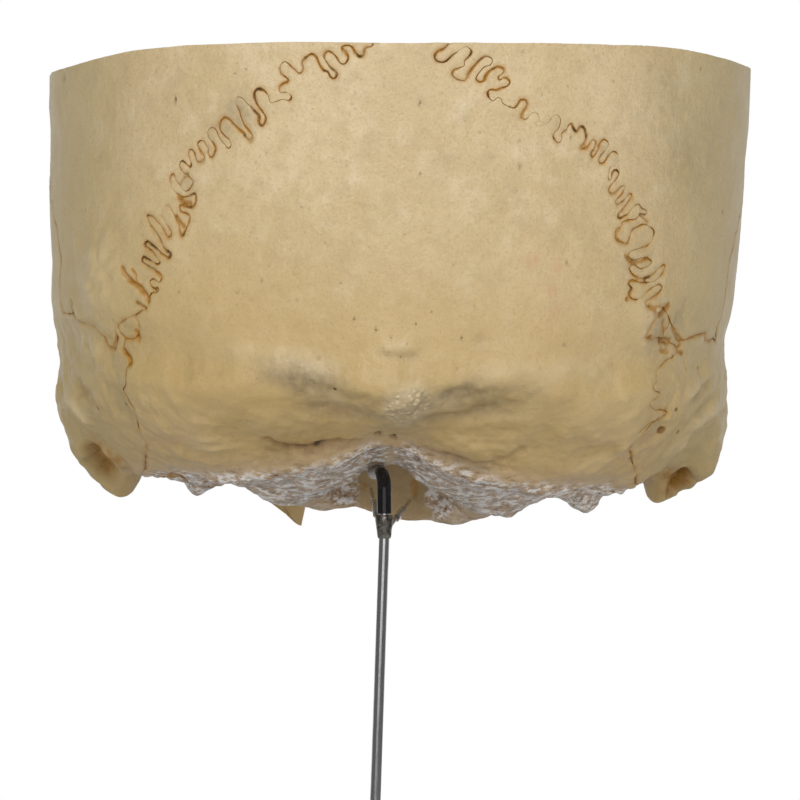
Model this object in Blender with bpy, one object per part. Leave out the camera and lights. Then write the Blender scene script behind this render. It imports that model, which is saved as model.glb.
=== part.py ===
"""Lower half of a human braincase on a wire display stand.

The vault has been sawn off level, so the inside of the skull base lies open. The bones are a
shell that surrounds a centre on the saw cut. Each point of the shell is named by two angles
seen from that centre: an azimuth (0 is the skull's right, 90 the front, -90 the back) and a
dip below the saw cut. Sutures are lines in those two angles, and each bone is the patch of
shell between its sutures. All sizes are in metres, with +Z up and +Y to the front of the skull.
"""
import math

import bpy
import bmesh
import numpy as np
from mathutils import Matrix, Vector
from mathutils.geometry import delaunay_2d_cdt

# Size and pose of the braincase
HALF_BREADTH = 0.071
FRONT_LENGTH = 0.112
BACK_LENGTH = 0.0725
BASE_DEPTH = 0.082
SAW_CUT_HEIGHT = 0.199
CENTRE_ASIDE = 0.0049
ROLL_DEGREES = 1.3
SAW_TILT_DEGREES = 1.8

# Walls and joints between bones
VAULT_WALL = 0.0056
LEAST_WALL = 0.0021
SUTURE_GAP = 0.00036

# Foramen magnum, with its centre as shares of the two length sizes
FORAMEN_LENGTH = 0.0345
FORAMEN_WIDTH = 0.0295
FORAMEN_BACK_SHIFT_SHARE = 0.012
ROD_BEHIND_FORAMEN = 0.0044
FORAMEN_REAR = 0.5 * FORAMEN_LENGTH + FORAMEN_BACK_SHIFT_SHARE * FRONT_LENGTH
CENTRE_FORWARD = FORAMEN_REAR + ROD_BEHIND_FORAMEN

# Ear canal
EAR_CANAL_RADIUS = 0.0042
EAR_CANAL_END_SHARE = 0.7
EAR_CANAL_DEPTH = 0.014
EAR_CANAL_DEGREES = (15.5, 44.5)

# Processes that stand free of the shell
CHEEK_ARCH_HEIGHT = 0.0065
CHEEK_ARCH_THICKNESS = 0.0038
STYLOID_RADIUS = 0.0028
STYLOID_TIP_RADIUS = 0.0014
PTERYGOID_THICKNESS = 0.0020
CREST_THICKNESS = 0.0026

# Spacing of the points of the shell, in degrees
VAULT_SPACING_DEGREES = 6.4
BASE_SPACING_DEGREES = 4.6
FINE_SPACING_DEGREES = 2.7
ORBIT_SPACING_DEGREES = 1.7
VAULT_DIP_DEGREES = 32
SEAM_SPACING_DEGREES = 4.0
MEETING_DEGREES = 0.1
FORAMEN_SIDES = 24
CLEAR_SHARE = 0.42
LEAST_TURN_SHARE = 0.4
WELD_SHARE = 1e-6

# Display stand
ROD_RADIUS = 0.00105
ROD_BEND_RADIUS = 0.0033
ROD_STRAIGHT_TOP = 0.052
ROD_LEAN_ASIDE = 0.0018
HOOK_POST_LENGTH = 0.018
HOOK_STAND_OFF = 0.0066
HOOK_REACH = ROD_BEHIND_FORAMEN + HOOK_STAND_OFF
HOOK_ASIDE = -0.0024
SLEEVE_GAP = 0.0001
SLEEVE_WALL = 0.00028
SLEEVE_END_GAP = 0.0012
JOINT_FOOT_DROP = 0.0128
JOINT_LENGTH = 0.0046
JOINT_TOP_RADIUS = 0.0019
JOINT_FOOT_RADIUS = 0.00135
PRONG_RADIUS = 0.00040
PRONG_SPREAD = 0.0011
PRONG_SLEEVE_WALL = 0.00022
PRONG_SLEEVE_GAP = 0.00008
PRONG_SLEEVE_SHARES = (0.30, 0.65)
PRONG_TIP_DEGREES = {"left": 105, "right": 75}
PRONG_TIP_WALL_SHARES = {"left": 0.42, "right": 0.22}
FIT_GAP = 0.0003
BASE_RADIUS = 0.062
BASE_THICKNESS = 0.012
BASE_EDGE_RADIUS = 0.0025
FELT_THICKNESS = 0.0016
FELT_MARGIN = 0.0015
SOCKET_RADIUS = 0.0065
SOCKET_HEIGHT = 0.024
SOCKET_FLANGE_RADIUS = 0.0105
SOCKET_FLANGE_THICKNESS = 0.0022
SOCKET_SHANK_RADIUS = 0.0040
SOCKET_CHAMFER = 0.0008
ROD_GAP = 0.00015
NUT_ACROSS_CORNERS = 0.0140
NUT_THICKNESS = 0.0040
NUT_SIDES = 36
SHANK_PAST_NUT_SHARE = 0.8
RECESS_RADIUS = 0.0092
RECESS_DEPTH = 0.0056
SCREW_HEIGHT_SHARE = 0.62
SCREW_RADIUS = 0.0015
SCREW_HEAD_RADIUS = 0.0052
SCREW_HEAD_LENGTH = 0.0052
SCREW_NECK_RADIUS = 0.0030
SCREW_NECK_LENGTH = 0.0022
SCREW_STAND_OFF = 0.0025
SCREW_HEAD_CHAMFER = 0.0006
KNURL_COUNT = 20
KNURL_DEPTH = 0.0003
ROUND_SIDES = 48
SOCKET_SIDES = 36
ROD_SIDES = 12
BAR_SIDES = 10
CANAL_SIDES = 14
SCREW_HOLE_SIDES = 24
BEND_STEPS = 5
EDGE_STEPS = 6
SHARP_DEGREES = 40
BONE_SHARP_DEGREES = 50

# Outline of the shell at the saw cut and below it
PLAN_BACK_POWER_SHARE = 2.25
PLAN_FRONT_POWER_SHARE = 2.4
WALL_POWER_SHARE = 6.0
BROW_POWER_SHARE = 9.0
OUTER_FLOOR_DEGREES = (-90, -60, -30, 0, 20, 35, 60, 90)
OUTER_FLOOR_SHARES = (0.96, 1.01, 1.02, 1.00, 0.93, 0.83, 0.84, 0.88)
INNER_FLOOR_SHARES = (0.90, 0.925, 0.925, 0.88, 0.74, 0.70, 0.695, 0.59)
OUTER_CENTRE_SHARES = (0.97, 1.00, 1.03, 1.04, 1.05, 1.06, 1.08, 1.10)
INNER_CENTRE_SHARES = (0.91, 0.93, 0.95, 0.95, 0.96, 0.96, 0.96, 0.96)
OUTER_CENTRE_DIPS = (58, 76)
INNER_CENTRE_DIPS = (46, 78)
ORBIT_ROOF_SHARE = 0.375
FOSSA_FLOOR_SHARE = 0.335
STEP_DEGREES = (40, 48.6, 54, 59, 63, 68, 79, 90)
STEP_DIPS = (12, 17.7, 21.5, 24.7, 25.5, 27.5, 26.5, 25)
STEP_SOFT_DEGREES = 11
ROOF_START_DEGREES = (45, 57)
ORBIT_RIM_DEGREES = 12
LOW_FACE_DEGREES = (45, 54, 60, 66, 72, 79, 90)
LOW_FACE_SHARES = (0.76, 0.76, 0.74, 0.66, 0.585, 0.56, 0.555)

# Relief of the outer face: path in azimuth and dip, width share, push shares (x, y, z) and the one
# side that has it, or 0 for both
OUTER_RELIEF_SHARES = (
    ("mastoid body", ((-4, 47), (8, 48)), 0.145, (0.030, 0.00, -0.12), 0),
    ("mastoid tip", ((3, 52.5),), 0.085, (-0.045, 0.01, -0.115), 0),
    ("mastoid notch", ((-14, 61), (-2, 59.5), (8, 59)), 0.045, (0.0, 0.0, 0.09), 0),
    ("juxtamastoid ridge", ((-16, 64), (-2, 64)), 0.055, (0.0, 0.0, -0.035), 0),
    ("condyle", ((-4, 75), (18, 76.5), (42, 77)), 0.085, (0.0, 0.01, -0.085), 0),
    ("right bulge of nuchal plane", ((-66, 63), (-50, 64)), 0.20, (0.0, 0.0, -0.028), 1),
    ("inion", ((-90, 44.5),), 0.115, (0.0, -0.045, -0.02), 0),
    ("upper nuchal line", ((-90, 43.5), (-72, 42.5), (-55, 42.7), (-44, 42)), 0.055,
     (0.012, -0.026, 0.0), 0),
    ("nuchal hollow", ((-78, 50), (-64, 50), (-52, 50)), 0.085, (-0.006, 0.03, 0.015), 0),
    ("lower nuchal line", ((-88, 58), (-66, 57.5), (-46, 59)), 0.05, (0.0, -0.014, -0.02), 0),
    ("midline of nuchal plane", ((-90, 55), (-90, 66)), 0.12, (0.0, 0.0, 0.04), 0),
    ("crest behind the ear", ((-14, 39), (4, 39.5), (20, 40)), 0.055, (0.008, 0.0, 0.0), 0),
    ("flank", ((-30, 34), (0, 34), (18, 34)), 0.20, (-0.02, 0.0, 0.0), 0),
    ("cheek arch root", ((17, 42), (27, 42), (35, 42)), 0.05, (0.055, 0.0, 0.0), 0),
    ("jaw socket", ((34, 47.5),), 0.10, (0.0, 0.0, 0.075), 0),
    ("jaw eminence", ((40, 45), (46, 49)), 0.055, (0.0, 0.0, -0.035), 0),
    ("temple hollow", ((45, 26), (48, 33)), 0.23, (-0.05, -0.01, 0.0), 0),
    ("brow", ((90, 16), (76, 16.5), (66, 19.5), (61, 22)), 0.10, (0.0, 0.06, -0.045), 0),
    ("glabella", ((90, 13),), 0.16, (0.0, 0.025, 0.0), 0),
    ("orbit roof", ((70, 20), (76, 20)), 0.20, (0.0, 0.0, 0.075), 0),
    ("corner of the brow", ((60, 16.5),), 0.085, (0.02, 0.09, -0.21), 0),
    ("nose root", ((90, 19), (90, 21)), 0.13, (0.0, -0.01, -0.12), 0),
    ("air cell block", ((90, 18), (90, 22)), 0.12, (0.0, 0.0, -0.17), 0),
    ("orbit depth", ((64, 34), (71, 36)), 0.16, (0.0, -0.10, 0.0), 0),
    ("hollow below the temple", ((58, 50),), 0.14, (0.0, -0.06, 0.05), 0),
)

# Ridges of the inner face: path with its distance share, and the slope of its sides
INNER_RIDGE_SHARES = (
    ("petrous ridge", ((66, 56, 0.86), (45, 54, 0.80), (20, 48.5, 0.80), (4, 41, 0.93), (-6, 36, 1.06)),
     1.9),
    ("lesser wing", ((79, 30.5, 0.95), (65, 24.5, 1.02), (54, 18, 1.19)), 2.3),
    ("back of the saddle", ((90, 44.3, 0.80), (80, 45.5, 0.81)), 2.6),
    ("inner occipital crest", ((-90, 44, 1.14), (-90, 60, 1.08), (-90, 72, 1.09)), 0.9),
    ("sinus ridge", ((-90, 41, 1.15), (-62, 40, 1.12), (-38, 40, 1.06), (-24, 40, 1.04)), 0.8),
)
RIDGE_SOFTNESS_SHARE = 0.05
THIN_PLACES = ("orbit roof", "temple hollow", "flank")

# Sutures of the right half, in azimuth and dip; the left half has its own where they differ
SEAM_DEGREES = {
    "coronal": ((47.6, 0), (48.1, 9.3), (48.6, 17.7)),
    "sphenoparietal": ((48.6, 17.7), (45, 22.4)),
    "squamosal": ((45, 22.4), (41, 17), (34, 12.5), (24, 10.5), (12, 11.5), (0, 15.5), (-12, 21),
                  (-19.5, 27), (-20, 33), (-21, 35.5)),
    "sphenosquamosal": ((45, 22.4), (46, 30.2), (48.4, 39.2), (50.2, 46.1), (53, 55), (58, 59.5),
                        (64.5, 60.8)),
    "sphenofrontal": ((48.6, 17.7), (54.1, 21.5), (59, 24.7), (62.8, 26), (68.4, 28.6), (75, 30),
                      (80, 30.5)),
    "ethmoid side": ((80, 30.5), (82.5, 24), (84, 17.8)),
    "torn hole front": ((64.5, 60.8), (71, 59.5), (79, 61.8)),
    "torn hole back": ((79, 61.8), (75.5, 63.6), (70, 64.5)),
    "torn hole side": ((70, 64.5), (65.8, 63.2), (64.5, 60.8)),
    "petro-occipital": ((70, 64.5), (54, 68), (36, 70.5)),
    "jugular lateral": ((36, 70.5), (26, 66.5), (14, 66), (4, 68.5)),
    "jugular medial": ((36, 70.5), (28, 72.3), (14, 71.8), (4, 68.5)),
}
OWN_SEAM_DEGREES = {
    "right": {
        "lambdoid": ((-84, 0), (-78, 2.9), (-73.5, 5.7), (-68, 9), (-61.5, 11.5), (-57.5, 15.5),
                     (-55.5, 19.5), (-53.8, 22.5), (-50.5, 25.5), (-51, 29.5), (-47.5, 32.9)),
        "sutural medial": ((-47.5, 32.9), (-49.3, 34.8), (-45.3, 36.9)),
        "sutural upper": ((-47.5, 32.9), (-43.7, 34.4)),
        "sutural lower": ((-43.7, 34.4), (-45.3, 36.9)),
        "parietomastoid": ((-43.7, 34.4), (-41.2, 36.1), (-33, 36), (-28.5, 36.7), (-21, 35.5)),
        "occipitomastoid": ((-45.3, 36.9), (-41.8, 38), (-46, 41), (-42, 45), (-43, 48.5), (-39, 53),
                            (-30, 58), (-18, 62.5), (-7, 66), (4, 68.5)),
    },
    "left": {
        "lambdoid": ((-85.5, 0), (-75, 5), (-70, 9.3), (-65.5, 10.9), (-62, 15.5), (-56.5, 20.7),
                     (-52, 27.4), (-50.8, 30.2), (-48, 33.5), (-47.2, 35.2)),
        "sutural medial": ((-47.2, 35.2), (-49.1, 36.4), (-45.6, 38.2)),
        "sutural upper": ((-47.2, 35.2), (-43.6, 36)),
        "sutural lower": ((-43.6, 36), (-45.6, 38.2)),
        "parietomastoid": ((-43.6, 36), (-40, 37.3), (-35, 36.4), (-30, 36.1), (-21, 35.5)),
        "occipitomastoid": ((-45.6, 38.2), (-45, 41), (-44.5, 44.5), (-43, 48.6), (-37, 53.5),
                            (-30, 58), (-18, 62.5), (-7, 66), (4, 68.5)),
    },
}

# Direction on the disc that decides which way the quads of a sutural wall are split
WALL_SPLIT_SHARES = (0.83, 0.56)

# Places where the shell needs closer points: azimuth, dip and reach in degrees
FINE_PLACES = (
    (4, 52, 11), (18, 76, 7), (34, 47, 7), (16, 44, 5), (78, 44, 6), (50, 54, 5), (-90, 44, 5),
    (30, 52, 6),
)

# Free processes: corners seen from the centre, as shares of half breadth, front length and depth
OUTER_PTERYGOID_SHARES = ((0.21, 0.475, -0.79), (0.28, 0.418, -0.79), (0.4, 0.38, -1.056),
                          (0.262, 0.475, -1.156))
INNER_PTERYGOID_SHARES = ((0.216, 0.466, -0.78), (0.17, 0.412, -0.785), (0.17, 0.437, -1.039),
                          (0.243, 0.467, -1.09))
SHORT_PLATE_SHARE = 0.62
CREST_SHARES = ((0, 0.558, -0.398), (0, 0.729, -0.398), (0, 0.71, -0.251), (0, 0.64, -0.203))
CHEEK_ARCH_SHARES = ((0.8, 0.19, -0.732), (0.905, 0.298, -0.732), (0.935, 0.393, -0.745),
                     (0.9, 0.482, -0.758))
STYLOID_SHARES = ((0.535, 0.125, -0.866), (0.507, 0.17, -1.017))
EAR_CANAL_LEAN_SHARES = (-1.0, 0.12, -0.05)
MIDLINE_SOFTNESS_SHARE = 0.10


def smooth_step(low, high, value):
    """Rise from 0 at low to 1 at high, level at both ends."""
    share = np.clip((value - low) / (high - low), 0.0, 1.0)
    return share * share * (3.0 - 2.0 * share)


def smooth_least(first, second, softness):
    """The lesser of two values, rounded where they cross."""
    share = np.clip(0.5 + 0.5 * (second - first) / softness, 0.0, 1.0)
    return second * (1.0 - share) + first * share - softness * share * (1.0 - share)


def curve_value(value, places, heights):
    """A smooth curve through a table of heights."""
    places = np.asarray(places, float)
    heights = np.asarray(heights, float)
    slopes = np.gradient(heights, places)
    slopes[0] = 0.0
    slopes[-1] = 0.0
    value = np.clip(value, places[0], places[-1])
    left = np.clip(np.searchsorted(places, value) - 1, 0, len(places) - 2)
    run = places[left + 1] - places[left]
    t = (value - places[left]) / run
    rise = (2 * t ** 3 - 3 * t ** 2 + 1) * heights[left] + (3 * t ** 2 - 2 * t ** 3) * heights[left + 1]
    lean = (t ** 3 - 2 * t ** 2 + t) * slopes[left] + (t ** 3 - t ** 2) * slopes[left + 1]
    return rise + lean * run


def ray_directions(az, dip):
    """Unit vectors from the centre of the saw cut."""
    return np.stack((np.cos(dip) * np.cos(az), np.cos(dip) * np.sin(az), -np.sin(dip)), axis=-1)


def bowl_distance(az, dip, wall, floor_shares, centre_shares, centre_dips, roof_share):
    """How far the plain bowl lies from the centre along each ray."""
    along = np.degrees(np.arctan2(np.sin(az), np.abs(np.cos(az))))
    front = np.sin(az) > 0.0
    ahead = np.where(front, FRONT_LENGTH, BACK_LENGTH) - wall
    plan_power = np.where(front, PLAN_FRONT_POWER_SHARE, PLAN_BACK_POWER_SHARE)
    side_part = (np.abs(np.cos(az)) / (HALF_BREADTH - wall)) ** plan_power
    reach = (side_part + (np.abs(np.sin(az)) / ahead) ** plan_power) ** (-1.0 / plan_power)
    floor = curve_value(along, OUTER_FLOOR_DEGREES, floor_shares)
    centre = curve_value(along, OUTER_FLOOR_DEGREES, centre_shares)
    floor = floor + (centre - floor) * smooth_step(*centre_dips, np.degrees(dip))
    step_dip = curve_value(along, STEP_DEGREES, STEP_DIPS)
    at_front = smooth_step(*ROOF_START_DEGREES, along)
    below_step = smooth_step(step_dip, step_dip + STEP_SOFT_DEGREES, np.degrees(dip))
    over_orbit = at_front * (1.0 - below_step)
    low_face = curve_value(along, LOW_FACE_DEGREES, LOW_FACE_SHARES) * FRONT_LENGTH - wall
    reach = reach + (low_face - reach) * at_front * smooth_step(step_dip - STEP_SOFT_DEGREES, step_dip,
                                                                np.degrees(dip))
    floor = floor + (roof_share - floor) * over_orbit
    power = WALL_POWER_SHARE + (BROW_POWER_SHARE - WALL_POWER_SHARE) * at_front
    level = (np.cos(dip) / reach) ** power
    return (level + (np.abs(np.sin(dip)) / (floor * BASE_DEPTH)) ** power) ** (-1.0 / power)


def outer_bowl(az, dip):
    """Points of the plain outer bowl, before its relief."""
    far = bowl_distance(az, dip, 0.0, OUTER_FLOOR_SHARES, OUTER_CENTRE_SHARES, OUTER_CENTRE_DIPS,
                        ORBIT_ROOF_SHARE)
    return ray_directions(az, dip) * far[..., None]


def along_path(path, steps=6):
    """Points between the corners of a path given in degrees, with any further values."""
    path = np.asarray(path, float)
    if len(path) == 1:
        return path
    places = np.linspace(0, len(path) - 1, steps * (len(path) - 1) + 1)
    columns = [np.interp(places, np.arange(len(path)), path[:, i]) for i in range(path.shape[1])]
    return np.stack(columns, axis=-1)


def nearest_on_path(points, path_points):
    """Distance from each point to a line of points, and the place of the nearest one."""
    if len(path_points) == 1:
        return np.linalg.norm(points - path_points[0], axis=-1), np.zeros(len(points))
    best = np.full(len(points), np.inf)
    place = np.zeros(len(points))
    for i in range(len(path_points) - 1):
        start = path_points[i]
        run = path_points[i + 1] - start
        t = np.clip((points - start) @ run / (run @ run), 0.0, 1.0)
        gap = np.linalg.norm(points - start - t[:, None] * run, axis=-1)
        nearer = gap < best
        best[nearer] = gap[nearer]
        place[nearer] = i + t[nearer]
    return best, place


def shell_points(az, dip):
    """Outer and inner points of the shell along each ray, seen from the centre."""
    outer = outer_bowl(az, dip)
    folded = outer.copy()
    folded[:, 0] = np.abs(folded[:, 0])
    side = np.tanh(outer[:, 0] / (MIDLINE_SOFTNESS_SHARE * HALF_BREADTH))
    push = np.zeros_like(outer)
    inner_push = np.zeros_like(outer)
    for name, path, width_share, push_shares, side_only in OUTER_RELIEF_SHARES:
        trail = np.radians(along_path(path))
        gap, place = nearest_on_path(folded, outer_bowl(trail[:, 0], trail[:, 1]))
        strength = np.exp(-(gap / (width_share * HALF_BREADTH)) ** 2)
        if side_only:
            strength = strength * smooth_step(-MIDLINE_SOFTNESS_SHARE, MIDLINE_SOFTNESS_SHARE,
                                              side_only * outer[:, 0] / HALF_BREADTH)
        move = strength[:, None] * np.array(push_shares) * HALF_BREADTH
        push += move
        if name in THIN_PLACES:
            inner_push += move
    push[:, 0] *= side
    inner_push[:, 0] *= side
    outer = outer + push

    inner_far = bowl_distance(az, dip, VAULT_WALL, INNER_FLOOR_SHARES, INNER_CENTRE_SHARES,
                              INNER_CENTRE_DIPS, FOSSA_FLOOR_SHARE)
    rays = ray_directions(az, dip)
    folded_rays = rays.copy()
    folded_rays[:, 0] = np.abs(folded_rays[:, 0])
    for name, path, slope in INNER_RIDGE_SHARES:
        trail = along_path(path)
        trail_rays = ray_directions(np.radians(trail[:, 0]), np.radians(trail[:, 1]))
        gap, place = nearest_on_path(folded_rays, trail_rays)
        crest = np.interp(place, np.arange(len(trail)), trail[:, 2]) * HALF_BREADTH
        inner_far = smooth_least(inner_far, crest * (1.0 + slope * gap), RIDGE_SOFTNESS_SHARE * HALF_BREADTH)
    outer_far = np.linalg.norm(outer - inner_push, axis=-1)
    inner_far = np.minimum(inner_far, outer_far - LEAST_WALL)
    return outer, rays * inner_far[:, None] + inner_push


def lean(points):
    """Points seen from the centre of the cut, leaned as the skull stands."""
    roll = math.radians(ROLL_DEGREES)
    points = np.asarray(points, float)
    x = points[..., 0] * math.cos(roll) + points[..., 2] * math.sin(roll)
    z = points[..., 2] * math.cos(roll) - points[..., 0] * math.sin(roll)
    return np.stack((x, points[..., 1], z), axis=-1)


def skull_centre():
    """Where the centre of the saw cut lies."""
    return np.array((CENTRE_ASIDE, CENTRE_FORWARD, SAW_CUT_HEIGHT))


def settle(points):
    """Carry points from the centre of the saw cut to the skull's place on its stand."""
    return lean(points) + skull_centre()


# Building blocks

def chart_point(az_degrees, dip_degrees):
    """Place on a flat disc whose middle is straight down and whose rim is level with the cut."""
    angle = math.radians(az_degrees)
    return np.array(((90.0 - dip_degrees) * math.cos(angle), (90.0 - dip_degrees) * math.sin(angle)))


def cut_dip(az):
    """Dip at which the tilted saw cut is met."""
    return np.arctan(-math.tan(math.radians(SAW_TILT_DEGREES)) * np.cos(az))


def chart_angles(points):
    """Azimuth and dip in radians of points on the disc."""
    points = np.asarray(points, float)
    az = np.arctan2(points[:, 1], points[:, 0])
    return az, np.radians(90.0 - np.hypot(points[:, 0], points[:, 1]))


def seam(name, side):
    """A suture as points on the disc, spaced evenly, with a mark on those at the saw cut."""
    degrees = SEAM_DEGREES.get(name) or OWN_SEAM_DEGREES[side][name]
    corners = []
    for az, dip in degrees:
        az = az if side == "right" else 180.0 - az
        at_cut = dip == 0
        if at_cut:
            dip = math.degrees(cut_dip(math.radians(az)))
        corners.append(np.array((*chart_point(az, dip), float(at_cut))))
    points = [corners[0]]
    for start, end in zip(corners[:-1], corners[1:]):
        steps = max(1, round(math.dist(start[:2], end[:2]) / SEAM_SPACING_DEGREES))
        for i in range(1, steps):
            between = start + (end - start) * i / steps
            between[2] = 0.0
            points.append(between)
        points.append(end)
    return np.array(points)


def cut_line(start_az, end_az):
    """The part of the saw cut between two azimuths."""
    steps = max(2, round(abs(end_az - start_az) / SEAM_SPACING_DEGREES))
    points = []
    for az in np.linspace(start_az, end_az, steps + 1):
        points.append((*chart_point(az, math.degrees(cut_dip(math.radians(az)))), 1.0))
    return np.array(points)


def chain(lines):
    """Join lines end to end into one anticlockwise loop."""
    first = lines[0]
    ends = (lines[1][0], lines[1][-1])
    if min(math.dist(first[0][:2], end[:2]) for end in ends) < MEETING_DEGREES:
        first = first[::-1]
    loop = list(first)
    for line in lines[1:]:
        if math.dist(line[-1][:2], loop[-1][:2]) < math.dist(line[0][:2], loop[-1][:2]):
            line = line[::-1]
        loop.extend(line[1:])
    loop = np.array(loop[:-1])
    x, y = loop[:, 0], loop[:, 1]
    area = np.sum(x * np.roll(y, -1) - y * np.roll(x, -1))
    return loop if area > 0.0 else loop[::-1]


def drawn_in(loop, distance):
    """Move a loop's points to its left, and keep those at the saw cut on the cut."""
    points = loop[:, :2]
    ahead = np.roll(points, -1, axis=0) - points
    ahead /= np.linalg.norm(ahead, axis=1)[:, None]
    behind = np.roll(ahead, 1, axis=0)
    left = np.stack((-ahead[:, 1] - behind[:, 1], ahead[:, 0] + behind[:, 0]), axis=1)
    turn = 1.0 + np.sum(ahead * behind, axis=1)
    moved = points + distance * left / np.maximum(turn, LEAST_TURN_SHARE)[:, None]
    at_cut = loop[:, 2] > 0.5
    az = np.arctan2(moved[at_cut, 1], moved[at_cut, 0])
    reach = 90.0 - np.degrees(cut_dip(az))
    moved[at_cut] = np.stack((reach * np.cos(az), reach * np.sin(az)), axis=1)
    return moved


def inside(points, loop):
    """Which points lie inside a closed loop."""
    hit = np.zeros(len(points), bool)
    for (x1, y1), (x2, y2) in zip(loop, np.roll(loop, -1, axis=0)):
        if y1 == y2:
            continue
        across = (y1 > points[:, 1]) != (y2 > points[:, 1])
        meets = (x2 - x1) * (points[:, 1] - y1) / (y2 - y1) + x1
        hit ^= across & (points[:, 0] < meets)
    return hit


def clear_of(points, loop, distance):
    """Which points keep a distance from a closed loop."""
    clear = np.ones(len(points), bool)
    for start, end in zip(loop, np.roll(loop, -1, axis=0)):
        run = end - start
        t = np.clip((points - start) @ run / (run @ run), 0.0, 1.0)
        clear &= np.linalg.norm(points - start - t[:, None] * run, axis=1) > distance
    return clear


def honeycomb(spacing):
    """Points of a triangular grid that covers the disc."""
    rows = np.arange(-90.0, 90.0 + spacing, spacing * math.sqrt(0.75))
    points = []
    for i, v in enumerate(rows):
        u = np.arange(-90.0, 90.0 + spacing, spacing) + (0.5 * spacing if i % 2 else 0.0)
        points.append(np.stack((u, np.full(len(u), v)), axis=1))
    return np.concatenate(points)


def wanted_spacing(points):
    """Which of the four grids each point of the disc belongs to, from the widest to the closest."""
    az, dip = chart_angles(points)
    dip = np.degrees(dip)
    along = np.degrees(np.arctan2(np.sin(az), np.abs(np.cos(az))))
    wanted = np.where(dip < VAULT_DIP_DEGREES, VAULT_SPACING_DEGREES, BASE_SPACING_DEGREES)
    for place_az, place_dip, reach in FINE_PLACES:
        for mirrored in (place_az, 180 - place_az):
            near = np.linalg.norm(points - chart_point(mirrored, place_dip), axis=1) < reach
            wanted[near] = FINE_SPACING_DEGREES
    step_dip = curve_value(along, STEP_DEGREES, STEP_DIPS)
    over_orbit = (dip > ORBIT_RIM_DEGREES) & (dip < step_dip + STEP_SOFT_DEGREES)
    wanted[over_orbit & (along > ROOF_START_DEGREES[0])] = ORBIT_SPACING_DEGREES
    return wanted


def grid_points():
    """Points over the whole disc at the spacing wanted at each place."""
    kept = []
    for spacing in (VAULT_SPACING_DEGREES, BASE_SPACING_DEGREES, FINE_SPACING_DEGREES,
                    ORBIT_SPACING_DEGREES):
        points = honeycomb(spacing)
        kept.append(points[wanted_spacing(points) == spacing])
    return np.concatenate(kept)


def foramen_point(angle):
    """A place on the edge of the foramen magnum, as a point of the disc."""
    x = 0.5 * FORAMEN_WIDTH * math.cos(angle)
    y = 0.5 * FORAMEN_LENGTH * math.sin(angle) - FORAMEN_BACK_SHIFT_SHARE * FRONT_LENGTH
    reach = math.degrees(math.atan2(math.hypot(x, y), BASE_DEPTH))
    return reach * x / math.hypot(x, y), reach * y / math.hypot(x, y)


def foramen_loop():
    """The foramen magnum as a clockwise ellipse on the disc."""
    return np.array([foramen_point(-math.tau * i / FORAMEN_SIDES) for i in range(FORAMEN_SIDES)])


def shell_patch(loop, holes):
    """Vertices and faces of the piece of shell inside a loop, with its holes left open."""
    loops = [drawn_in(loop, math.degrees(0.5 * SUTURE_GAP / BASE_DEPTH))] + holes
    grid = grid_points()
    grid = grid[inside(grid, loops[0])]
    for hole in holes:
        grid = grid[~inside(grid, hole)]
    for line in loops:
        grid = grid[clear_of(grid, line, CLEAR_SHARE * FINE_SPACING_DEGREES)]
    flat = np.concatenate(loops + [grid])
    sides = []
    first = 0
    for line in loops:
        sides += [(first + i, first + (i + 1) % len(line)) for i in range(len(line))]
        first += len(line)
    corners = [Vector(point) for point in flat]
    found = delaunay_2d_cdt(corners, sides, [list(range(len(loops[0])))], 1, WELD_SHARE)
    flat_faces = found[2]
    middles = np.array([flat[list(face)].mean(axis=0) for face in flat_faces])
    for hole in holes:
        keep = ~inside(middles, hole)
        flat_faces = [face for face, kept in zip(flat_faces, keep) if kept]
        middles = middles[keep]
    count = len(flat)
    outer, inner = shell_points(*chart_angles(flat))
    vertices = np.concatenate((outer, inner))
    faces = []
    for a, b, c in flat_faces:
        faces.append((c, b, a))
        faces.append((a + count, b + count, c + count))
    for a, b in sides:
        if flat[a] @ WALL_SPLIT_SHARES < flat[b] @ WALL_SPLIT_SHARES:
            faces += [(a, b, b + count), (a, b + count, a + count)]
        else:
            faces += [(a, b, a + count), (b, b + count, a + count)]
    return vertices, faces


def new_object(name, vertices, faces, finish, parent=None, location=(0.0, 0.0, 0.0)):
    """One named mesh object with its material."""
    mesh = bpy.data.meshes.new(name)
    mesh.from_pydata([tuple(v) for v in vertices], [], [tuple(f) for f in faces])
    mesh.validate()
    mesh.materials.append(finish)
    item = bpy.data.objects.new(name, mesh)
    bpy.context.scene.collection.objects.link(item)
    item.location = location
    item.parent = parent
    return item


def material(name, colour, roughness, metallic=0.0):
    """A plain surface of one colour."""
    made = bpy.data.materials.new(name)
    made.use_nodes = True
    shader = made.node_tree.nodes["Principled BSDF"]
    shader.inputs["Base Color"].default_value = (*colour, 1.0)
    shader.inputs["Roughness"].default_value = roughness
    shader.inputs["Metallic"].default_value = metallic
    made.diffuse_color = (*colour, 1.0)
    return made


def smooth(item, sharp_degrees=SHARP_DEGREES):
    """Shade a round piece smooth, with its true edges kept sharp."""
    item.data.shade_smooth()
    item.data.set_sharp_from_angle(angle=math.radians(sharp_degrees))
    return item


def ring_loft(rings, closed_ends=True):
    """Faces that join equal rings of points one after another."""
    count = len(rings[0])
    vertices = np.concatenate(rings)
    faces = []
    for k in range(len(rings) - 1):
        for i in range(count):
            j = (i + 1) % count
            faces.append((k * count + i, k * count + j, (k + 1) * count + j, (k + 1) * count + i))
    if closed_ends:
        faces.append(tuple(reversed(range(count))))
        faces.append(tuple((len(rings) - 1) * count + i for i in range(count)))
    return vertices, faces


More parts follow.
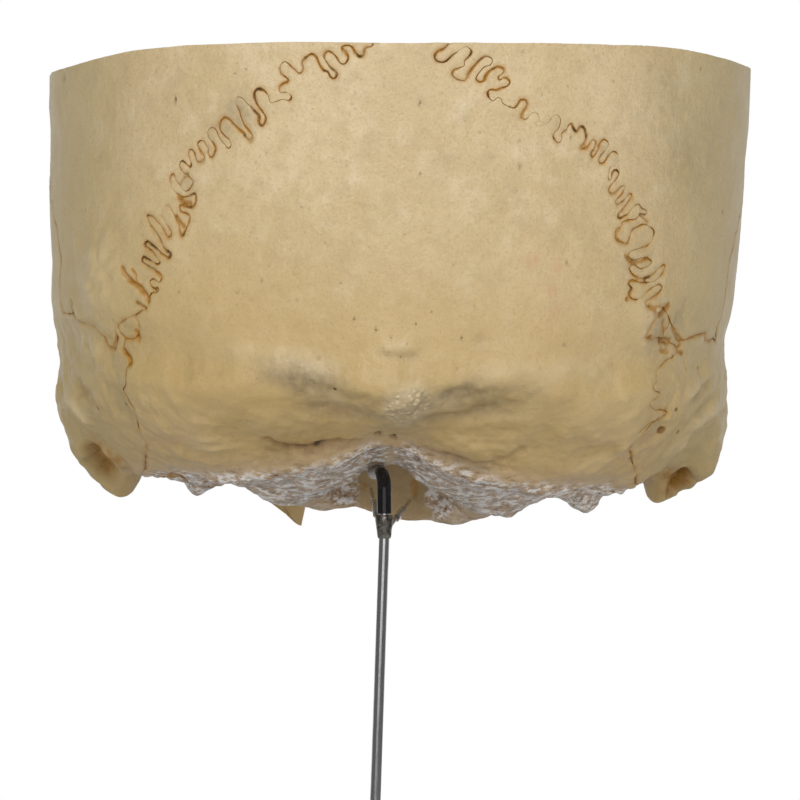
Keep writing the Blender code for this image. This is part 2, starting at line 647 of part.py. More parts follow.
def facing_out(item):
    """Turn all faces of a closed mesh outward."""
    mesh = bmesh.new()
    mesh.from_mesh(item.data)
    bmesh.ops.recalc_face_normals(mesh, faces=mesh.faces)
    if mesh.calc_volume(signed=True) < 0.0:
        bmesh.ops.reverse_faces(mesh, faces=mesh.faces)
    mesh.to_mesh(item.data)
    mesh.free()
    return item


# Skull

def side_sign(side):
    """+1 on the skull's right and -1 on its left."""
    return 1.0 if side == "right" else -1.0


def place_in_skull(shares, side):
    """A place given in shares of the half breadth, the front length and the depth."""
    place = np.array(shares, float) * (HALF_BREADTH, FRONT_LENGTH, BASE_DEPTH)
    return lean(place * np.array((side_sign(side), 1.0, 1.0)))


def plate_tool(name, corners, thickness):
    """A thin plate between four corners, to be joined to a bone."""
    corners = np.array(corners)
    normal = np.cross(corners[1] - corners[0], corners[2] - corners[0])
    normal *= 0.5 * thickness / np.linalg.norm(normal)
    vertices, faces = ring_loft([corners - normal, corners + normal])
    item = new_object(name, vertices, faces, None, location=skull_centre())
    return facing_out(item)


def bar_tool(name, spine, half_sizes, sides=BAR_SIDES):
    """A bar with an oval section along a spine, given as points seen from the centre."""
    rings = []
    for k, middle in enumerate(spine):
        ahead = spine[min(k + 1, len(spine) - 1)] - spine[max(k - 1, 0)]
        ahead /= np.linalg.norm(ahead)
        across = np.cross(ahead, (0.0, 0.0, 1.0) if abs(ahead[2]) < 0.8 else (0.0, 1.0, 0.0))
        across /= np.linalg.norm(across)
        up = np.cross(across, ahead)
        wide, tall = half_sizes[k]
        ring = []
        for i in range(sides):
            angle = 2.0 * math.pi * i / sides
            ring.append(middle + across * wide * math.cos(angle) + up * tall * math.sin(angle))
        rings.append(np.array(ring))
    vertices, faces = ring_loft(rings)
    return facing_out(new_object(name, vertices, faces, None, location=skull_centre()))


def combine(item, tool, operation):
    """Join a tool to an item or cut it away, and keep the result in the item's mesh."""
    modifier = item.modifiers.new(operation.lower(), "BOOLEAN")
    modifier.operation = operation
    modifier.solver = "EXACT"
    modifier.object = tool
    bpy.context.view_layer.update()
    shaped = item.evaluated_get(bpy.context.evaluated_depsgraph_get())
    mesh = bpy.data.meshes.new_from_object(shaped)
    item.modifiers.clear()
    old = item.data
    item.data = mesh
    mesh.name = item.name
    bpy.data.meshes.remove(old)
    bpy.data.objects.remove(tool)


def bone(name, lines, holes, colour, roughness=0.42):
    """One bone of the shell, inside the sutures and the saw cut that bound it."""
    vertices, faces = shell_patch(chain(lines), holes)
    finish = material(name + "_bone", colour, roughness)
    item = new_object(name, lean(vertices), faces, finish, location=skull_centre())
    facing_out(item)
    return smooth(item, BONE_SHARP_DEGREES)


def temporal_processes(item, side):
    """Cheek arch root, styloid stump and ear canal of a temporal bone."""
    spine = np.array([place_in_skull(place, side) for place in CHEEK_ARCH_SHARES])
    thick = 0.5 * CHEEK_ARCH_THICKNESS
    tall = 0.5 * CHEEK_ARCH_HEIGHT
    sizes = [(thick, tall), (thick, tall), (thick, 0.8 * tall), (0.7 * thick, 0.6 * tall)]
    combine(item, bar_tool("arch", spine, sizes), "UNION")
    spine = np.array([place_in_skull(place, side) for place in STYLOID_SHARES])
    sizes = [(STYLOID_RADIUS, STYLOID_RADIUS), (STYLOID_TIP_RADIUS, STYLOID_TIP_RADIUS)]
    combine(item, bar_tool("styloid", spine, sizes), "UNION")
    az, dip = np.radians(EAR_CANAL_DEGREES)
    mouth = shell_points(np.array([az]), np.array([dip]))[0][0]
    inward = np.array(EAR_CANAL_LEAN_SHARES) / np.linalg.norm(EAR_CANAL_LEAN_SHARES)
    mirror = np.array((side_sign(side), 1.0, 1.0))
    spine = [lean((mouth + way * inward * EAR_CANAL_DEPTH) * mirror) for way in (-1.0, 1.0)]
    end_radius = EAR_CANAL_END_SHARE * EAR_CANAL_RADIUS
    sizes = [(EAR_CANAL_RADIUS, EAR_CANAL_RADIUS), (end_radius, end_radius)]
    combine(item, bar_tool("canal", np.array(spine), sizes, CANAL_SIDES), "DIFFERENCE")


def skull_bones(skull):
    """All bones of the braincase, each carried by the skull's empty."""
    bones = []
    both = ("right", "left")
    occipital_lines = [cut_line(-84.0, -94.5), seam("lambdoid", "right"), seam("sutural medial", "right"),
                       seam("occipitomastoid", "right"), seam("jugular medial", "right"),
                       seam("petro-occipital", "right"), seam("torn hole back", "right"),
                       spheno_occipital_line(), seam("torn hole back", "left"),
                       seam("petro-occipital", "left"), seam("jugular medial", "left"),
                       seam("occipitomastoid", "left"), seam("sutural medial", "left"),
                       seam("lambdoid", "left")]
    bones.append(bone("occipital_bone", occipital_lines, [foramen_loop()], (0.64, 0.50, 0.30)))
    for side in both:
        cut = cut_line(-84.0, 47.6) if side == "right" else cut_line(265.5, 132.4)
        lines = [cut, seam("coronal", side), seam("sphenoparietal", side), seam("squamosal", side),
                 seam("parietomastoid", side), seam("sutural upper", side), seam("lambdoid", side)]
        bones.append(bone(side + "_parietal_bone", lines, [], (0.60, 0.47, 0.28)))
        lines = [seam("sutural upper", side), seam("sutural lower", side), seam("sutural medial", side)]
        bones.append(bone(side + "_sutural_bone", lines, [], (0.55, 0.36, 0.17)))
        lines = [seam("sutural lower", side), seam("parietomastoid", side), seam("squamosal", side),
                 seam("sphenosquamosal", side), seam("torn hole side", side),
                 seam("petro-occipital", side), seam("jugular lateral", side),
                 seam("occipitomastoid", side)]
        item = bone(side + "_temporal_bone", lines, [], (0.58, 0.44, 0.25))
        temporal_processes(item, side)
        bones.append(item)
    lines = [cut_line(47.6, 132.4), seam("coronal", "left"), seam("sphenofrontal", "left"),
             seam("ethmoid side", "left"), ethmoid_front_line(), seam("ethmoid side", "right"),
             seam("sphenofrontal", "right"), seam("coronal", "right")]
    bones.append(bone("frontal_bone", lines, [], (0.62, 0.48, 0.29)))
    lines = [ethmoid_front_line(), seam("ethmoid side", "left"), ethmoid_back_line(),
             seam("ethmoid side", "right")]
    ethmoid = bone("ethmoid_bone", lines, [], (0.60, 0.46, 0.27))
    crest = [place_in_skull(place, "right") for place in CREST_SHARES]
    combine(ethmoid, plate_tool("crest", crest, CREST_THICKNESS), "UNION")
    bones.append(ethmoid)
    lines = [spheno_occipital_line()]
    lines += [seam(name, "right") for name in ("torn hole front", "sphenosquamosal", "sphenoparietal",
                                                "sphenofrontal")]
    lines += [ethmoid_back_line()]
    lines += [seam(name, "left") for name in ("sphenofrontal", "sphenoparietal", "sphenosquamosal",
                                               "torn hole front")]
    sphenoid = bone("sphenoid_bone", lines, [], (0.59, 0.45, 0.26))
    for side in both:
        for label, shares in (("outer", OUTER_PTERYGOID_SHARES), ("inner", INNER_PTERYGOID_SHARES)):
            corners = np.array([place_in_skull(place, side) for place in shares])
            if side == "right":
                corners[2:] = corners[[1, 0]] + SHORT_PLATE_SHARE * (corners[2:] - corners[[1, 0]])
            combine(sphenoid, plate_tool(label, corners, PTERYGOID_THICKNESS), "UNION")
    bones.append(sphenoid)
    for item in bones:
        item.parent = skull
    return bones


def middle_line(right_end, middle):
    """A seam across the midline, from its right end over its middle to the left."""
    left_end = (180.0 - right_end[0], right_end[1])
    points = []
    for start, end in ((right_end, middle), (middle, left_end)):
        first = chart_point(*start)
        last = chart_point(*end)
        for share in (0.0, 0.5):
            points.append((*(first + share * (last - first)), 0.0))
    points.append((*chart_point(*left_end), 0.0))
    return np.array(points)


def spheno_occipital_line():
    """Seam between the body of the sphenoid and the occipital bone."""
    return middle_line((79, 61.8), (90, 61.2))


def ethmoid_back_line():
    """Seam between the ethmoid and the sphenoid."""
    return middle_line((80, 30.5), (90, 31))


def ethmoid_front_line():
    """Seam between the ethmoid and the frontal bone."""
    return middle_line((84, 17.8), (90, 17.2))


# Stand

def turned(name, profile, finish, parent, location=(0.0, 0.0, 0.0), sides=ROUND_SIDES, reach=None,
           axis="Z"):
    """A turned piece from a closed profile of radius and height; radius 0 closes on the axis."""
    rings = []
    for radius, height in profile:
        ring = []
        for i in range(sides):
            angle = 2.0 * math.pi * i / sides
            far = radius if reach is None else reach(i, angle, radius)
            ring.append((far * math.cos(angle), far * math.sin(angle), height))
        rings.append(np.array(ring))
    solid = profile[0][0] == 0.0
    if not solid:
        rings.append(rings[0])
    vertices, faces = ring_loft(rings, closed_ends=False)
    item = new_object(name, vertices, faces, finish, parent, location)
    mesh = bmesh.new()
    mesh.from_mesh(item.data)
    bmesh.ops.remove_doubles(mesh, verts=mesh.verts, dist=0.1 * SLEEVE_GAP)
    if axis == "X":
        bmesh.ops.rotate(mesh, verts=mesh.verts, matrix=Matrix.Rotation(0.5 * math.pi, 3, "Y"))
    mesh.to_mesh(item.data)
    mesh.free()
    facing_out(item)
    return smooth(item)


def rounded_path(corners, radius, steps=BEND_STEPS):
    """A line through corners, with each corner turned into an arc."""
    points = [np.array(corners[0], float)]
    for before, corner, after in zip(corners[:-2], corners[1:-1], corners[2:]):
        before, corner, after = (np.array(p, float) for p in (before, corner, after))
        into = (corner - before) / np.linalg.norm(corner - before)
        out = (after - corner) / np.linalg.norm(after - corner)
        turn = math.acos(float(np.clip(into @ out, -1.0, 1.0)))
        setback = radius * math.tan(0.5 * turn)
        start = corner - into * setback
        side = out - into * float(into @ out)
        side /= np.linalg.norm(side)
        middle = start + side * radius
        for i in range(steps + 1):
            angle = turn * i / steps
            points.append(middle - side * radius * math.cos(angle) + into * radius * math.sin(angle))
    points.append(np.array(corners[-1], float))
    return points


def carried_frames(points):
    """Two directions square to a line at each of its points, carried along without twist."""
    across = np.array((1.0, 0.0, 0.0))
    frames = []
    for k in range(len(points)):
        ahead = points[min(k + 1, len(points) - 1)] - points[max(k - 1, 0)]
        ahead = ahead / np.linalg.norm(ahead)
        across = across - ahead * (across @ ahead)
        across = across / np.linalg.norm(across)
        frames.append((across, np.cross(ahead, across)))
    return frames


def tube(name, points, frames, radius, finish, parent, bore=0.0):
    """A rod along a line, or a sleeve when it has a bore."""
    def rings_of(size):
        rings = []
        for middle, (across, up) in zip(points, frames):
            ring = []
            for i in range(ROD_SIDES):
                angle = 2.0 * math.pi * (i + 0.5) / ROD_SIDES
                ring.append(middle + size * (across * math.cos(angle) + up * math.sin(angle)))
            rings.append(np.array(ring))
        return rings

    if bore:
        rings = rings_of(radius) + rings_of(bore)[::-1]
        vertices, faces = ring_loft(rings + [rings[0]], closed_ends=False)
    else:
        vertices, faces = ring_loft(rings_of(radius))
    item = new_object(name, vertices, faces, finish, parent)
    mesh = bmesh.new()
    mesh.from_mesh(item.data)
    bmesh.ops.remove_doubles(mesh, verts=mesh.verts, dist=0.1 * SLEEVE_GAP)
    mesh.to_mesh(item.data)
    mesh.free()
    facing_out(item)
    return smooth(item)


def hook_height():
    """Height of the rod's middle where it passes under the rear rim of the foramen magnum."""
    lowest = math.inf
    for back in np.linspace(0.0, HOOK_REACH, 8):
        for aside in (-1.0, 0.0, 1.0):
            x = aside * (ROD_RADIUS + SLEEVE_GAP + SLEEVE_WALL) + 0.5 * HOOK_ASIDE
            az = np.array([math.atan2(-FORAMEN_REAR - back, x)])
            dip = np.array([math.atan2(BASE_DEPTH, math.hypot(FORAMEN_REAR + back, x))])
            lowest = min(lowest, float(settle(shell_points(az, dip)[0])[0, 2]))
    return lowest - FIT_GAP - ROD_RADIUS - SLEEVE_GAP - SLEEVE_WALL


def foramen_wall(angle_degrees, wall_share):
    """A place on the wall of the foramen magnum, a share of the way from its outer to its inner edge."""
    az, dip = chart_angles([foramen_point(math.radians(angle_degrees))])
    outer, inner = shell_points(az, dip)
    return settle(outer + wall_share * (inner - outer))[0]


def stem_pieces(stem, steel, clear, braze):
    """Rod with its hook, the clear sleeve over the hook, the prongs and the brazed joint."""
    top = hook_height()
    socket_foot = FELT_THICKNESS + BASE_THICKNESS + SOCKET_FLANGE_THICKNESS
    corners = [(0.0, 0.0, socket_foot + FIT_GAP), (0.0, 0.0, ROD_STRAIGHT_TOP),
               (ROD_LEAN_ASIDE, 0.0, top - JOINT_FOOT_DROP), (ROD_LEAN_ASIDE, 0.0, top),
               (ROD_LEAN_ASIDE + HOOK_ASIDE, HOOK_REACH, top),
               (ROD_LEAN_ASIDE + HOOK_ASIDE, HOOK_REACH, top + HOOK_POST_LENGTH)]
    line = rounded_path(corners, ROD_BEND_RADIUS)
    joint_top = top - JOINT_FOOT_DROP + JOINT_LENGTH
    foot = np.array((ROD_LEAN_ASIDE, 0.0, joint_top + FIT_GAP))
    bend_start = next(i for i, p in enumerate(line) if p[2] > joint_top + FIT_GAP)
    line.insert(bend_start, foot)
    tip = line[-1] - np.array((0.0, 0.0, SLEEVE_END_GAP))
    line.insert(len(line) - 1, tip)
    frames = carried_frames(line)
    tube("support_rod", line, frames, ROD_RADIUS, steel, stem)
    bore = ROD_RADIUS + SLEEVE_GAP
    tube("hook_sleeve", line[bend_start:-1], frames[bend_start:-1], bore + SLEEVE_WALL, clear, stem, bore)

    profile = [(bore, 0.0), (JOINT_FOOT_RADIUS, 0.0), (JOINT_TOP_RADIUS, JOINT_LENGTH), (bore, JOINT_LENGTH)]
    turned("braze_joint", profile, braze, stem, (ROD_LEAN_ASIDE, 0.0, joint_top - JOINT_LENGTH), ROD_SIDES)
    for side in ("left", "right"):
        tip = foramen_wall(PRONG_TIP_DEGREES[side], PRONG_TIP_WALL_SHARES[side])
        tip[1] -= FIT_GAP + PRONG_RADIUS
        aside = side_sign(side) * PRONG_SPREAD
        ahead = math.sqrt((JOINT_TOP_RADIUS + FIT_GAP + PRONG_RADIUS) ** 2 - aside ** 2)
        start = np.array((ROD_LEAN_ASIDE + aside, ahead, joint_top - 0.5 * JOINT_LENGTH))
        points = [start + share * (tip - start) for share in (0.0, *PRONG_SLEEVE_SHARES, 1.0)]
        frames = carried_frames(points)
        tube(side + "_prong", points, frames, PRONG_RADIUS, steel_copy(steel, side), stem)
        bore_size = PRONG_RADIUS + PRONG_SLEEVE_GAP
        tube(side + "_prong_sleeve", points[1:-1], frames[1:-1], bore_size + PRONG_SLEEVE_WALL,
             steel_copy(clear, side), stem, bore_size)


def steel_copy(finish, label):
    """The same finish under its own name."""
    made = finish.copy()
    made.name = finish.name + "_" + label
    return made


def base_pieces():
    """Round base with felt, rod socket and nut."""
    top = FELT_THICKNESS + BASE_THICKNESS
    felt_radius = BASE_RADIUS - FELT_MARGIN
    profile = [(0.0, 0.0), (felt_radius, 0.0), (felt_radius, FELT_THICKNESS - FIT_GAP),
               (0.0, FELT_THICKNESS - FIT_GAP)]
    turned("base_felt", profile, material("felt", (0.02, 0.03, 0.025), 0.95), None)

    hole = SOCKET_SHANK_RADIUS + FIT_GAP
    profile = [(hole, FELT_THICKNESS + RECESS_DEPTH), (RECESS_RADIUS, FELT_THICKNESS + RECESS_DEPTH),
               (RECESS_RADIUS, FELT_THICKNESS), (BASE_RADIUS, FELT_THICKNESS)]
    for i in range(EDGE_STEPS + 1):
        angle = 0.5 * math.pi * i / EDGE_STEPS
        profile.append((BASE_RADIUS - BASE_EDGE_RADIUS * (1.0 - math.cos(angle)),
                        top - BASE_EDGE_RADIUS * (1.0 - math.sin(angle))))
    profile.append((hole, top))
    turned("base_plate", profile, material("base_paint", (0.018, 0.018, 0.02), 0.35), None)

    foot = top + FIT_GAP
    shank_end = FELT_THICKNESS + RECESS_DEPTH - SHANK_PAST_NUT_SHARE * NUT_THICKNESS - FIT_GAP
    bore = ROD_RADIUS + ROD_GAP
    bore_foot = FELT_THICKNESS + BASE_THICKNESS + SOCKET_FLANGE_THICKNESS
    head = foot + SOCKET_HEIGHT
    profile = [(0.0, shank_end), (SOCKET_SHANK_RADIUS, shank_end), (SOCKET_SHANK_RADIUS, foot),
               (SOCKET_FLANGE_RADIUS, foot), (SOCKET_FLANGE_RADIUS, foot + SOCKET_FLANGE_THICKNESS),
               (SOCKET_RADIUS, foot + SOCKET_FLANGE_THICKNESS), (SOCKET_RADIUS, head - SOCKET_CHAMFER),
               (SOCKET_RADIUS - SOCKET_CHAMFER, head), (bore, head), (bore, bore_foot), (0.0, bore_foot)]
    metal = material("socket_metal", (0.62, 0.62, 0.60), 0.28, 1.0)
    socket = turned("socket", profile, metal, None, sides=SOCKET_SIDES)

    def hexagon(index, angle, radius):
        if radius < 0.5 * NUT_ACROSS_CORNERS:
            return radius
        part = (angle % (math.pi / 3.0)) - math.pi / 6.0
        return radius * math.cos(math.pi / 6.0) / math.cos(part)

    nut_hole = SOCKET_SHANK_RADIUS + SLEEVE_GAP
    nut_top = FELT_THICKNESS + RECESS_DEPTH - FIT_GAP
    half = 0.5 * NUT_ACROSS_CORNERS
    profile = [(nut_hole, nut_top - NUT_THICKNESS), (half, nut_top - NUT_THICKNESS), (half, nut_top),
               (nut_hole, nut_top)]
    turned("socket_nut", profile, material("nut_metal", (0.55, 0.55, 0.54), 0.35, 1.0), None,
           sides=NUT_SIDES, reach=hexagon)
    return socket


def thumb_screw(socket, axis):
    """Knurled screw that clamps the rod, and its hole in the socket."""
    height = axis.location[2]
    hole_radius = SCREW_RADIUS + ROD_GAP
    hole_end = 2.0 * SOCKET_RADIUS
    profile = [(0.0, 0.0), (hole_radius, 0.0), (hole_radius, hole_end), (0.0, hole_end)]
    hole = turned("screw_hole", profile, None, None, (0.0, 0.0, height), SCREW_HOLE_SIDES, axis="X")
    combine(socket, hole, "DIFFERENCE")
    smooth(socket)

    def knurled(index, angle, radius):
        if radius < SCREW_HEAD_RADIUS - SCREW_HEAD_CHAMFER:
            return radius
        return radius - KNURL_DEPTH * (index % 2)

    tip = ROD_RADIUS + FIT_GAP
    neck = SOCKET_RADIUS + SCREW_STAND_OFF
    head = neck + SCREW_NECK_LENGTH
    end = head + SCREW_HEAD_LENGTH
    profile = [(0.0, tip), (SCREW_RADIUS, tip), (SCREW_RADIUS, neck), (SCREW_NECK_RADIUS, neck),
               (SCREW_NECK_RADIUS, head), (SCREW_HEAD_RADIUS - SCREW_HEAD_CHAMFER, head),
               (SCREW_HEAD_RADIUS, head + SCREW_HEAD_CHAMFER), (SCREW_HEAD_RADIUS, end - SCREW_HEAD_CHAMFER),
               (SCREW_HEAD_RADIUS - SCREW_HEAD_CHAMFER, end), (0.0, end)]
    turned("thumb_screw", profile, material("screw_metal", (0.60, 0.60, 0.58), 0.3, 1.0), axis,
           sides=2 * KNURL_COUNT, reach=knurled, axis="X")


def new_axis(name, location):
    """An empty that carries the pieces of one moving body."""
    axis = bpy.data.objects.new(name, None)
    axis.location = location
    bpy.context.scene.collection.objects.link(axis)
    return axis


def main():
    """Clear the scene and build the skull and its stand."""
    for item in list(bpy.data.objects):
        bpy.data.objects.remove(item)
    stem = new_axis("stem_turn_axis", (0.0, 0.0, 0.0))
    skull = new_axis("skull_lift_axis", (0.0, 0.0, 0.0))
    socket_top = FELT_THICKNESS + BASE_THICKNESS + FIT_GAP
    screw = new_axis("thumb_screw_axis", (0.0, 0.0, socket_top + SCREW_HEIGHT_SHARE * SOCKET_HEIGHT))
    skull_bones(skull)
    steel = material("rod_steel", (0.60, 0.60, 0.61), 0.15, 1.0)
    clear = material("clear_sleeve", (0.75, 0.77, 0.78), 0.12)
    braze = material("braze", (0.35, 0.33, 0.30), 0.4, 1.0)
    stem_pieces(stem, steel, clear, braze)
    thumb_screw(base_pieces(), screw)


main()
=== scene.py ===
"""Looks of the lower half of a human braincase on its wire stand.

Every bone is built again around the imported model, from the same two-angle description of the
shell, with fine sutures, relief and bone surface. All sizes are in metres unless a name says
millimetres (MM), degrees or pixels. Pixels are places in the view of the scene's camera, 800 by
800, and each is carried onto the shell before it is used.
"""
import math

import bmesh
import bpy
import numpy as np
from mathutils import Matrix, Vector
from mathutils.geometry import delaunay_2d_cdt
from mathutils.kdtree import KDTree


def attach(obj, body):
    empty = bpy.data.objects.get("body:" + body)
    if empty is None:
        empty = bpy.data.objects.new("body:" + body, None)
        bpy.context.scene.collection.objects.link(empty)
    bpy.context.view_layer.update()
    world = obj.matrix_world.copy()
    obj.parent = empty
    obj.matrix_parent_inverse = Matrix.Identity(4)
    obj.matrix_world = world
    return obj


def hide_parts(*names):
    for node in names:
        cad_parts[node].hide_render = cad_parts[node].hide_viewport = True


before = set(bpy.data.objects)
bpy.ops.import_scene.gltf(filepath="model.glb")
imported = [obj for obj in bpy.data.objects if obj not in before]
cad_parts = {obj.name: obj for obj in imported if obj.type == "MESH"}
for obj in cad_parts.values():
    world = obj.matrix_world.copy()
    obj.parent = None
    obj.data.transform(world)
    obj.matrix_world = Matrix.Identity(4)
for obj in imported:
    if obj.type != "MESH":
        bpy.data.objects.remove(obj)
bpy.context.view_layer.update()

# Camera
FOCAL_PIXELS = 5324.0
PICTURE_PIXELS = 800
SENSOR_WIDTH_MM = 36.0
CAMERA_PLACE = (0.0049, -1.049, 0.132)

# Size and pose of the braincase
HALF_BREADTH = 0.071
FRONT_LENGTH = 0.112
BACK_LENGTH = 0.0725
BASE_DEPTH = 0.082
SAW_CUT_HEIGHT = 0.199
CENTRE_ASIDE = 0.0049
ROLL_DEGREES = 1.3
SAW_TILT_DEGREES = 1.8

# Walls
VAULT_WALL = 0.0056
LEAST_WALL = 0.0021

# Foramen magnum, with its centre as shares of the two length sizes
FORAMEN_LENGTH = 0.0345
FORAMEN_WIDTH = 0.0295
FORAMEN_BACK_SHIFT_SHARE = 0.012
ROD_BEHIND_FORAMEN = 0.0044
FORAMEN_REAR = 0.5 * FORAMEN_LENGTH + FORAMEN_BACK_SHIFT_SHARE * FRONT_LENGTH
CENTRE_FORWARD = FORAMEN_REAR + ROD_BEHIND_FORAMEN

# Ear canal
EAR_CANAL_RADIUS = 0.0042
EAR_CANAL_END_SHARE = 0.7
EAR_CANAL_DEPTH = 0.014
EAR_CANAL_DEGREES = (15.5, 44.5)

# Processes that stand free of the shell
CHEEK_ARCH_HEIGHT = 0.0065
CHEEK_ARCH_THICKNESS = 0.0038
STYLOID_RADIUS = 0.0028
STYLOID_TIP_RADIUS = 0.0014
PTERYGOID_THICKNESS = 0.0020
CREST_THICKNESS = 0.0026

# Ends of lines as close as this are one place, in degrees
MEETING_DEGREES = 0.1

# Display stand
ROD_RADIUS = 0.00105
ROD_BEND_RADIUS = 0.0033
ROD_STRAIGHT_TOP = 0.052
ROD_LEAN_ASIDE = 0.0018
HOOK_POST_LENGTH = 0.018
HOOK_STAND_OFF = 0.0066
HOOK_REACH = ROD_BEHIND_FORAMEN + HOOK_STAND_OFF
HOOK_ASIDE = -0.0024
SLEEVE_GAP = 0.0001
SLEEVE_WALL = 0.00028
SLEEVE_END_GAP = 0.0012
JOINT_FOOT_DROP = 0.0128
JOINT_LENGTH = 0.0046
JOINT_TOP_RADIUS = 0.0019
JOINT_FOOT_RADIUS = 0.00135
PRONG_RADIUS = 0.00040
PRONG_SPREAD = 0.0011
PRONG_SLEEVE_WALL = 0.00022
PRONG_SLEEVE_GAP = 0.00008
PRONG_SLEEVE_SHARES = (0.30, 0.65)
PRONG_TIP_DEGREES = {"left": 105, "right": 75}
PRONG_TIP_WALL_SHARES = {"left": 0.42, "right": 0.22}
FIT_GAP = 0.0003
BASE_RADIUS = 0.062
BASE_THICKNESS = 0.012
BASE_EDGE_RADIUS = 0.0025
FELT_THICKNESS = 0.0016
FELT_MARGIN = 0.0015
SOCKET_FLANGE_THICKNESS = 0.0022
SOCKET_SHANK_RADIUS = 0.0040
RECESS_RADIUS = 0.0092
RECESS_DEPTH = 0.0056
BEND_STEPS = 16

# Outline of the shell at the saw cut and below it
PLAN_BACK_POWER_SHARE = 2.25
PLAN_FRONT_POWER_SHARE = 2.4
WALL_POWER_SHARE = 6.0
BROW_POWER_SHARE = 9.0
OUTER_FLOOR_DEGREES = (-90, -60, -30, 0, 20, 35, 60, 90)
OUTER_FLOOR_SHARES = (0.96, 1.01, 1.02, 1.00, 0.93, 0.83, 0.84, 0.88)
INNER_FLOOR_SHARES = (0.90, 0.925, 0.925, 0.88, 0.74, 0.70, 0.695, 0.59)
OUTER_CENTRE_SHARES = (0.97, 1.00, 1.03, 1.04, 1.05, 1.06, 1.08, 1.10)
INNER_CENTRE_SHARES = (0.91, 0.93, 0.95, 0.95, 0.96, 0.96, 0.96, 0.96)
OUTER_CENTRE_DIPS = (58, 76)
INNER_CENTRE_DIPS = (46, 78)
ORBIT_ROOF_SHARE = 0.375
FOSSA_FLOOR_SHARE = 0.335
STEP_DEGREES = (40, 48.6, 54, 59, 63, 68, 79, 90)
STEP_DIPS = (12, 17.7, 21.5, 24.7, 25.5, 27.5, 26.5, 25)
STEP_SOFT_DEGREES = 11
ROOF_START_DEGREES = (45, 57)

LOW_FACE_DEGREES = (45, 54, 60, 66, 72, 79, 90)
LOW_FACE_SHARES = (0.76, 0.76, 0.74, 0.66, 0.585, 0.56, 0.555)

# Relief of the outer face: path in azimuth and dip, width share, push shares (x, y, z) and the one
# side that has it, or 0 for both
OUTER_RELIEF_SHARES = (
    ("mastoid body", ((-4, 47), (8, 48)), 0.145, (0.030, 0.00, -0.12), 0),
    ("mastoid tip", ((3, 52.5),), 0.085, (-0.045, 0.01, -0.115), 0),
    ("mastoid notch", ((-14, 61), (-2, 59.5), (8, 59)), 0.045, (0.0, 0.0, 0.09), 0),
    ("juxtamastoid ridge", ((-16, 64), (-2, 64)), 0.055, (0.0, 0.0, -0.035), 0),
    ("condyle", ((-4, 75), (18, 76.5), (42, 77)), 0.085, (0.0, 0.01, -0.085), 0),
    ("right bulge of nuchal plane", ((-66, 63), (-50, 64)), 0.20, (0.0, 0.0, -0.028), 1),
    ("inion", ((-90, 44.5),), 0.115, (0.0, -0.045, -0.02), 0),
    ("upper nuchal line", ((-90, 43.5), (-72, 42.5), (-55, 42.7), (-44, 42)), 0.055,
     (0.012, -0.026, 0.0), 0),
    ("nuchal hollow", ((-78, 50), (-64, 50), (-52, 50)), 0.085, (-0.006, 0.03, 0.015), 0),
    ("lower nuchal line", ((-88, 58), (-66, 57.5), (-46, 59)), 0.05, (0.0, -0.014, -0.02), 0),
    ("midline of nuchal plane", ((-90, 55), (-90, 66)), 0.12, (0.0, 0.0, 0.04), 0),
    ("crest behind the ear", ((-14, 39), (4, 39.5), (20, 40)), 0.055, (0.008, 0.0, 0.0), 0),
    ("flank", ((-30, 34), (0, 34), (18, 34)), 0.20, (-0.02, 0.0, 0.0), 0),
    ("cheek arch root", ((17, 42), (27, 42), (35, 42)), 0.05, (0.055, 0.0, 0.0), 0),
    ("jaw socket", ((34, 47.5),), 0.10, (0.0, 0.0, 0.075), 0),
    ("jaw eminence", ((40, 45), (46, 49)), 0.055, (0.0, 0.0, -0.035), 0),
    ("temple hollow", ((45, 26), (48, 33)), 0.23, (-0.05, -0.01, 0.0), 0),
    ("brow", ((90, 16), (76, 16.5), (66, 19.5), (61, 22)), 0.10, (0.0, 0.06, -0.045), 0),
    ("glabella", ((90, 13),), 0.16, (0.0, 0.025, 0.0), 0),
    ("orbit roof", ((70, 20), (76, 20)), 0.20, (0.0, 0.0, 0.075), 0),
    ("corner of the brow", ((60, 16.5),), 0.085, (0.02, 0.09, -0.21), 0),
    ("nose root", ((90, 19), (90, 21)), 0.13, (0.0, -0.01, -0.12), 0),
    ("air cell block", ((90, 18), (90, 22)), 0.12, (0.0, 0.0, -0.17), 0),
    ("orbit depth", ((64, 34), (71, 36)), 0.16, (0.0, -0.10, 0.0), 0),
    ("hollow below the temple", ((58, 50),), 0.14, (0.0, -0.06, 0.05), 0),
)

# Ridges of the inner face: path with its distance share, and the slope of its sides
INNER_RIDGE_SHARES = (
    ("petrous ridge", ((66, 56, 0.86), (45, 54, 0.80), (20, 48.5, 0.80), (4, 41, 0.93),
     (-6, 36, 1.06)), 1.9),
    ("lesser wing", ((79, 30.5, 0.95), (65, 24.5, 1.02), (54, 18, 1.19)), 2.3),
    ("back of the saddle", ((90, 44.3, 0.80), (80, 45.5, 0.81)), 2.6),
    ("inner occipital crest", ((-90, 44, 1.14), (-90, 60, 1.08), (-90, 72, 1.09)), 0.9),
    ("sinus ridge", ((-90, 41, 1.15), (-62, 40, 1.12), (-38, 40, 1.06), (-24, 40, 1.04)), 0.8),
)
RIDGE_SOFTNESS_SHARE = 0.05
THIN_PLACES = ("orbit roof", "temple hollow", "flank")

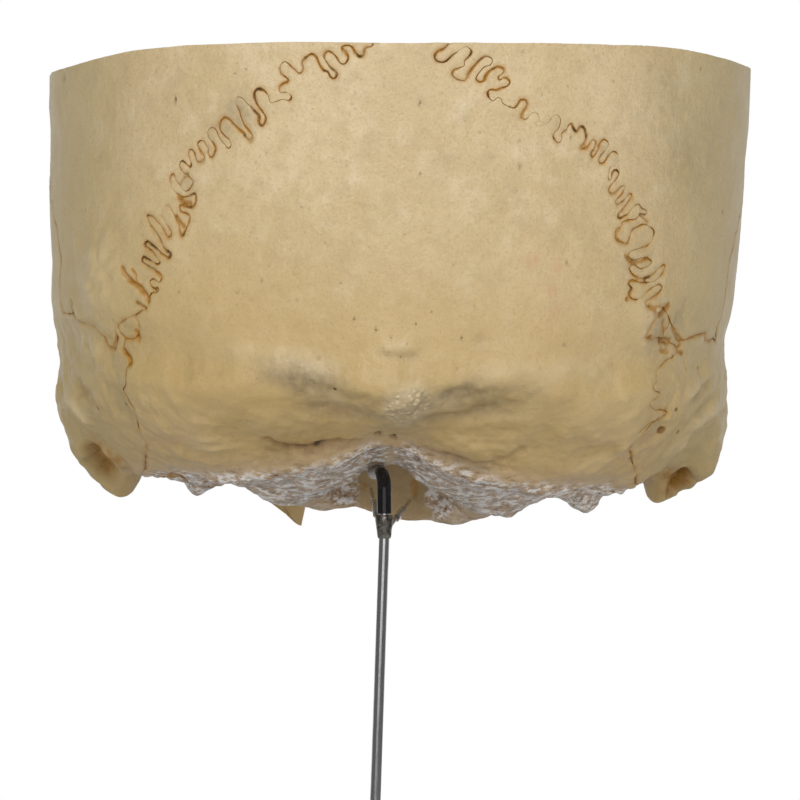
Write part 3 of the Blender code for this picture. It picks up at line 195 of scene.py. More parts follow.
# Sutures that the view doesn't show, in azimuth and dip of the right half
SEAM_DEGREES = {
    "coronal": ((47.6, 0), (48.1, 9.3), (48.6, 17.7)),
    "sphenoparietal": ((48.6, 17.7), (45, 22.4)),
    "squamosal": ((45, 22.4), (41, 17), (34, 12.5), (24, 10.5), (12, 11.5), (0, 15.5), (-12, 21),
                  (-19.5, 27), (-20, 33), (-21, 35.5)),
    "sphenosquamosal": ((45, 22.4), (46, 30.2), (48.4, 39.2), (50.2, 46.1), (53, 55), (58, 59.5),
                        (64.5, 60.8)),
    "sphenofrontal": ((48.6, 17.7), (54.1, 21.5), (59, 24.7), (62.8, 26), (68.4, 28.6), (75, 30),
                      (80, 30.5)),
    "ethmoid side": ((80, 30.5), (82.5, 24), (84, 17.8)),
    "torn hole front": ((64.5, 60.8), (71, 59.5), (79, 61.8)),
    "torn hole back": ((79, 61.8), (75.5, 63.6), (70, 64.5)),
    "torn hole side": ((70, 64.5), (65.8, 63.2), (64.5, 60.8)),
    "petro-occipital": ((70, 64.5), (54, 68), (36, 70.5)),
    "jugular lateral": ((36, 70.5), (26, 66.5), (14, 66), (4, 68.5)),
    "jugular medial": ((36, 70.5), (28, 72.3), (14, 71.8), (4, 68.5)),
}
TRACED_NAMES = ("lambdoid", "sutural medial", "sutural upper", "sutural lower", "parietomastoid",
                "occipitomastoid")

# Free processes: corners seen from the centre, as shares of half breadth, front length and depth
OUTER_PTERYGOID_SHARES = ((0.21, 0.475, -0.79), (0.28, 0.418, -0.79), (0.4, 0.38, -1.056),
                          (0.262, 0.475, -1.156))
INNER_PTERYGOID_SHARES = ((0.216, 0.466, -0.78), (0.17, 0.412, -0.785), (0.17, 0.437, -1.039),
                          (0.243, 0.467, -1.09))
SHORT_PLATE_SHARE = 0.62
CREST_SHARES = ((0, 0.558, -0.398), (0, 0.729, -0.398), (0, 0.71, -0.251), (0, 0.64, -0.203))
CHEEK_ARCH_SHARES = ((0.8, 0.19, -0.732), (0.905, 0.298, -0.732), (0.935, 0.393, -0.745),
                     (0.9, 0.482, -0.758))
STYLOID_SHARES = ((0.535, 0.125, -0.866), (0.507, 0.17, -1.017))
EAR_CANAL_LEAN_SHARES = (-1.0, 0.12, -0.05)
MIDLINE_SOFTNESS_SHARE = 0.10


# Sutures drawn through these pixels of the view
TRACED_PIXELS = {
    "left lambdoid": (
        (373, 41.9), (371.8, 46.3), (365.2, 47.9), (363.1, 55.2), (359.2, 56.5), (355.6, 52.9),
        (351.4, 46.6), (345.6, 45.3), (341.3, 47.9), (345.3, 52.4), (348.1, 57.4), (346.1, 62.5),
        (343.2, 64.3), (339.5, 62.3), (335.7, 56.5), (330.7, 51.9), (326.6, 51.6), (323.7, 56.2),
        (326.6, 62.3), (330.7, 67.8), (335.4, 71.5), (337, 75.1), (333.7, 78.6), (330.2, 76.9),
        (327.9, 72.1), (322.9, 69.8), (319.1, 64), (316.3, 57.4), (311.6, 54), (305.8, 57.4),
        (301.7, 62.3), (302.9, 68.5), (299.2, 73.4), (293.4, 69), (288.4, 64), (283.9, 61.5),
        (279.8, 66.8), (280.6, 73.4), (285.9, 77.3), (288.1, 81.1), (282.3, 83.9), (278.8, 88),
        (280.6, 92.7), (285.6, 92.2), (291.2, 96), (289.3, 100.5), (282.6, 99.3), (276.3, 101.3),
        (270.7, 102.6), (267.7, 95), (262.7, 90), (257.4, 89), (254.1, 93), (254.8, 99.7),
        (258.1, 106.6), (262.4, 112.1), (265.5, 118.2), (262.2, 125.7), (258.1, 122),
        (258.7, 116.2), (254.1, 110.8), (247.5, 103.8), (241.5, 97.7), (237, 97.2), (234.9, 102.1),
        (238.2, 109.6), (241.2, 117.9), (244.8, 126.2), (248.1, 130.3), (251.8, 136.1),
        (249.8, 140.6), (245.8, 138.1), (243.2, 133.2), (238.3, 129.5), (232.5, 123.7),
        (228.2, 119.2), (223.9, 117.6), (219.9, 122.5), (219.6, 129.2), (223.7, 135.3),
        (228.2, 139.1), (230.7, 145.3), (227.9, 148.4), (223.7, 143.6), (218.9, 137), (216, 130),
        (211.3, 127.5), (207.8, 131.2), (208.8, 137.5), (213, 143.6), (215, 149.7), (211.6, 157.4),
        (208.3, 155.2), (207.7, 148.6), (203.8, 141.9), (200, 140.8), (197.2, 144.4),
        (199.7, 151.1), (203.3, 156.9), (201.4, 161.3), (197.2, 162.3), (194.7, 157.7),
        (193.4, 151.9), (189.4, 149.7), (187.8, 155.7), (190.7, 162.7), (189.8, 167.3),
        (184.8, 162.7), (181, 161), (179.5, 166.3), (183.1, 173), (188.9, 177.3), (192.2, 182.1),
        (190.2, 187.9), (185.6, 191.4), (180.3, 186.4), (175.5, 180.1), (173.2, 174.6),
        (169.9, 176.3), (169.9, 183.4), (174, 191.2), (180.6, 197.2), (188.1, 196.3),
        (194.4, 193.8), (195.6, 200), (193.4, 206.1), (188.1, 207.4), (183.4, 205.5),
        (179.1, 206.1), (180.8, 211.6), (186.1, 213.7), (189.4, 216.6), (188.1, 223.2),
        (184.4, 231.5), (181, 236.1), (177.1, 224), (173.2, 213.3), (167.4, 205), (162.7, 209.9),
        (161.9, 216.6), (166.5, 225.7), (170.5, 233.6), (167.9, 237.8), (163.5, 231.5),
        (158.6, 223.2), (151.6, 216.6), (147, 216.1), (149.6, 224), (156.3, 233.5), (161.2, 243.1),
        (164.9, 249.2), (170.2, 253.9), (168.2, 258), (162.4, 254.2), (155.8, 248.1),
        (147.5, 241.9), (144.6, 245.6), (151.6, 251.4), (156.6, 257.5), (159.9, 262.5),
        (155.8, 264.2), (149.1, 259.7), (143.3, 256.9), (142, 260.8), (149.1, 266.8),
        (154.9, 271.3), (160.7, 276.3), (159.6, 282.1), (156.1, 280.9), (152.9, 279.1),
        (149.3, 282.1), (152.1, 287.1), (157, 289.8), (156.1, 292.9), (152.1, 292.9), (149.3, 297),
        (148.2, 303.2), (147.1, 308.6), (141.8, 310.4), (137.3, 313.9), (132, 316.1),
    ),
    "right lambdoid": (
        (449.5, 41.9), (444.9, 47.9), (437.4, 51.6), (434.6, 56.9), (437.4, 61.2), (444.9, 61.8),
        (453.2, 54.7), (464.4, 47.1), (468.4, 47.4), (471.7, 51.6), (468.6, 56.9), (464.4, 61),
        (464.4, 65.3), (459.5, 67.8), (454, 70.3), (452.3, 74.4), (455.7, 78.4), (461.8, 80.6),
        (466.4, 79.1), (469.3, 72.8), (474.7, 65.7), (481.4, 59), (487.2, 56.2), (492.5, 59.5),
        (490.5, 64.8), (485.2, 66.5), (480.5, 71), (476.1, 78.1), (478.9, 81.7), (483.8, 81.1),
        (486, 76.1), (490.5, 70.6), (498.8, 66.8), (504.6, 69.8), (502.9, 74.4), (498.6, 76.4),
        (499.6, 80.1), (505.2, 77.3), (510.2, 81.4), (507.9, 85.9), (502.1, 88), (496.3, 90),
        (490.5, 89.7), (487.7, 93.3), (489.7, 98.3), (493.3, 101), (497.6, 97.5), (501.6, 99.3),
        (502.9, 103.3), (509.6, 106.8), (514.9, 107.9), (517.8, 105), (520.7, 100.5), (526.1, 100),
        (527.5, 106.3), (523.6, 111.6), (521.5, 117.4), (525.8, 119.6), (530.3, 114.9),
        (534.8, 112.1), (539.1, 116.2), (538.4, 120.9), (535.1, 123.2), (539.4, 125.9),
        (547.7, 122.9), (553, 116.2), (557.3, 114.9), (560.6, 119.6), (559, 127.5), (555.2, 132),
        (553.2, 136.1), (555.7, 140.8), (559.6, 142.8), (562.3, 138.6), (562, 134.1),
        (566.8, 130.3), (568.8, 125.7), (572.1, 123.7), (574.2, 129.2), (577.5, 131.5),
        (580.9, 127), (584.2, 127.8), (586.2, 132.8), (586.7, 138.6), (584.7, 144.4),
        (581.2, 148.1), (587.5, 147.7), (591.3, 143.1), (594.5, 139.8), (596.8, 143.6),
        (594.5, 149.4), (591.6, 153.5), (593.3, 157.4), (598.3, 150.7), (601.1, 143.1),
        (604.9, 139.5), (608.7, 143.6), (606.1, 149.7), (602.8, 154), (599.6, 160.2),
        (601.1, 163.7), (604.9, 162.2), (608.4, 156.4), (612.4, 151.9), (617.3, 153.1),
        (618.3, 159.4), (615.4, 164.7), (610.7, 167.3), (608.7, 173), (608.4, 178.4), (611, 180.1),
        (612.4, 173), (615.7, 170.1), (619, 172.6), (617.3, 177.9), (613.7, 182.9), (610.4, 187.5),
        (609.9, 192.2), (613.2, 194.2), (617.3, 192), (621.5, 186.7), (625.3, 186.2),
        (623.3, 192.9), (619.8, 197.5), (616.7, 202.1), (619, 205), (624, 200.8), (629.3, 194.2),
        (632.6, 195.8), (629.3, 202.5), (624.3, 209.1), (619, 214.4), (619.5, 218.7),
        (624.3, 216.6), (629.3, 213.3), (633.9, 207.1), (638.6, 204.1), (642.2, 208.3),
        (646.9, 210.8), (645.9, 214.4), (639.7, 215.4), (635.6, 219.1), (629.3, 220.4),
        (623.2, 222.4), (622.3, 227), (617.7, 231), (617, 238.6), (622, 242.6), (627.3, 243.9),
        (630, 238.1), (632.3, 230.7), (637.2, 227.3), (643.9, 224.4), (649.7, 226.5),
        (654.2, 231.5), (652.5, 239.3), (647.5, 245.6), (639.7, 248.6), (632.3, 250.6),
        (628.6, 255.9), (633.9, 260.8), (641.4, 258), (649.7, 259.7), (652.2, 262.5),
        (647.5, 266.3), (640.6, 268.8), (633.9, 264.7), (630, 268.8), (633.9, 275.4),
        (642.2, 278.8), (652.2, 275.4), (658.8, 268.8), (664.6, 265.2), (665.4, 268.8),
        (660.8, 276.3), (653.8, 281.2), (642.2, 282.9), (633.1, 280.7), (629.3, 283.7),
        (632.3, 288.7), (632.9, 289.2), (629.9, 293), (631.4, 298.4), (636.8, 299.6),
        (642.1, 296.8), (650.5, 289.2), (659, 284.6), (662.5, 287.7), (658.2, 293.8),
        (650.5, 298.4), (644.4, 301.7), (645.9, 306.3), (652.1, 305.3), (656, 306),
    ),
    "right sutural upper": (
        (656, 306), (660.5, 306.3), (664.3, 309.1), (667.4, 314.5), (670, 320),
    ),
    "right sutural medial": (
        (656, 306), (654.4, 311.4), (653.9, 316.8), (649, 323.2), (645.9, 331.3), (645.2, 337),
        (651.3, 338.5), (657, 337.4), (662, 340),
    ),
    "right sutural lower": (
        (670, 320), (668.5, 325.9), (664.3, 331.3), (663.1, 336.4), (662, 340),
    ),
    "right parietomastoid": (
        (670, 320), (673.2, 327.8), (677, 333.6), (679.9, 339.4), (684.2, 340.3), (689.6, 338.2),
        (694.9, 337), (700.3, 334.8), (705.7, 335.1), (706, 340.6), (710, 342), (713.3, 339),
        (716.1, 340.9),
    ),
    "right occipitomastoid": (
        (662, 340), (668.9, 342.5), (675.3, 345.8), (676.6, 351.2), (672.7, 356.6), (666.2, 360.9),
        (661.6, 365.5), (658.2, 368.1), (656.4, 373.4), (657.1, 380.3), (653.6, 385.7),
        (654.8, 390.6), (660.2, 393), (657, 397.9), (651.3, 401.7), (650.5, 405.9), (655.4, 409.9),
        (660.6, 409.6), (666.2, 411.4), (666.2, 415.1), (661.3, 418.1), (653.6, 422.7),
        (647.8, 427.8), (640.1, 436.5), (632.5, 446.2), (630.6, 453.8), (632.6, 463),
    ),
    "left sutural upper": (
        (132, 316.1), (125.4, 319.3), (118.9, 325),
    ),
    "left sutural medial": (
        (132, 316.1), (137.3, 319.6), (139.3, 327.3), (138.6, 334.5), (133.8, 338.6), (126.1, 338),
    ),
    "left sutural lower": (
        (118.9, 325), (120.4, 330.9), (126.1, 338),
    ),
    "left parietomastoid": (
        (118.9, 325), (116.4, 330.9), (117.9, 338), (114.1, 346.1), (109.6, 348.2), (106.4, 344.3),
        (105.2, 337.5), (102.1, 333.2), (95.4, 326.8), (89.6, 324.3), (83.8, 322), (77.9, 319.3),
        (73.9, 312.5), (71.8, 313.9),
    ),
    "left occipitomastoid": (
        (126.1, 338), (124.6, 345.2), (125.7, 351.4), (129.8, 356.4), (131.1, 363), (126.8, 367.9),
        (125.4, 378.2), (125.7, 385), (122.7, 390.7), (127, 396.4), (130.2, 402.3), (135.5, 408.6),
        (137, 419.3), (139.5, 428.2), (145.7, 440.7), (147.1, 451.4), (150.4, 462.1),
    ),
}

# Azimuth at which the frontal bone ends at the saw cut
FRONTAL_END = 47.6

# Rest of a drawn suture, in azimuth and dip of the right half
TAIL_DEGREES = {
    "parietomastoid": ((-21, 35.5),),
    "occipitomastoid": ((-30, 58), (-18, 62.5), (-7, 66), (4, 68.5)),
}

# Teeth of the sutures that aren't drawn: half width, wave length and loop share, in millimetres
WAVES_MM = {
    "coronal": (1.15, 4.3, 0.42),
    "sphenoparietal": (0.35, 3.8, 0.2),
    "squamosal": (0.45, 6.5, 0.1),
    "sphenosquamosal": (0.4, 4.6, 0.2),
    "sphenofrontal": (0.35, 3.9, 0.2),
    "petro-occipital": (0.25, 4.4, 0.1),
}

# Cracks and stained lines: pixels, half width and depth in millimetres, orange and brown shares.
# A brown share near 1, as in the two small holes of the first rows, paints the shade inside black,
# and the brown of the two long lines of the last rows is partly painted shade of their step
CRACKS = (
    (((378, 431.5), (378, 436)), 0.50, 1.5, 0.0, 1.0),
    (((393.5, 436), (393.5, 439.5)), 0.40, 1.2, 0.0, 1.0),
    (((123, 268), (127, 276), (131, 281), (137, 285), (141, 289), (145, 295), (147.5, 300)), 0.50,
     0.75, 1.0, 0.25),
    (((132.5, 270), (135, 274), (136.5, 281)), 0.30, 0.35, 0.9, 0.0),
    (((137, 302.5), (141, 304.5), (146, 307.5)), 0.35, 0.4, 0.8, 0.6),
    (((72.5, 303), (72, 308), (73.5, 312)), 0.45, 0.5, 0.3, 0.9),
    (((118, 337), (116, 343), (113, 348)), 0.55, 0.35, 0.9, 0.1),
    (((125, 351), (129, 356), (131, 363)), 0.5, 0.45, 1.0, 0.2),
    (((137, 331), (139, 337)), 0.5, 0.4, 1.0, 0.0),
    (((668, 305), (664, 310), (657, 314)), 0.6, 0.55, 0.9, 0.45),
    (((648, 307), (653, 309)), 0.5, 0.4, 0.8, 0.3),
    (((662, 320), (663.5, 330)), 0.35, 0.3, 0.6, 0.1),
    (((660, 341), (669, 340)), 0.5, 0.5, 0.8, 0.7),
    (((677, 337), (681, 343), (677, 350), (683, 354)), 0.35, 0.4, 0.9, 0.2),
    (((661, 351), (668, 352.5)), 0.35, 0.3, 0.8, 0.0),
    (((640, 214), (648, 222)), 0.3, 0.25, 0.5, 0.3),
    (((632, 262), (640, 262), (648, 258)), 0.28, 0.25, 0.6, 0.2),
    (((176, 216), (180, 222), (183, 226)), 0.4, 0.35, 0.9, 0.3),
    (((178, 197), (184, 203), (190, 204)), 0.45, 0.4, 1.0, 0.5),
    (((188, 173), (183, 178), (180, 184)), 0.3, 0.25, 0.4, 0.3),
    (((639, 430), (650, 423), (660, 420)), 0.3, 0.25, 0.6, 0.1),
    (((693, 430), (700, 426), (708, 418)), 0.45, 0.4, 0.35, 0.1),
    (((626, 256), (630, 262)), 0.3, 0.3, 0.7, 0.2),
    (((267, 439.5), (282, 446.5), (295, 449.5), (310, 450.5), (325, 446.5), (341, 443.5),
     (357, 441.5)), 0.95, 0.9, 0.20, 0.42),
    (((413, 449.5), (430, 453), (445, 459), (462, 463), (480, 466), (495, 463), (510, 456),
     (520, 449)), 0.95, 0.8, 0.12, 0.28),
)

# Pits: pixel, radius and depth in millimetres, orange and brown shares; a brown share near 1 paints
# the shade inside the pit black
PITS = (
    ((334, 391), 0.34, 0.7, 0.1, 0.7), ((354, 319), 0.20, 0.4, 0.2, 0.7),
    ((376, 330), 0.20, 0.4, 0.2, 0.7), ((416, 324), 0.18, 0.4, 0.2, 0.7),
    ((462, 338), 0.20, 0.4, 0.2, 0.7), ((391, 338), 0.16, 0.3, 0.2, 0.6),
    ((407, 344), 0.16, 0.3, 0.2, 0.6), ((401, 357), 0.16, 0.3, 0.2, 0.6),
    ((432, 312), 0.16, 0.3, 0.2, 0.6), ((420, 103), 0.20, 0.25, 0.1, 0.8),
    ((420, 174), 0.17, 0.2, 0.2, 0.6), ((520, 167), 0.20, 0.2, 0.1, 0.7),
    ((517, 191), 0.18, 0.2, 0.1, 0.6), ((510, 107), 0.16, 0.2, 0.2, 0.5),
    ((176, 99), 0.24, 0.3, 0.0, 1.0), ((246, 69), 0.16, 0.2, 0.4, 0.4),
    ((700, 69), 0.20, 0.2, 0.1, 0.8), ((567, 262), 0.18, 0.2, 0.2, 0.8),
    ((262, 281), 0.18, 0.2, 0.1, 0.6), ((542, 95), 0.16, 0.2, 0.2, 0.5),
    ((571, 137), 0.2, 0.3, 0.1, 0.7), ((662, 431), 0.75, 1.3, 0.9, 0.8),
    ((674, 409), 0.40, 0.8, 0.5, 0.9), ((679, 433), 0.40, 0.5, 0.7, 0.6),
    ((700, 368), 0.36, 0.6, 0.5, 0.8), ((97, 407), 0.55, 0.9, 0.9, 0.5),
    ((125, 405), 0.4, 0.5, 0.3, 0.7), ((157, 289), 0.45, 0.5, 0.9, 0.6),
    ((627, 299), 0.45, 0.5, 1.0, 0.2), ((648, 336), 0.4, 0.5, 0.9, 0.4),
    ((686, 369), 0.2, 0.2, 0.6, 0.5),
)

# Soft relief of the back: pixels, half width and height in millimetres, and shares of orange,
# brown, grey and pale
# On sunken swells the brown and grey are partly stain and partly painted shade; on raised swells
# the paler share is a painted highlight
SWELLS = (
    (((240, 367), (262, 375), (285, 381), (308, 385), (345, 392)), 2.9, -0.55, 0.05, 0.30, 0.35,
     0.0),
    (((290, 402), (330, 411), (352, 416), (380, 420)), 2.6, -0.6, 0.05, 0.32, 0.30, 0.0),
    (((403, 428), (422, 424), (442, 421), (465, 418), (490, 412), (512, 407), (534, 400)), 1.9,
     -0.60, 0.05, 0.30, 0.45, 0.0),
    (((440, 404), (463, 392), (484, 378)), 1.9, -0.45, 0.0, 0.25, 0.3, 0.0),
    (((450, 408), (505, 395), (560, 392)), 3.2, -0.35, 0.0, 0.15, 0.4, 0.0),
    (((246, 448), (264, 452), (281, 454), (302, 452), (322, 448), (340, 446), (354, 444)), 2.2,
     -0.55, 0.1, 0.35, 0.15, 0.0),
    (((424, 454), (444, 456), (464, 467), (485, 473), (509, 475)), 2.2, -0.6, 0.05, 0.3, 0.15, 0.0),
    (((258, 358), (285, 366), (310, 372), (332, 377)), 2.6, 0.35, 0.0, 0.0, 0.0, 0.35),
    (((300, 396), (325, 400), (352, 404)), 2.6, 0.35, 0.0, 0.0, 0.0, 0.3),
    (((420, 408), (445, 406), (470, 402)), 2.8, 0.35, 0.0, 0.0, 0.0, 0.3),
    (((398, 402), (408, 408), (420, 411)), 4.0, 0.55, 0.0, 0.0, 0.0, 0.9),
    (((373, 350), (385, 354.5), (398, 356), (412, 354), (424, 348)), 0.8, -0.28, 0.0, 0.35, 0.2,
     0.0),
    (((376, 344), (398, 349), (421, 342)), 1.6, 0.25, 0.0, 0.0, 0.0, 0.3),
    (((481, 342),), 1.7, -0.35, 0.1, 0.25, 0.0, 0.0),
    (((74, 387), (85, 395), (98, 408)), 2.0, -0.85, 0.25, 0.1, 0.2, 0.0),
    (((66, 396), (80, 408), (95, 424)), 2.6, 0.75, 0.0, 0.0, 0.0, 0.5),
    (((112, 380), (116, 400), (122, 420)), 3.2, -0.5, 0.0, 0.1, 0.25, 0.0),
    (((98, 284),), 7.5, 1.0, 0.0, 0.0, 0.0, 0.3),
    (((78, 335), (94, 345), (104, 356)), 3.0, 0.5, 0.05, 0.0, 0.0, 0.2),
    (((713, 377), (700, 392), (685, 405)), 1.0, -0.4, 0.1, 0.1, 0.0, 0.0),
    (((716, 391), (704, 406), (690, 418)), 1.0, -0.45, 0.1, 0.1, 0.0, 0.0),
    (((704, 378), (692, 391), (680, 399)), 1.4, 0.45, 0.0, 0.0, 0.0, 0.4),
    (((716, 402), (702, 418), (684, 430)), 2.2, 0.6, 0.0, 0.0, 0.0, 0.4),
    (((690, 436), (676, 446), (664, 452)), 2.4, 0.5, 0.0, 0.0, 0.0, 0.3),
    (((668, 424), (655, 434), (648, 446)), 3.0, -0.6, 0.1, 0.15, 0.2, 0.0),
    (((648, 318),), 4.0, 0.5, 0.0, 0.0, 0.0, 0.3),
    (((690, 316), (672, 326)), 3.0, -0.35, 0.0, 0.1, 0.35, 0.0),
    (((590, 455), (600, 470)), 5.0, 0.5, 0.1, 0.0, 0.0, 0.2),
    (((205, 430), (215, 450)), 5.0, 0.5, 0.1, 0.0, 0.0, 0.2),
    (((170, 470), (180, 482)), 2.0, -0.5, 0.3, 0.5, 0.0, 0.0),
    (((300, 397), (350, 402), (400, 402), (450, 401), (505, 392)), 5.5, -0.75, 0.0, 0.05, 0.12,
     0.0),
    (((128, 412), (180, 424), (228, 424)), 6.5, 0.9, 0.0, 0.0, 0.0, 0.15),
    (((556, 424), (610, 425), (652, 414)), 6.5, 0.9, 0.0, 0.0, 0.0, 0.15),
    (((366, 397), (330, 377), (285, 362), (235, 350), (185, 343)), 2.2, 0.35, 0.0, 0.0, 0.0, 0.2),
    (((436, 398), (475, 384), (520, 372), (570, 368), (620, 372)), 2.2, 0.3, 0.0, 0.0, 0.0, 0.2),
    (((250, 428), (290, 425), (335, 424)), 3.6, 0.5, 0.0, 0.0, 0.0, 0.1),
    (((440, 436), (485, 440), (540, 436)), 3.8, 0.5, 0.0, 0.0, 0.0, 0.1),
    (((160, 372), (200, 366), (235, 372)), 4.5, -0.5, 0.0, 0.05, 0.1, 0.0),
    (((565, 384), (600, 390), (632, 386)), 4.5, -0.5, 0.0, 0.05, 0.1, 0.0),
    (((92, 440), (99, 458), (106, 474), (112, 490)), 2.6, -2.4, 0.55, 0.40, 0.0, 0.0),
    (((97, 440), (110, 450), (124, 463), (136, 473)), 1.1, 0.6, 0.0, 0.0, 0.0, 0.2),
    (((683, 466), (678, 480), (673, 494), (670, 500)), 2.0, -1.9, 0.5, 0.3, 0.0, 0.0),
    (((684, 463), (673, 474), (661, 484)), 1.0, 0.4, 0.0, 0.0, 0.0, 0.2),
)

# Soft patches of colour: pixel, radius in millimetres, orange, brown, grey and red shares
PATCHES = (
    # The first five patches, grey and brown, paint the shade of the sunken band below the upper
    # nuchal lines
    ((300, 382), 4.2, 0.0, 0.30, 0.60, 0.0), ((335, 391), 3.2, 0.0, 0.26, 0.50, 0.0),
    ((440, 404), 3.6, 0.0, 0.26, 0.50, 0.0), ((474, 399), 3.8, 0.0, 0.22, 0.50, 0.0),
    ((372, 415), 3.4, 0.0, 0.24, 0.40, 0.0), ((402, 422), 6.0, 0.0, 0.30, 0.35, 0.0),
    ((655, 335), 5.0, 0.05, 0.16, 0.30, 0.0), ((523, 236), 0.7, 0.0, 0.0, 0.0, 0.7),
    ((530, 262), 1.1, 0.0, 0.0, 0.0, 0.8), ((558, 267), 1.0, 0.0, 0.0, 0.0, 0.8),
    ((551, 291), 1.2, 0.0, 0.0, 0.0, 0.6), ((555, 310), 1.3, 0.0, 0.0, 0.0, 0.5),
    ((536, 258), 1.0, 0.0, 0.0, 0.0, 0.5), ((64, 79), 1.1, 0.3, 0.5, 0.0, 0.0),
    ((690, 150), 9.0, 0.0, 0.15, 0.35, 0.0), ((665, 90), 6.0, 0.0, 0.1, 0.3, 0.0),
    ((236, 108), 2.6, 0.0, 0.1, 0.7, 0.0), ((222, 128), 2.6, 0.0, 0.1, 0.6, 0.0),
    ((250, 117), 2.6, 0.0, 0.1, 0.6, 0.0), ((600, 150), 2.2, 0.0, 0.1, 0.5, 0.0),
    ((190, 185), 2.2, 0.0, 0.1, 0.4, 0.0), ((638, 262), 4.0, 0.1, 0.1, 0.3, 0.0),
    ((154, 262), 3.0, 0.25, 0.1, 0.1, 0.0), ((140, 340), 5.0, 0.2, 0.1, 0.1, 0.0),
    ((658, 330), 4.0, 0.15, 0.1, 0.2, 0.0), ((112, 455), 6.0, 0.55, 0.35, 0.0, 0.0),
    ((676, 480), 5.0, 0.55, 0.35, 0.0, 0.0), ((165, 440), 7.0, 0.1, 0.2, 0.0, 0.0),
    ((300, 440), 9.0, 0.15, 0.2, 0.0, 0.0), ((420, 440), 7.0, 0.1, 0.15, 0.1, 0.0),
    ((560, 300), 8.0, 0.1, 0.0, 0.0, 0.1),
)
# Places where the stain of a suture fades: pixel and reach in pixels
SEAM_LOW_PLACES = (
    ((276, 101), 14), ((240, 105), 3), ((510, 107), 7), ((545, 124), 8), ((372, 48), 4),
    ((600, 172), 3), ((168, 222), 4), ((135, 330), 6),
)
# Strength of the soft relief, and the granular knob in the middle of the back
RELIEF_SHARE = 1.5
GRANULAR_PIXEL = (407, 410)
GRANULAR_REACH_MM = 7.5

# Grooves of the inner face: azimuth and dip, half width and depth in millimetres
INNER_GROOVES = (
    (((-90, 0), (-90, 14), (-90, 30), (-88, 38)), 3.2, 0.9),
    (((-88, 39), (-70, 37), (-50, 37), (-33, 38), (-22, 41), (-12, 46), (0, 54), (10, 60)), 3.4,
     1.1),
    (((-92, 39), (-110, 37), (-130, 37), (-147, 38), (-158, 41), (-168, 46), (180, 54), (170, 60)),
     3.2, 1.0),
    (((44, 40), (38, 30), (30, 20), (22, 9), (14, 0)), 0.9, 0.6),
    (((36, 27), (24, 24), (10, 17), (0, 8), (-6, 0)), 0.7, 0.45),
    (((30, 20), (33, 10), (34, 1)), 0.6, 0.4),
    (((136, 40), (142, 30), (150, 20), (158, 9), (166, 0)), 0.9, 0.6),
    (((144, 27), (156, 24), (170, 17), (180, 8), (186, 0)), 0.7, 0.45),
    (((150, 20), (147, 10), (146, 1)), 0.6, 0.4),
)


def smooth_step(low, high, value):
    """Rise from 0 at low to 1 at high, level at both ends."""
    share = np.clip((value - low) / (high - low), 0.0, 1.0)
    return share * share * (3.0 - 2.0 * share)


def smooth_least(first, second, softness):
    """The lesser of two values, rounded where they cross."""
    share = np.clip(0.5 + 0.5 * (second - first) / softness, 0.0, 1.0)
    return second * (1.0 - share) + first * share - softness * share * (1.0 - share)


def curve_value(value, places, heights):
    """A smooth curve through a table of heights."""
    places = np.asarray(places, float)
    heights = np.asarray(heights, float)
    slopes = np.gradient(heights, places)
    slopes[0] = 0.0
    slopes[-1] = 0.0
    value = np.clip(value, places[0], places[-1])
    left = np.clip(np.searchsorted(places, value) - 1, 0, len(places) - 2)
    run = places[left + 1] - places[left]
    t = (value - places[left]) / run
    rise = ((2 * t ** 3 - 3 * t ** 2 + 1) * heights[left]
            + (3 * t ** 2 - 2 * t ** 3) * heights[left + 1])
    lean = (t ** 3 - 2 * t ** 2 + t) * slopes[left] + (t ** 3 - t ** 2) * slopes[left + 1]
    return rise + lean * run


def ray_directions(az, dip):
    """Unit vectors from the centre of the saw cut."""
    return np.stack((np.cos(dip) * np.cos(az), np.cos(dip) * np.sin(az), -np.sin(dip)), axis=-1)


def bowl_distance(az, dip, wall, floor_shares, centre_shares, centre_dips, roof_share):
    """How far the plain bowl lies from the centre along each ray."""
    along = np.degrees(np.arctan2(np.sin(az), np.abs(np.cos(az))))
    front = np.sin(az) > 0.0
    ahead = np.where(front, FRONT_LENGTH, BACK_LENGTH) - wall
    plan_power = np.where(front, PLAN_FRONT_POWER_SHARE, PLAN_BACK_POWER_SHARE)
    side_part = (np.abs(np.cos(az)) / (HALF_BREADTH - wall)) ** plan_power
    reach = (side_part + (np.abs(np.sin(az)) / ahead) ** plan_power) ** (-1.0 / plan_power)
    floor = curve_value(along, OUTER_FLOOR_DEGREES, floor_shares)
    centre = curve_value(along, OUTER_FLOOR_DEGREES, centre_shares)
    floor = floor + (centre - floor) * smooth_step(*centre_dips, np.degrees(dip))
    step_dip = curve_value(along, STEP_DEGREES, STEP_DIPS)
    at_front = smooth_step(*ROOF_START_DEGREES, along)
    below_step = smooth_step(step_dip, step_dip + STEP_SOFT_DEGREES, np.degrees(dip))
    over_orbit = at_front * (1.0 - below_step)
    low_face = curve_value(along, LOW_FACE_DEGREES, LOW_FACE_SHARES) * FRONT_LENGTH - wall
    near_step = smooth_step(step_dip - STEP_SOFT_DEGREES, step_dip, np.degrees(dip))
    reach = reach + (low_face - reach) * at_front * near_step
    floor = floor + (roof_share - floor) * over_orbit
    power = WALL_POWER_SHARE + (BROW_POWER_SHARE - WALL_POWER_SHARE) * at_front
    level = (np.cos(dip) / reach) ** power
    return (level + (np.abs(np.sin(dip)) / (floor * BASE_DEPTH)) ** power) ** (-1.0 / power)


def outer_bowl(az, dip):
    """Points of the plain outer bowl, before its relief."""
    far = bowl_distance(az, dip, 0.0, OUTER_FLOOR_SHARES, OUTER_CENTRE_SHARES, OUTER_CENTRE_DIPS,
                        ORBIT_ROOF_SHARE)
    return ray_directions(az, dip) * far[..., None]


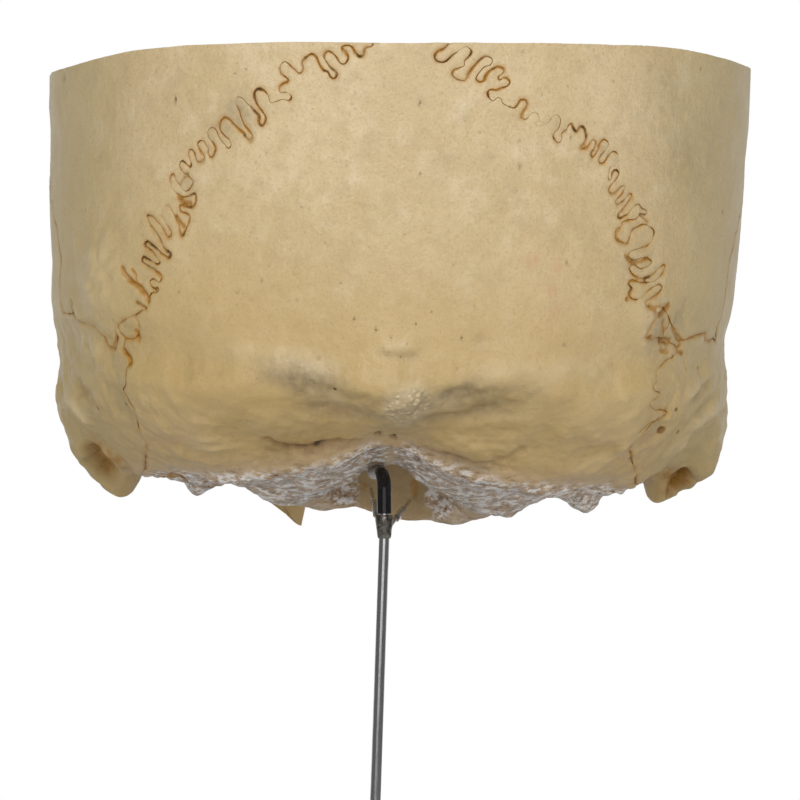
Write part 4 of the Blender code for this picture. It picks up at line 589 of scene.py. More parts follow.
def along_path(path, steps=6):
    """Points between the corners of a path given in degrees, with any further values."""
    path = np.asarray(path, float)
    if len(path) == 1:
        return path
    places = np.linspace(0, len(path) - 1, steps * (len(path) - 1) + 1)
    columns = [np.interp(places, np.arange(len(path)), path[:, i]) for i in range(path.shape[1])]
    return np.stack(columns, axis=-1)


def nearest_on_path(points, path_points):
    """Distance from each point to a line of points, and the place of the nearest one."""
    if len(path_points) == 1:
        return np.linalg.norm(points - path_points[0], axis=-1), np.zeros(len(points))
    best = np.full(len(points), np.inf)
    place = np.zeros(len(points))
    for i in range(len(path_points) - 1):
        start = path_points[i]
        run = path_points[i + 1] - start
        t = np.clip((points - start) @ run / (run @ run), 0.0, 1.0)
        gap = np.linalg.norm(points - start - t[:, None] * run, axis=-1)
        nearer = gap < best
        best[nearer] = gap[nearer]
        place[nearer] = i + t[nearer]
    return best, place


OUTER_TRAILS = []
for name, path, *rest in OUTER_RELIEF_SHARES:
    trail = np.radians(along_path(path))
    OUTER_TRAILS.append(outer_bowl(trail[:, 0], trail[:, 1]))
INNER_TRAILS = []
for name, path, slope in INNER_RIDGE_SHARES:
    trail = along_path(path)
    INNER_TRAILS.append((trail, ray_directions(np.radians(trail[:, 0]), np.radians(trail[:, 1]))))


def shell_points(az, dip):
    """Outer and inner points of the shell along each ray, seen from the centre."""
    outer = outer_bowl(az, dip)
    folded = outer.copy()
    folded[:, 0] = np.abs(folded[:, 0])
    side = np.tanh(outer[:, 0] / (MIDLINE_SOFTNESS_SHARE * HALF_BREADTH))
    push = np.zeros_like(outer)
    inner_push = np.zeros_like(outer)
    for row, trail in zip(OUTER_RELIEF_SHARES, OUTER_TRAILS):
        name, _, width_share, push_shares, side_only = row
        gap, _ = nearest_on_path(folded, trail)
        strength = np.exp(-(gap / (width_share * HALF_BREADTH)) ** 2)
        if side_only:
            strength = strength * smooth_step(-MIDLINE_SOFTNESS_SHARE, MIDLINE_SOFTNESS_SHARE,
                                              side_only * outer[:, 0] / HALF_BREADTH)
        move = strength[:, None] * np.array(push_shares) * HALF_BREADTH
        push += move
        if name in THIN_PLACES:
            inner_push += move
    push[:, 0] *= side
    inner_push[:, 0] *= side
    outer = outer + push

    inner_far = bowl_distance(az, dip, VAULT_WALL, INNER_FLOOR_SHARES, INNER_CENTRE_SHARES,
                              INNER_CENTRE_DIPS, FOSSA_FLOOR_SHARE)
    rays = ray_directions(az, dip)
    folded_rays = rays.copy()
    folded_rays[:, 0] = np.abs(folded_rays[:, 0])
    for (_, _, slope), (trail, trail_rays) in zip(INNER_RIDGE_SHARES, INNER_TRAILS):
        gap, place = nearest_on_path(folded_rays, trail_rays)
        crest = np.interp(place, np.arange(len(trail)), trail[:, 2]) * HALF_BREADTH
        inner_far = smooth_least(inner_far, crest * (1.0 + slope * gap),
                                 RIDGE_SOFTNESS_SHARE * HALF_BREADTH)
    outer_far = np.linalg.norm(outer - inner_push, axis=-1)
    inner_far = np.minimum(inner_far, outer_far - LEAST_WALL)
    return outer, rays * inner_far[:, None] + inner_push


def lean(points):
    """Points seen from the centre of the cut, leaned as the skull stands."""
    roll = math.radians(ROLL_DEGREES)
    points = np.asarray(points, float)
    x = points[..., 0] * math.cos(roll) + points[..., 2] * math.sin(roll)
    z = points[..., 2] * math.cos(roll) - points[..., 0] * math.sin(roll)
    return np.stack((x, points[..., 1], z), axis=-1)


def skull_centre():
    """Where the centre of the saw cut lies."""
    return np.array((CENTRE_ASIDE, CENTRE_FORWARD, SAW_CUT_HEIGHT))


def settle(points):
    """Carry points from the centre of the saw cut to the skull's place on its stand."""
    return lean(points) + skull_centre()


def chart_point(az_degrees, dip_degrees):
    """Place on a flat disc whose middle is straight down and whose rim is level with the cut."""
    angle = math.radians(az_degrees)
    reach = 90.0 - dip_degrees
    return np.array((reach * math.cos(angle), reach * math.sin(angle)))


def cut_dip(az):
    """Dip at which the tilted saw cut is met."""
    return np.arctan(-math.tan(math.radians(SAW_TILT_DEGREES)) * np.cos(az))


def chart_angles(points):
    """Azimuth and dip in radians of points on the disc."""
    points = np.asarray(points, float)
    az = np.arctan2(points[:, 1], points[:, 0])
    return az, np.radians(90.0 - np.hypot(points[:, 0], points[:, 1]))


def chain(lines):
    """Join lines end to end into one anticlockwise loop."""
    first = lines[0]
    ends = (lines[1][0], lines[1][-1])
    if min(math.dist(first[0][:2], end[:2]) for end in ends) < MEETING_DEGREES:
        first = first[::-1]
    loop = list(first)
    for line in lines[1:]:
        if math.dist(line[-1][:2], loop[-1][:2]) < math.dist(line[0][:2], loop[-1][:2]):
            line = line[::-1]
        loop.extend(line[1:])
    loop = np.array(loop[:-1])
    x, y = loop[:, 0], loop[:, 1]
    area = np.sum(x * np.roll(y, -1) - y * np.roll(x, -1))
    return loop if area > 0.0 else loop[::-1]


def side_sign(side):
    """+1 on the skull's right and -1 on its left."""
    return 1.0 if side == "right" else -1.0


def place_in_skull(shares, side):
    """A place given in shares of the half breadth, the front length and the depth."""
    place = np.array(shares, float) * (HALF_BREADTH, FRONT_LENGTH, BASE_DEPTH)
    return lean(place * np.array((side_sign(side), 1.0, 1.0)))


def foramen_point(angle):
    """A place on the edge of the foramen magnum, as a point of the disc."""
    x = 0.5 * FORAMEN_WIDTH * math.cos(angle)
    y = 0.5 * FORAMEN_LENGTH * math.sin(angle) - FORAMEN_BACK_SHIFT_SHARE * FRONT_LENGTH
    reach = math.degrees(math.atan2(math.hypot(x, y), BASE_DEPTH))
    return reach * x / math.hypot(x, y), reach * y / math.hypot(x, y)


# Fine shell

MM = 0.001
COARSER = 1.0

# Spacing of the points along the edges and over the faces of a bone, in millimetres
SEAM_STEP_MM = 0.28 * COARSER
CUT_STEP_MM = 0.45 * COARSER
PLAIN_STEP_MM = {"outer": 1.0, "inner": 1.35}
SEAM_SIDE_STEP_MM = {"outer": 0.38, "inner": 0.62}
BACK_STEP_MM = 0.58
NUCHAL_STEP_MM = 0.42
EAR_STEP_MM = 0.50
DETAIL_GAP_MM = 0.13
BAND_STEPS = (-1.3, -0.6, 0.0, 0.6, 1.3)
WALL_ROWS = {"cut": 13, "hole": 8}
HOLE_SIDES = 180

# Grids of points from fine to coarse, in degrees of the disc
FINEST_DEGREES = 0.2
LEVEL_COUNT = 8
LEVEL_RATIO = 2.0 ** 0.5
LEAST_GAP_SHARE = 0.6
UNEVEN_SHARE = 0.14

# Maps of the disc, and the search for the place that is seen at a pixel
PROBE_DEGREES = 0.04
MAP_REACH_DEGREES = 94.0
MAP_STEP_DEGREES = 2.0
CELL_DEGREES = 0.5
NEAR_CELLS = 3
GRID_AZIMUTHS = (-184.0, 5.0, 1.5)
GRID_DIPS = (-3.0, 76.0, 1.5)
SEARCH_ROUNDS = 7
SEARCH_STEP = 1.5

# Sutures: how wide they gape, how deep that goes, and how far their stain is known
LEAST_GAP_MM = 0.04
MOST_GAP_MM = 0.17
CORE_GAP_MM = 0.02
LIP_DEPTH_MM = 0.38
SEAM_FAR_MM = 4.0
LEAST_TURN = 0.45
KINK_WINDOW = 16
WAVE_FADE_MM = 5.0
MIDDLE_WAVES_MM = (0.25, 3.0, 0.1)
MIDDLE_STRENGTH = 0.35
UNTRACED_STRENGTH = 0.75
TRACED_REACH_DEGREES = 89.6

# Meshes
SAME_PLACE = 1e-6
BONE_SHARP_DEGREES = 62.0
TUBE_SHARP_DEGREES = 50.0
LATHED_SHARP_DEGREES = 35.0
SHADE_NAMES = ("stains_and_shade", "looks", "lines")
BOTH_SIDES = ("right", "left")
NO_PLACES = np.zeros((0, 2))

# Grain of the outer and the inner face: size and height in millimetres, and seed
OUTER_GRAIN = ((11.0, 0.16, 21), (4.6, 0.10, 22), (1.3, 0.05, 23))
INNER_GRAIN = ((9.0, 0.22, 71), (4.0, 0.14, 72))

# Rougher parts of the outer face, in this order: the arch of the back, the underside behind, the
# mastoid process, the nuchal area and the underside in front. Each has its azimuths, dips, softness
# and share of the look of rougher bone, which also paints glints and the shade of their hollows,
# and its grain
ROUGH_PARTS = (
    ((-90, 10), (33, 60), 5.0, 0.0, ((13.0, 0.42, 36), (6.5, 0.26, 37))),
    ((-90, 10), (56, 90), 4.0, 1.0, ((2.1, 0.42, 31), (1.35, 0.32, 32), (6.0, 0.5, 33))),
    ((-40, 14), (37, 58), 4.0, 0.04, ((1.35, 0.14, 32), (2.1, 0.20, 31), (4.2, 0.46, 34))),
    ((-91, -36), (46, 56), 4.0, 0.08, ((1.35, 0.15, 32), (3.2, 0.26, 35))),
    ((10, 95), (60, 92), 4.0, 0.58, ((2.1, 0.20, 31), (1.35, 0.16, 32))),
)

# Groove and lip beside a suture, in millimetres
SEAM_GROOVE_MM = (0.05, 0.22)
SEAM_GROOVE_WIDTH_MM = 0.34
SEAM_LIP_MM = 0.05
SEAM_LIP_AWAY_MM = 1.1
SEAM_LIP_WIDTH_MM = 0.6
INNER_SEAM_MM = 0.2
INNER_SEAM_WIDTH_MM = 0.5

# Wall of the foramen magnum, and the part of it in front that is seen from behind
HOLE_ASIDE = 0.021
HOLE_AHEAD = (-0.002, 0.044)
HOLE_TOP = 0.128
FRONT_WALL_AHEAD = (0.028, 0.034)
FRONT_WALL_LEFT = (-0.0060, -0.0010)
FRONT_WALL_RIGHT = (-0.0130, -0.0085)
SPONGY_SHARES = (0.12, 0.3)


def lattice_value(cells, seed):
    """A repeatable value between -1 and 1 for each cell of a cubic grid."""
    mixed = cells[..., 0] * 73856093 ^ cells[..., 1] * 19349663 ^ cells[..., 2] * 83492791
    mixed = mixed ^ (seed * 2654435761)
    mixed = (mixed ^ (mixed >> 13)) * 1274126177
    mixed = (mixed ^ (mixed >> 16)) & 0xFFFFFF
    return mixed / float(0x7FFFFF) - 1.0


def value_noise(points, size, seed):
    """Smooth noise between -1 and 1 whose bumps are about this size."""
    scaled = np.asarray(points, float) / size
    cell = np.floor(scaled).astype(np.int64)
    part = scaled - cell
    part = part * part * (3.0 - 2.0 * part)
    total = np.zeros(len(scaled))
    for corner in range(8):
        offset = np.array((corner & 1, (corner >> 1) & 1, (corner >> 2) & 1))
        weight = np.prod(np.where(offset, part, 1.0 - part), axis=1)
        total += weight * lattice_value(cell + offset, seed)
    return total


def line_noise(places, size, seed):
    """Smooth noise along a line."""
    places = np.asarray(places, float)
    nothing = np.zeros(len(places))
    return value_noise(np.stack((places, nothing, nothing), axis=1), size, seed)


# How far the shell's sides move in to meet the outline seen: height, left, right, in millimetres
SIDE_FIT = (
    (108, 2.6, 3.2), (116, 2.6, 2.7), (120, 3.3, 2.6), (124, 3.5, 2.3), (128, 2.6, 1.8),
    (132, 1.9, 2.3), (136, 2.2, 2.8), (140, 2.6, 3.3), (144, 2.3, 2.9), (148, 0.9, 1.9),
    (152, 0.4, 1.4), (156, 0.7, 1.4), (160, 1.0, 1.4), (172, 1.1, 1.5), (180, 1.4, 1.4),
    (188, 1.2, 0.9), (192, 0.8, 0.8), (200, 0.8, 0.8),
)
# How far the underside moves up: x, y and rise in millimetres
UNDER_FIT = (
    (-55, 25.5, 0.8), (-46.5, 4.4, -1.6), (-42.6, 4.2, -1.6), (-39.3, 20.4, -3.0), (-35, 11.8, 3.0),
    (-39.8, 9, -2.4), (-31, 18, 0), (-27, 18, -0.2), (-23.2, 21, 2.4), (-19.3, 23.1, 4.0),
    (-15, 30, 3.6), (-11.4, 36.9, 5.0), (-7.3, 36.1, 1.4), (-3.3, 39, 0), (3, 39.5, -0.6),
    (9, 39, -3.2), (13.1, 36.8, -0.8), (17.1, 37.3, 2.6), (21.1, 32.3, 1.6), (25.1, 25.5, 2.8),
    (29, 20.5, 0.4), (33, 19.9, -1.6), (37, 10, 0.9), (40.7, 10.9, 0.5), (45, 19.3, -4.2),
    (48.4, 3.3, -2.0), (52.4, 4.5, -3.0), (58, 26, 3.0), (56.5, 10, 2.6), (-9, 13, -2.5),
    (-4, 7.5, -1.5), (11, 8.5, -2.5), (16, 15, -2.5), (3, 3.4, 0), (-11.5, 22, -1.5),
    (17.5, 22, -1.5), (-40, -15, 0), (-20, -15, 0), (0, -12, 0), (20, -15, 0), (40, -15, 0),
    (0, 60, 0), (-20, 60, 0), (20, 60, 0),
)
UNDER_FIT_REACH = 0.0055
UNDER_FIT_LEAST = 0.05
UNDER_FIT_DEPTHS = (-0.126, -0.119)
SIDE_FIT_ASIDE = (0.024, 0.056)
RIM_HEIGHTS = (0.165, 0.199)
RIM_END_DROP = 0.0016
RIM_END_ASIDE = (0.050, 0.070)
RIM_LEFT_LIFT = 0.0006
RIM_LIFT_LEFT = (-0.062, -0.035)
RIM_LIFT_RIGHT = (-0.010, 0.020)


def fitted(points, under=False):
    """Points of the plain shell, moved a little to meet the outline seen in the photo."""
    x, y, z = np.asarray(points, float).T
    aside = np.abs(x - CENTRE_ASIDE)
    heights, left, right = np.array(SIDE_FIT).T * MM
    move = np.where(x < CENTRE_ASIDE, np.interp(z, heights, left), -np.interp(z, heights, right))
    moved_x = x + move * smooth_step(*SIDE_FIT_ASIDE, aside)
    lift = RIM_LEFT_LIFT * smooth_step(*RIM_LIFT_LEFT, x) * smooth_step(*RIM_LIFT_RIGHT, -x)
    drop = RIM_END_DROP * smooth_step(*RIM_END_ASIDE, aside)
    moved_z = z + smooth_step(*RIM_HEIGHTS, z) * (lift - drop)
    if under:
        total = np.full(len(x), UNDER_FIT_LEAST)
        rise = np.zeros(len(x))
        for place_x, place_y, place_rise in np.array(UNDER_FIT) * MM:
            away = (x - place_x) ** 2 + (y - place_y) ** 2
            weight = np.exp(-away / UNDER_FIT_REACH ** 2)
            total += weight
            rise += weight * place_rise
        moved_z = moved_z + rise / total * smooth_step(*UNDER_FIT_DEPTHS, -z)
    return np.stack((moved_x, y, moved_z), axis=-1)


def outer_world(points):
    """Points of the outer face in the row frame, for places on the disc."""
    return fitted(settle(shell_points(*chart_angles(points))[0]), True)


def inner_world(points):
    """Points of the inner face in the row frame, for places on the disc."""
    return fitted(settle(shell_points(*chart_angles(points))[1]))


def surface_axes(points):
    """How far the outer face goes for one degree along each of the two ways of the disc."""
    axes = []
    for step in ((PROBE_DEGREES, 0.0), (0.0, PROBE_DEGREES)):
        step = np.array(step)
        change = outer_world(points + step) - outer_world(points - step)
        axes.append(change / (2.0 * PROBE_DEGREES))
    return axes


def chart_move(axes, moves):
    """The move on the disc that makes a move along the outer face."""
    u, v = axes
    uu, uv, vv = (np.sum(a * b, axis=1) for a, b in ((u, u), (u, v), (v, v)))
    mu, mv = np.sum(u * moves, axis=1), np.sum(v * moves, axis=1)
    scale = uu * vv - uv * uv
    return np.stack((vv * mu - uv * mv, uu * mv - uv * mu), axis=1) / scale[:, None]


def unit(vectors):
    """Vectors of length 1."""
    return vectors / np.maximum(np.linalg.norm(vectors, axis=-1, keepdims=True), 1e-12)


def pixels_of(places):
    """Where points of the row frame are seen in the view."""
    away = places[:, 1] - CAMERA_PLACE[1]
    across = 0.5 * PICTURE_PIXELS + FOCAL_PIXELS * (places[:, 0] - CAMERA_PLACE[0]) / away
    down = 0.5 * PICTURE_PIXELS - FOCAL_PIXELS * (places[:, 2] - CAMERA_PLACE[2]) / away
    return np.stack((across, down), axis=1)


def view_grid():
    """Places on the disc that face the camera, and their pixels, to start a search from."""
    az, dip = np.meshgrid(np.radians(np.arange(*GRID_AZIMUTHS)), np.arange(*GRID_DIPS))
    reach = 90.0 - dip
    points = np.stack(((reach * np.cos(az)).ravel(), (reach * np.sin(az)).ravel()), axis=1)
    u, v = surface_axes(points)
    world = outer_world(points)
    facing = np.sum(-np.cross(u, v) * (np.array(CAMERA_PLACE) - world), axis=1) > 0.0
    return points[facing], pixels_of(world[facing])


VIEW_GRID = view_grid()


def on_shell(pixels):
    """Places on the disc whose outer points are seen at these pixels."""
    pixels = np.atleast_2d(np.asarray(pixels, float))
    grid, seen = VIEW_GRID
    place = np.array([grid[np.argmin(np.sum((seen - pixel) ** 2, axis=1))] for pixel in pixels])
    best = place.copy()
    least = np.full(len(place), np.inf)
    for _ in range(SEARCH_ROUNDS):
        here = pixels_of(outer_world(place))
        off = np.linalg.norm(here - pixels, axis=1)
        better = off < least
        best[better] = place[better]
        least[better] = off[better]
        slopes = []
        for step in ((PROBE_DEGREES, 0.0), (0.0, PROBE_DEGREES)):
            slopes.append((pixels_of(outer_world(place + np.array(step))) - here) / PROBE_DEGREES)
        (a, c), (b, d) = slopes[0].T, slopes[1].T
        size = a * d - b * c
        size = np.where(np.abs(size) < 1e-3, 1e-3, size)
        miss = pixels - here
        step = np.stack((d * miss[:, 0] - b * miss[:, 1], a * miss[:, 1] - c * miss[:, 0]), axis=1)
        step = step / size[:, None]
        length = np.linalg.norm(step, axis=1, keepdims=True)
        place = place + step * np.minimum(1.0, SEARCH_STEP / np.maximum(length, 1e-9))
    return best


def rounded_line(corners, steps=6):
    """A smooth line through corners."""
    corners = np.asarray(corners, float)
    if len(corners) < 2:
        return corners
    ends = np.vstack((2 * corners[0] - corners[1], corners, 2 * corners[-1] - corners[-2]))
    t = np.linspace(0.0, 1.0, steps, endpoint=False)[:, None]
    parts = []
    for p0, p1, p2, p3 in zip(ends[:-3], ends[1:-2], ends[2:-1], ends[3:]):
        parts.append(0.5 * (2 * p1 + (p2 - p0) * t + (2 * p0 - 5 * p1 + 4 * p2 - p3) * t ** 2
                            + (3 * p1 - p0 - 3 * p2 + p3) * t ** 3))
    return np.vstack(parts + [corners[-1:]])


def lengths(world):
    """Distance along a line at each of its points."""
    return np.concatenate(([0.0], np.cumsum(np.linalg.norm(np.diff(world, axis=0), axis=1))))


def line_frame(points):
    """Axes of the outer face along a line on the disc, and the ways ahead and to its side."""
    axes = surface_axes(points)
    slope = np.gradient(points, axis=0)
    ahead = unit(axes[0] * slope[:, :1] + axes[1] * slope[:, 1:])
    return axes, ahead, np.cross(unit(np.cross(*axes)), ahead)


def evenly(points, step_mm):
    """The same line on the disc, with points at even distances along the outer face."""
    far = lengths(outer_world(points))
    count = max(2, int(round(far[-1] / (step_mm * MM)))) + 1
    places = np.linspace(0.0, far[-1], count)
    return np.stack([np.interp(places, far, points[:, i]) for i in range(2)], axis=1)


def waved(points, width_mm, wave_mm, loop_share, seed):
    """A plain line with the teeth of a suture, which die away at its ends."""
    far = lengths(outer_world(points)) / MM
    phase = math.tau * far / wave_mm + 2.2 * line_noise(far, 2.3 * wave_mm, seed)
    swell = 0.75 + 0.45 * line_noise(far, 3.1 * wave_mm, seed + 1)
    fade = (smooth_step(0.0, WAVE_FADE_MM, far)
            * smooth_step(0.0, WAVE_FADE_MM, far[-1] - far))
    axes, ahead, side = line_frame(points)
    size = (width_mm * MM * swell * fade)[:, None]
    ripple = 0.12 * MM * line_noise(far, 0.9, seed + 2) * fade
    moves = side * (size * np.sin(phase)[:, None] + ripple[:, None])
    moves = moves + ahead * (-loop_share * size * np.sin(2.0 * phase)[:, None])
    return points + chart_move(axes, moves)


def mirrored_degrees(corners, side):
    """Corners in azimuth and dip of the right half as places on the disc, for either side."""
    return [chart_point(az if side == "right" else 180.0 - az, dip) for az, dip in corners]


SEAMS = {}


def at_saw_cut(place):
    """The place of the saw cut that lies the same way from the middle of the disc."""
    az = math.atan2(place[1], place[0])
    return chart_point(math.degrees(az), math.degrees(cut_dip(az)))


def onto_saw_cut(points):
    """Places on the disc, moved in or out to the saw cut."""
    reach = 90.0 - np.degrees(cut_dip(np.arctan2(points[:, 1], points[:, 0])))
    return points * (reach / np.linalg.norm(points, axis=1))[:, None]


def seam(name, side):
    """A suture as disc places with two marks: 1 at the saw cut, and how wide it gapes."""
    if (name, side) in SEAMS:
        return SEAMS[name, side]
    traced = TRACED_PIXELS.get(side + " " + name)
    seed = 11 * len(name) + (5 if side == "left" else 0)
    at_cut = False
    if traced:
        corners = on_shell(traced)
        if name == "lambdoid":
            corners[0] = at_saw_cut(corners[0])
            dip = cut_dip(np.arctan2(corners[1:, 1], corners[1:, 0]))
            reach = TRACED_REACH_DEGREES - np.degrees(dip)
            size = np.linalg.norm(corners[1:], axis=1)
            corners[1:] *= np.minimum(1.0, reach / size)[:, None]
            at_cut = True
        tail = mirrored_degrees(TAIL_DEGREES.get(name, ()), side)
        points = evenly(rounded_line(np.vstack([corners] + tail), 8), SEAM_STEP_MM)
    else:
        corners = mirrored_degrees(SEAM_DEGREES[name], side)
        at_cut = SEAM_DEGREES[name][0][1] == 0
        if at_cut:
            corners[0] = at_saw_cut(corners[0])
        points = evenly(rounded_line(corners, 12), 0.5 * SEAM_STEP_MM)
        if name in WAVES_MM:
            points = waved(points, *WAVES_MM[name], seed)
        points = evenly(points, SEAM_STEP_MM)
    world = outer_world(points)
    far = lengths(world) / MM
    strength = 0.52 + 0.42 * line_noise(far, 3.4, seed + 7) + 0.30 * line_noise(far, 1.1, seed + 8)
    if not traced:
        strength *= UNTRACED_STRENGTH
    seen = pixels_of(world)
    for pixel, reach in SEAM_LOW_PLACES:
        gap = np.linalg.norm(seen - np.array(pixel), axis=1)
        strength *= 0.12 + 0.88 * smooth_step(0.5 * reach, reach, gap)
    line = np.column_stack((points, np.zeros(len(points)), np.clip(strength, 0.0, 1.0)))
    if at_cut:
        line[0, 2] = 1.0
    SEAMS[name, side] = line
    return line


def cut_line(start_az, end_az):
    """The part of the saw cut between two azimuths."""
    az = np.radians(np.linspace(start_az, end_az, 200))
    reach = 90.0 - np.degrees(cut_dip(az))
    points = np.stack((reach * np.cos(az), reach * np.sin(az)), axis=1)
    points = onto_saw_cut(evenly(points, CUT_STEP_MM))
    return np.column_stack((points, np.ones(len(points)), np.zeros(len(points))))


def middle_line(right_end, middle, seed):
    """A seam across the midline, from its right end over its middle to the left."""
    left_end = (180.0 - right_end[0], right_end[1])
    corners = [chart_point(*place) for place in (right_end, middle, left_end)]
    points = evenly(rounded_line(corners, 12), SEAM_STEP_MM)
    points = waved(points, *MIDDLE_WAVES_MM, seed)
    return np.column_stack((points, np.zeros(len(points)), np.full(len(points), MIDDLE_STRENGTH)))


def drawn_in(loop, metres):
    """Move a loop's points to its left along the outer face; those at the saw cut stay on it."""
    points = loop[:, :2]
    axes = surface_axes(points)
    run = np.roll(points, -1, axis=0) - points
    ahead = unit(axes[0] * run[:, :1] + axes[1] * run[:, 1:])
    behind = np.roll(ahead, 1, axis=0)
    left = np.cross(unit(np.cross(*axes)), ahead + behind)
    turn = np.maximum(1.0 + np.sum(ahead * behind, axis=1), LEAST_TURN)
    moved = points + chart_move(axes, left * (metres / turn)[:, None])
    at_cut = loop[:, 2] > 0.5
    moved[at_cut] = onto_saw_cut(moved[at_cut])
    return moved


def cross2(a, b):
    """Cross product of flat vectors."""
    return a[:, 0] * b[:, 1] - a[:, 1] * b[:, 0]


def untangled(loop):
    """Which points of a loop stay when the knots at its tight bends are cut off."""
    keep = np.ones(len(loop), bool)
    run = np.roll(loop, -1, axis=0) - loop
    for k in range(2, KINK_WINDOW):
        other, other_run = np.roll(loop, -k, axis=0), np.roll(run, -k, axis=0)
        size = cross2(run, other_run)
        size = np.where(np.abs(size) < 1e-14, 1e-14, size)
        gap = other - loop
        t, s = cross2(gap, other_run) / size, cross2(gap, run) / size
        for i in np.nonzero((t >= 0.0) & (t <= 1.0) & (s >= 0.0) & (s <= 1.0))[0]:
            keep[(i + 1 + np.arange(k)) % len(loop)] = False
    return keep


def spread_map():
    """Metres for one degree of the disc, over a coarse square of places."""
    side = np.arange(-MAP_REACH_DEGREES, MAP_REACH_DEGREES + 0.1, MAP_STEP_DEGREES)
    u, v = np.meshgrid(side, side, indexing="ij")
    axes = surface_axes(np.stack((u.ravel() + 0.01, v.ravel() + 0.01), axis=1))
    return np.sqrt(np.linalg.norm(np.cross(*axes), axis=1)).reshape(u.shape)


SPREAD = spread_map()


def cells_of(points, step, count, margin=0):
    """The cells of a square map of the disc in which places lie."""
    cell = np.round((points + MAP_REACH_DEGREES) / step).astype(int)
    return np.clip(cell, margin, count - margin - 1).T


def spread_at(points):
    """Metres for one degree of the disc at each place."""
    return SPREAD[tuple(cells_of(points, MAP_STEP_DEGREES, len(SPREAD)))]


def near_map(points, cells=NEAR_CELLS):
    """A square of small cells over the disc, true near the given places."""
    count = int(2 * MAP_REACH_DEGREES / CELL_DEGREES) + 1
    marks = np.zeros((count, count), bool)
    across, up = cells_of(points, CELL_DEGREES, count, cells)
    for i in range(-cells, cells + 1):
        for j in range(-cells, cells + 1):
            if i * i + j * j <= cells * cells + 1:
                marks[across + i, up + j] = True
    return marks


def marked(marks, points):
    """Which places lie in a marked cell."""
    return marks[tuple(cells_of(points, CELL_DEGREES, len(marks)))]


def tree_of(points):
    """A search tree over places; flat ones lie at height 0."""
    tree = KDTree(len(points))
    for index, point in enumerate(points):
        tree.insert((*point, 0.0)[:3], index)
    tree.balance()
    return tree


def rows_inside(loops, spacing, seed):
    """Points of a slightly uneven triangular grid inside the first loop and outside the others."""
    starts = np.concatenate(loops)
    ends = np.concatenate([np.roll(loop, -1, axis=0) for loop in loops])
    low, high = loops[0].min(axis=0), loops[0].max(axis=0)
    height = spacing * math.sqrt(0.75)
    columns = np.arange(math.floor(low[0] / spacing), math.ceil(high[0] / spacing) + 1)
    rows = []
    for row in range(math.floor(low[1] / height), math.ceil(high[1] / height) + 1):
        v = (row + 0.013) * height
        crossing = (starts[:, 1] > v) != (ends[:, 1] > v)
        a, b = starts[crossing], ends[crossing]
        cuts = np.sort(a[:, 0] + (v - a[:, 1]) / (b[:, 1] - a[:, 1]) * (b[:, 0] - a[:, 0]))
        u = (columns + 0.5 * (row % 2) + 0.007) * spacing
        u = u[np.searchsorted(cuts, u) % 2 == 1]
        rows.append(np.stack((u, np.full(len(u), v)), axis=1))
    points = np.concatenate(rows)
    cells = np.round(np.column_stack((points / spacing * 4.0, np.zeros(len(points)))))
    cells = cells.astype(np.int64)
    shift = np.stack((lattice_value(cells, seed), lattice_value(cells, seed + 1)), axis=1)
    return points + UNEVEN_SHARE * spacing * shift


def wanted_mm(points, face, seam_marks):
    """How close the points of a face should lie, in millimetres."""
    az, dip = np.degrees(chart_angles(points))
    wanted = np.full(len(points), PLAIN_STEP_MM[face])
    if face == "outer":
        back = (az > -165.0) & (az < -15.0)
        wanted[back & (dip < 30.0)] = BACK_STEP_MM
        wanted[back & (dip >= 30.0) & (dip < 70.0)] = NUCHAL_STEP_MM
        side = (np.abs(np.abs(az) - 90.0) > 70.0) & (dip > 36.0) & (dip < 62.0)
        wanted[side] = EAR_STEP_MM
    wanted[marked(seam_marks, points)] = SEAM_SIDE_STEP_MM[face]
    return wanted * COARSER


def face_grid(loops, face, extras, seam_marks):
    """Points that fill a face of a bone, closer where there is more to show."""
    fixed = np.concatenate(loops + [extras]) if len(extras) else np.concatenate(loops)
    tree = tree_of(fixed)
    fixed_marks = near_map(fixed, 2)
    finest = FINEST_DEGREES * COARSER
    kept = []
    for level in range(LEVEL_COUNT):
        spacing = finest * LEVEL_RATIO ** level
        points = rows_inside(loops, spacing, 3 + level)
        wanted = wanted_mm(points, face, seam_marks) * MM / spread_at(points)
        chosen = np.round(np.log(wanted / finest) / math.log(LEVEL_RATIO))
        points = points[np.clip(chosen, 0, LEVEL_COUNT - 1) == level]
        clear = np.ones(len(points), bool)
        for i in np.nonzero(marked(fixed_marks, points))[0]:
            clear[i] = tree.find((*points[i], 0.0))[2] > LEAST_GAP_SHARE * spacing
        kept.append(points[clear])
    return np.concatenate(kept + ([extras] if len(extras) else []))


def inside(points, loop):
    """Which points lie inside a closed loop."""
    hit = np.zeros(len(points), bool)
    for (x1, y1), (x2, y2) in zip(loop, np.roll(loop, -1, axis=0)):
        if y1 != y2:
            across = (y1 > points[:, 1]) != (y2 > points[:, 1])
            hit ^= across & (points[:, 0] < (x2 - x1) * (points[:, 1] - y1) / (y2 - y1) + x1)
    return hit


def flat_mesh(loops, grid):
    """Places and triangles inside the first loop and outside the rest, and the loops' places."""
    flat = np.concatenate(loops + [grid])
    sides = []
    first = 0
    for loop in loops:
        sides += [(first + i, first + (i + 1) % len(loop)) for i in range(len(loop))]
        first += len(loop)
    found = delaunay_2d_cdt([Vector(point) for point in flat], sides,
                            [list(range(len(loops[0])))], 1, 1e-7)
    places = np.array(found[0])
    faces = np.array(found[2])
    own = np.zeros(len(flat), int)
    for k, sources in enumerate(found[3]):
        own[sources] = k
    for hole in loops[1:]:
        faces = faces[~inside(places[faces].mean(axis=1), hole)]
    return places, faces, own[:first]


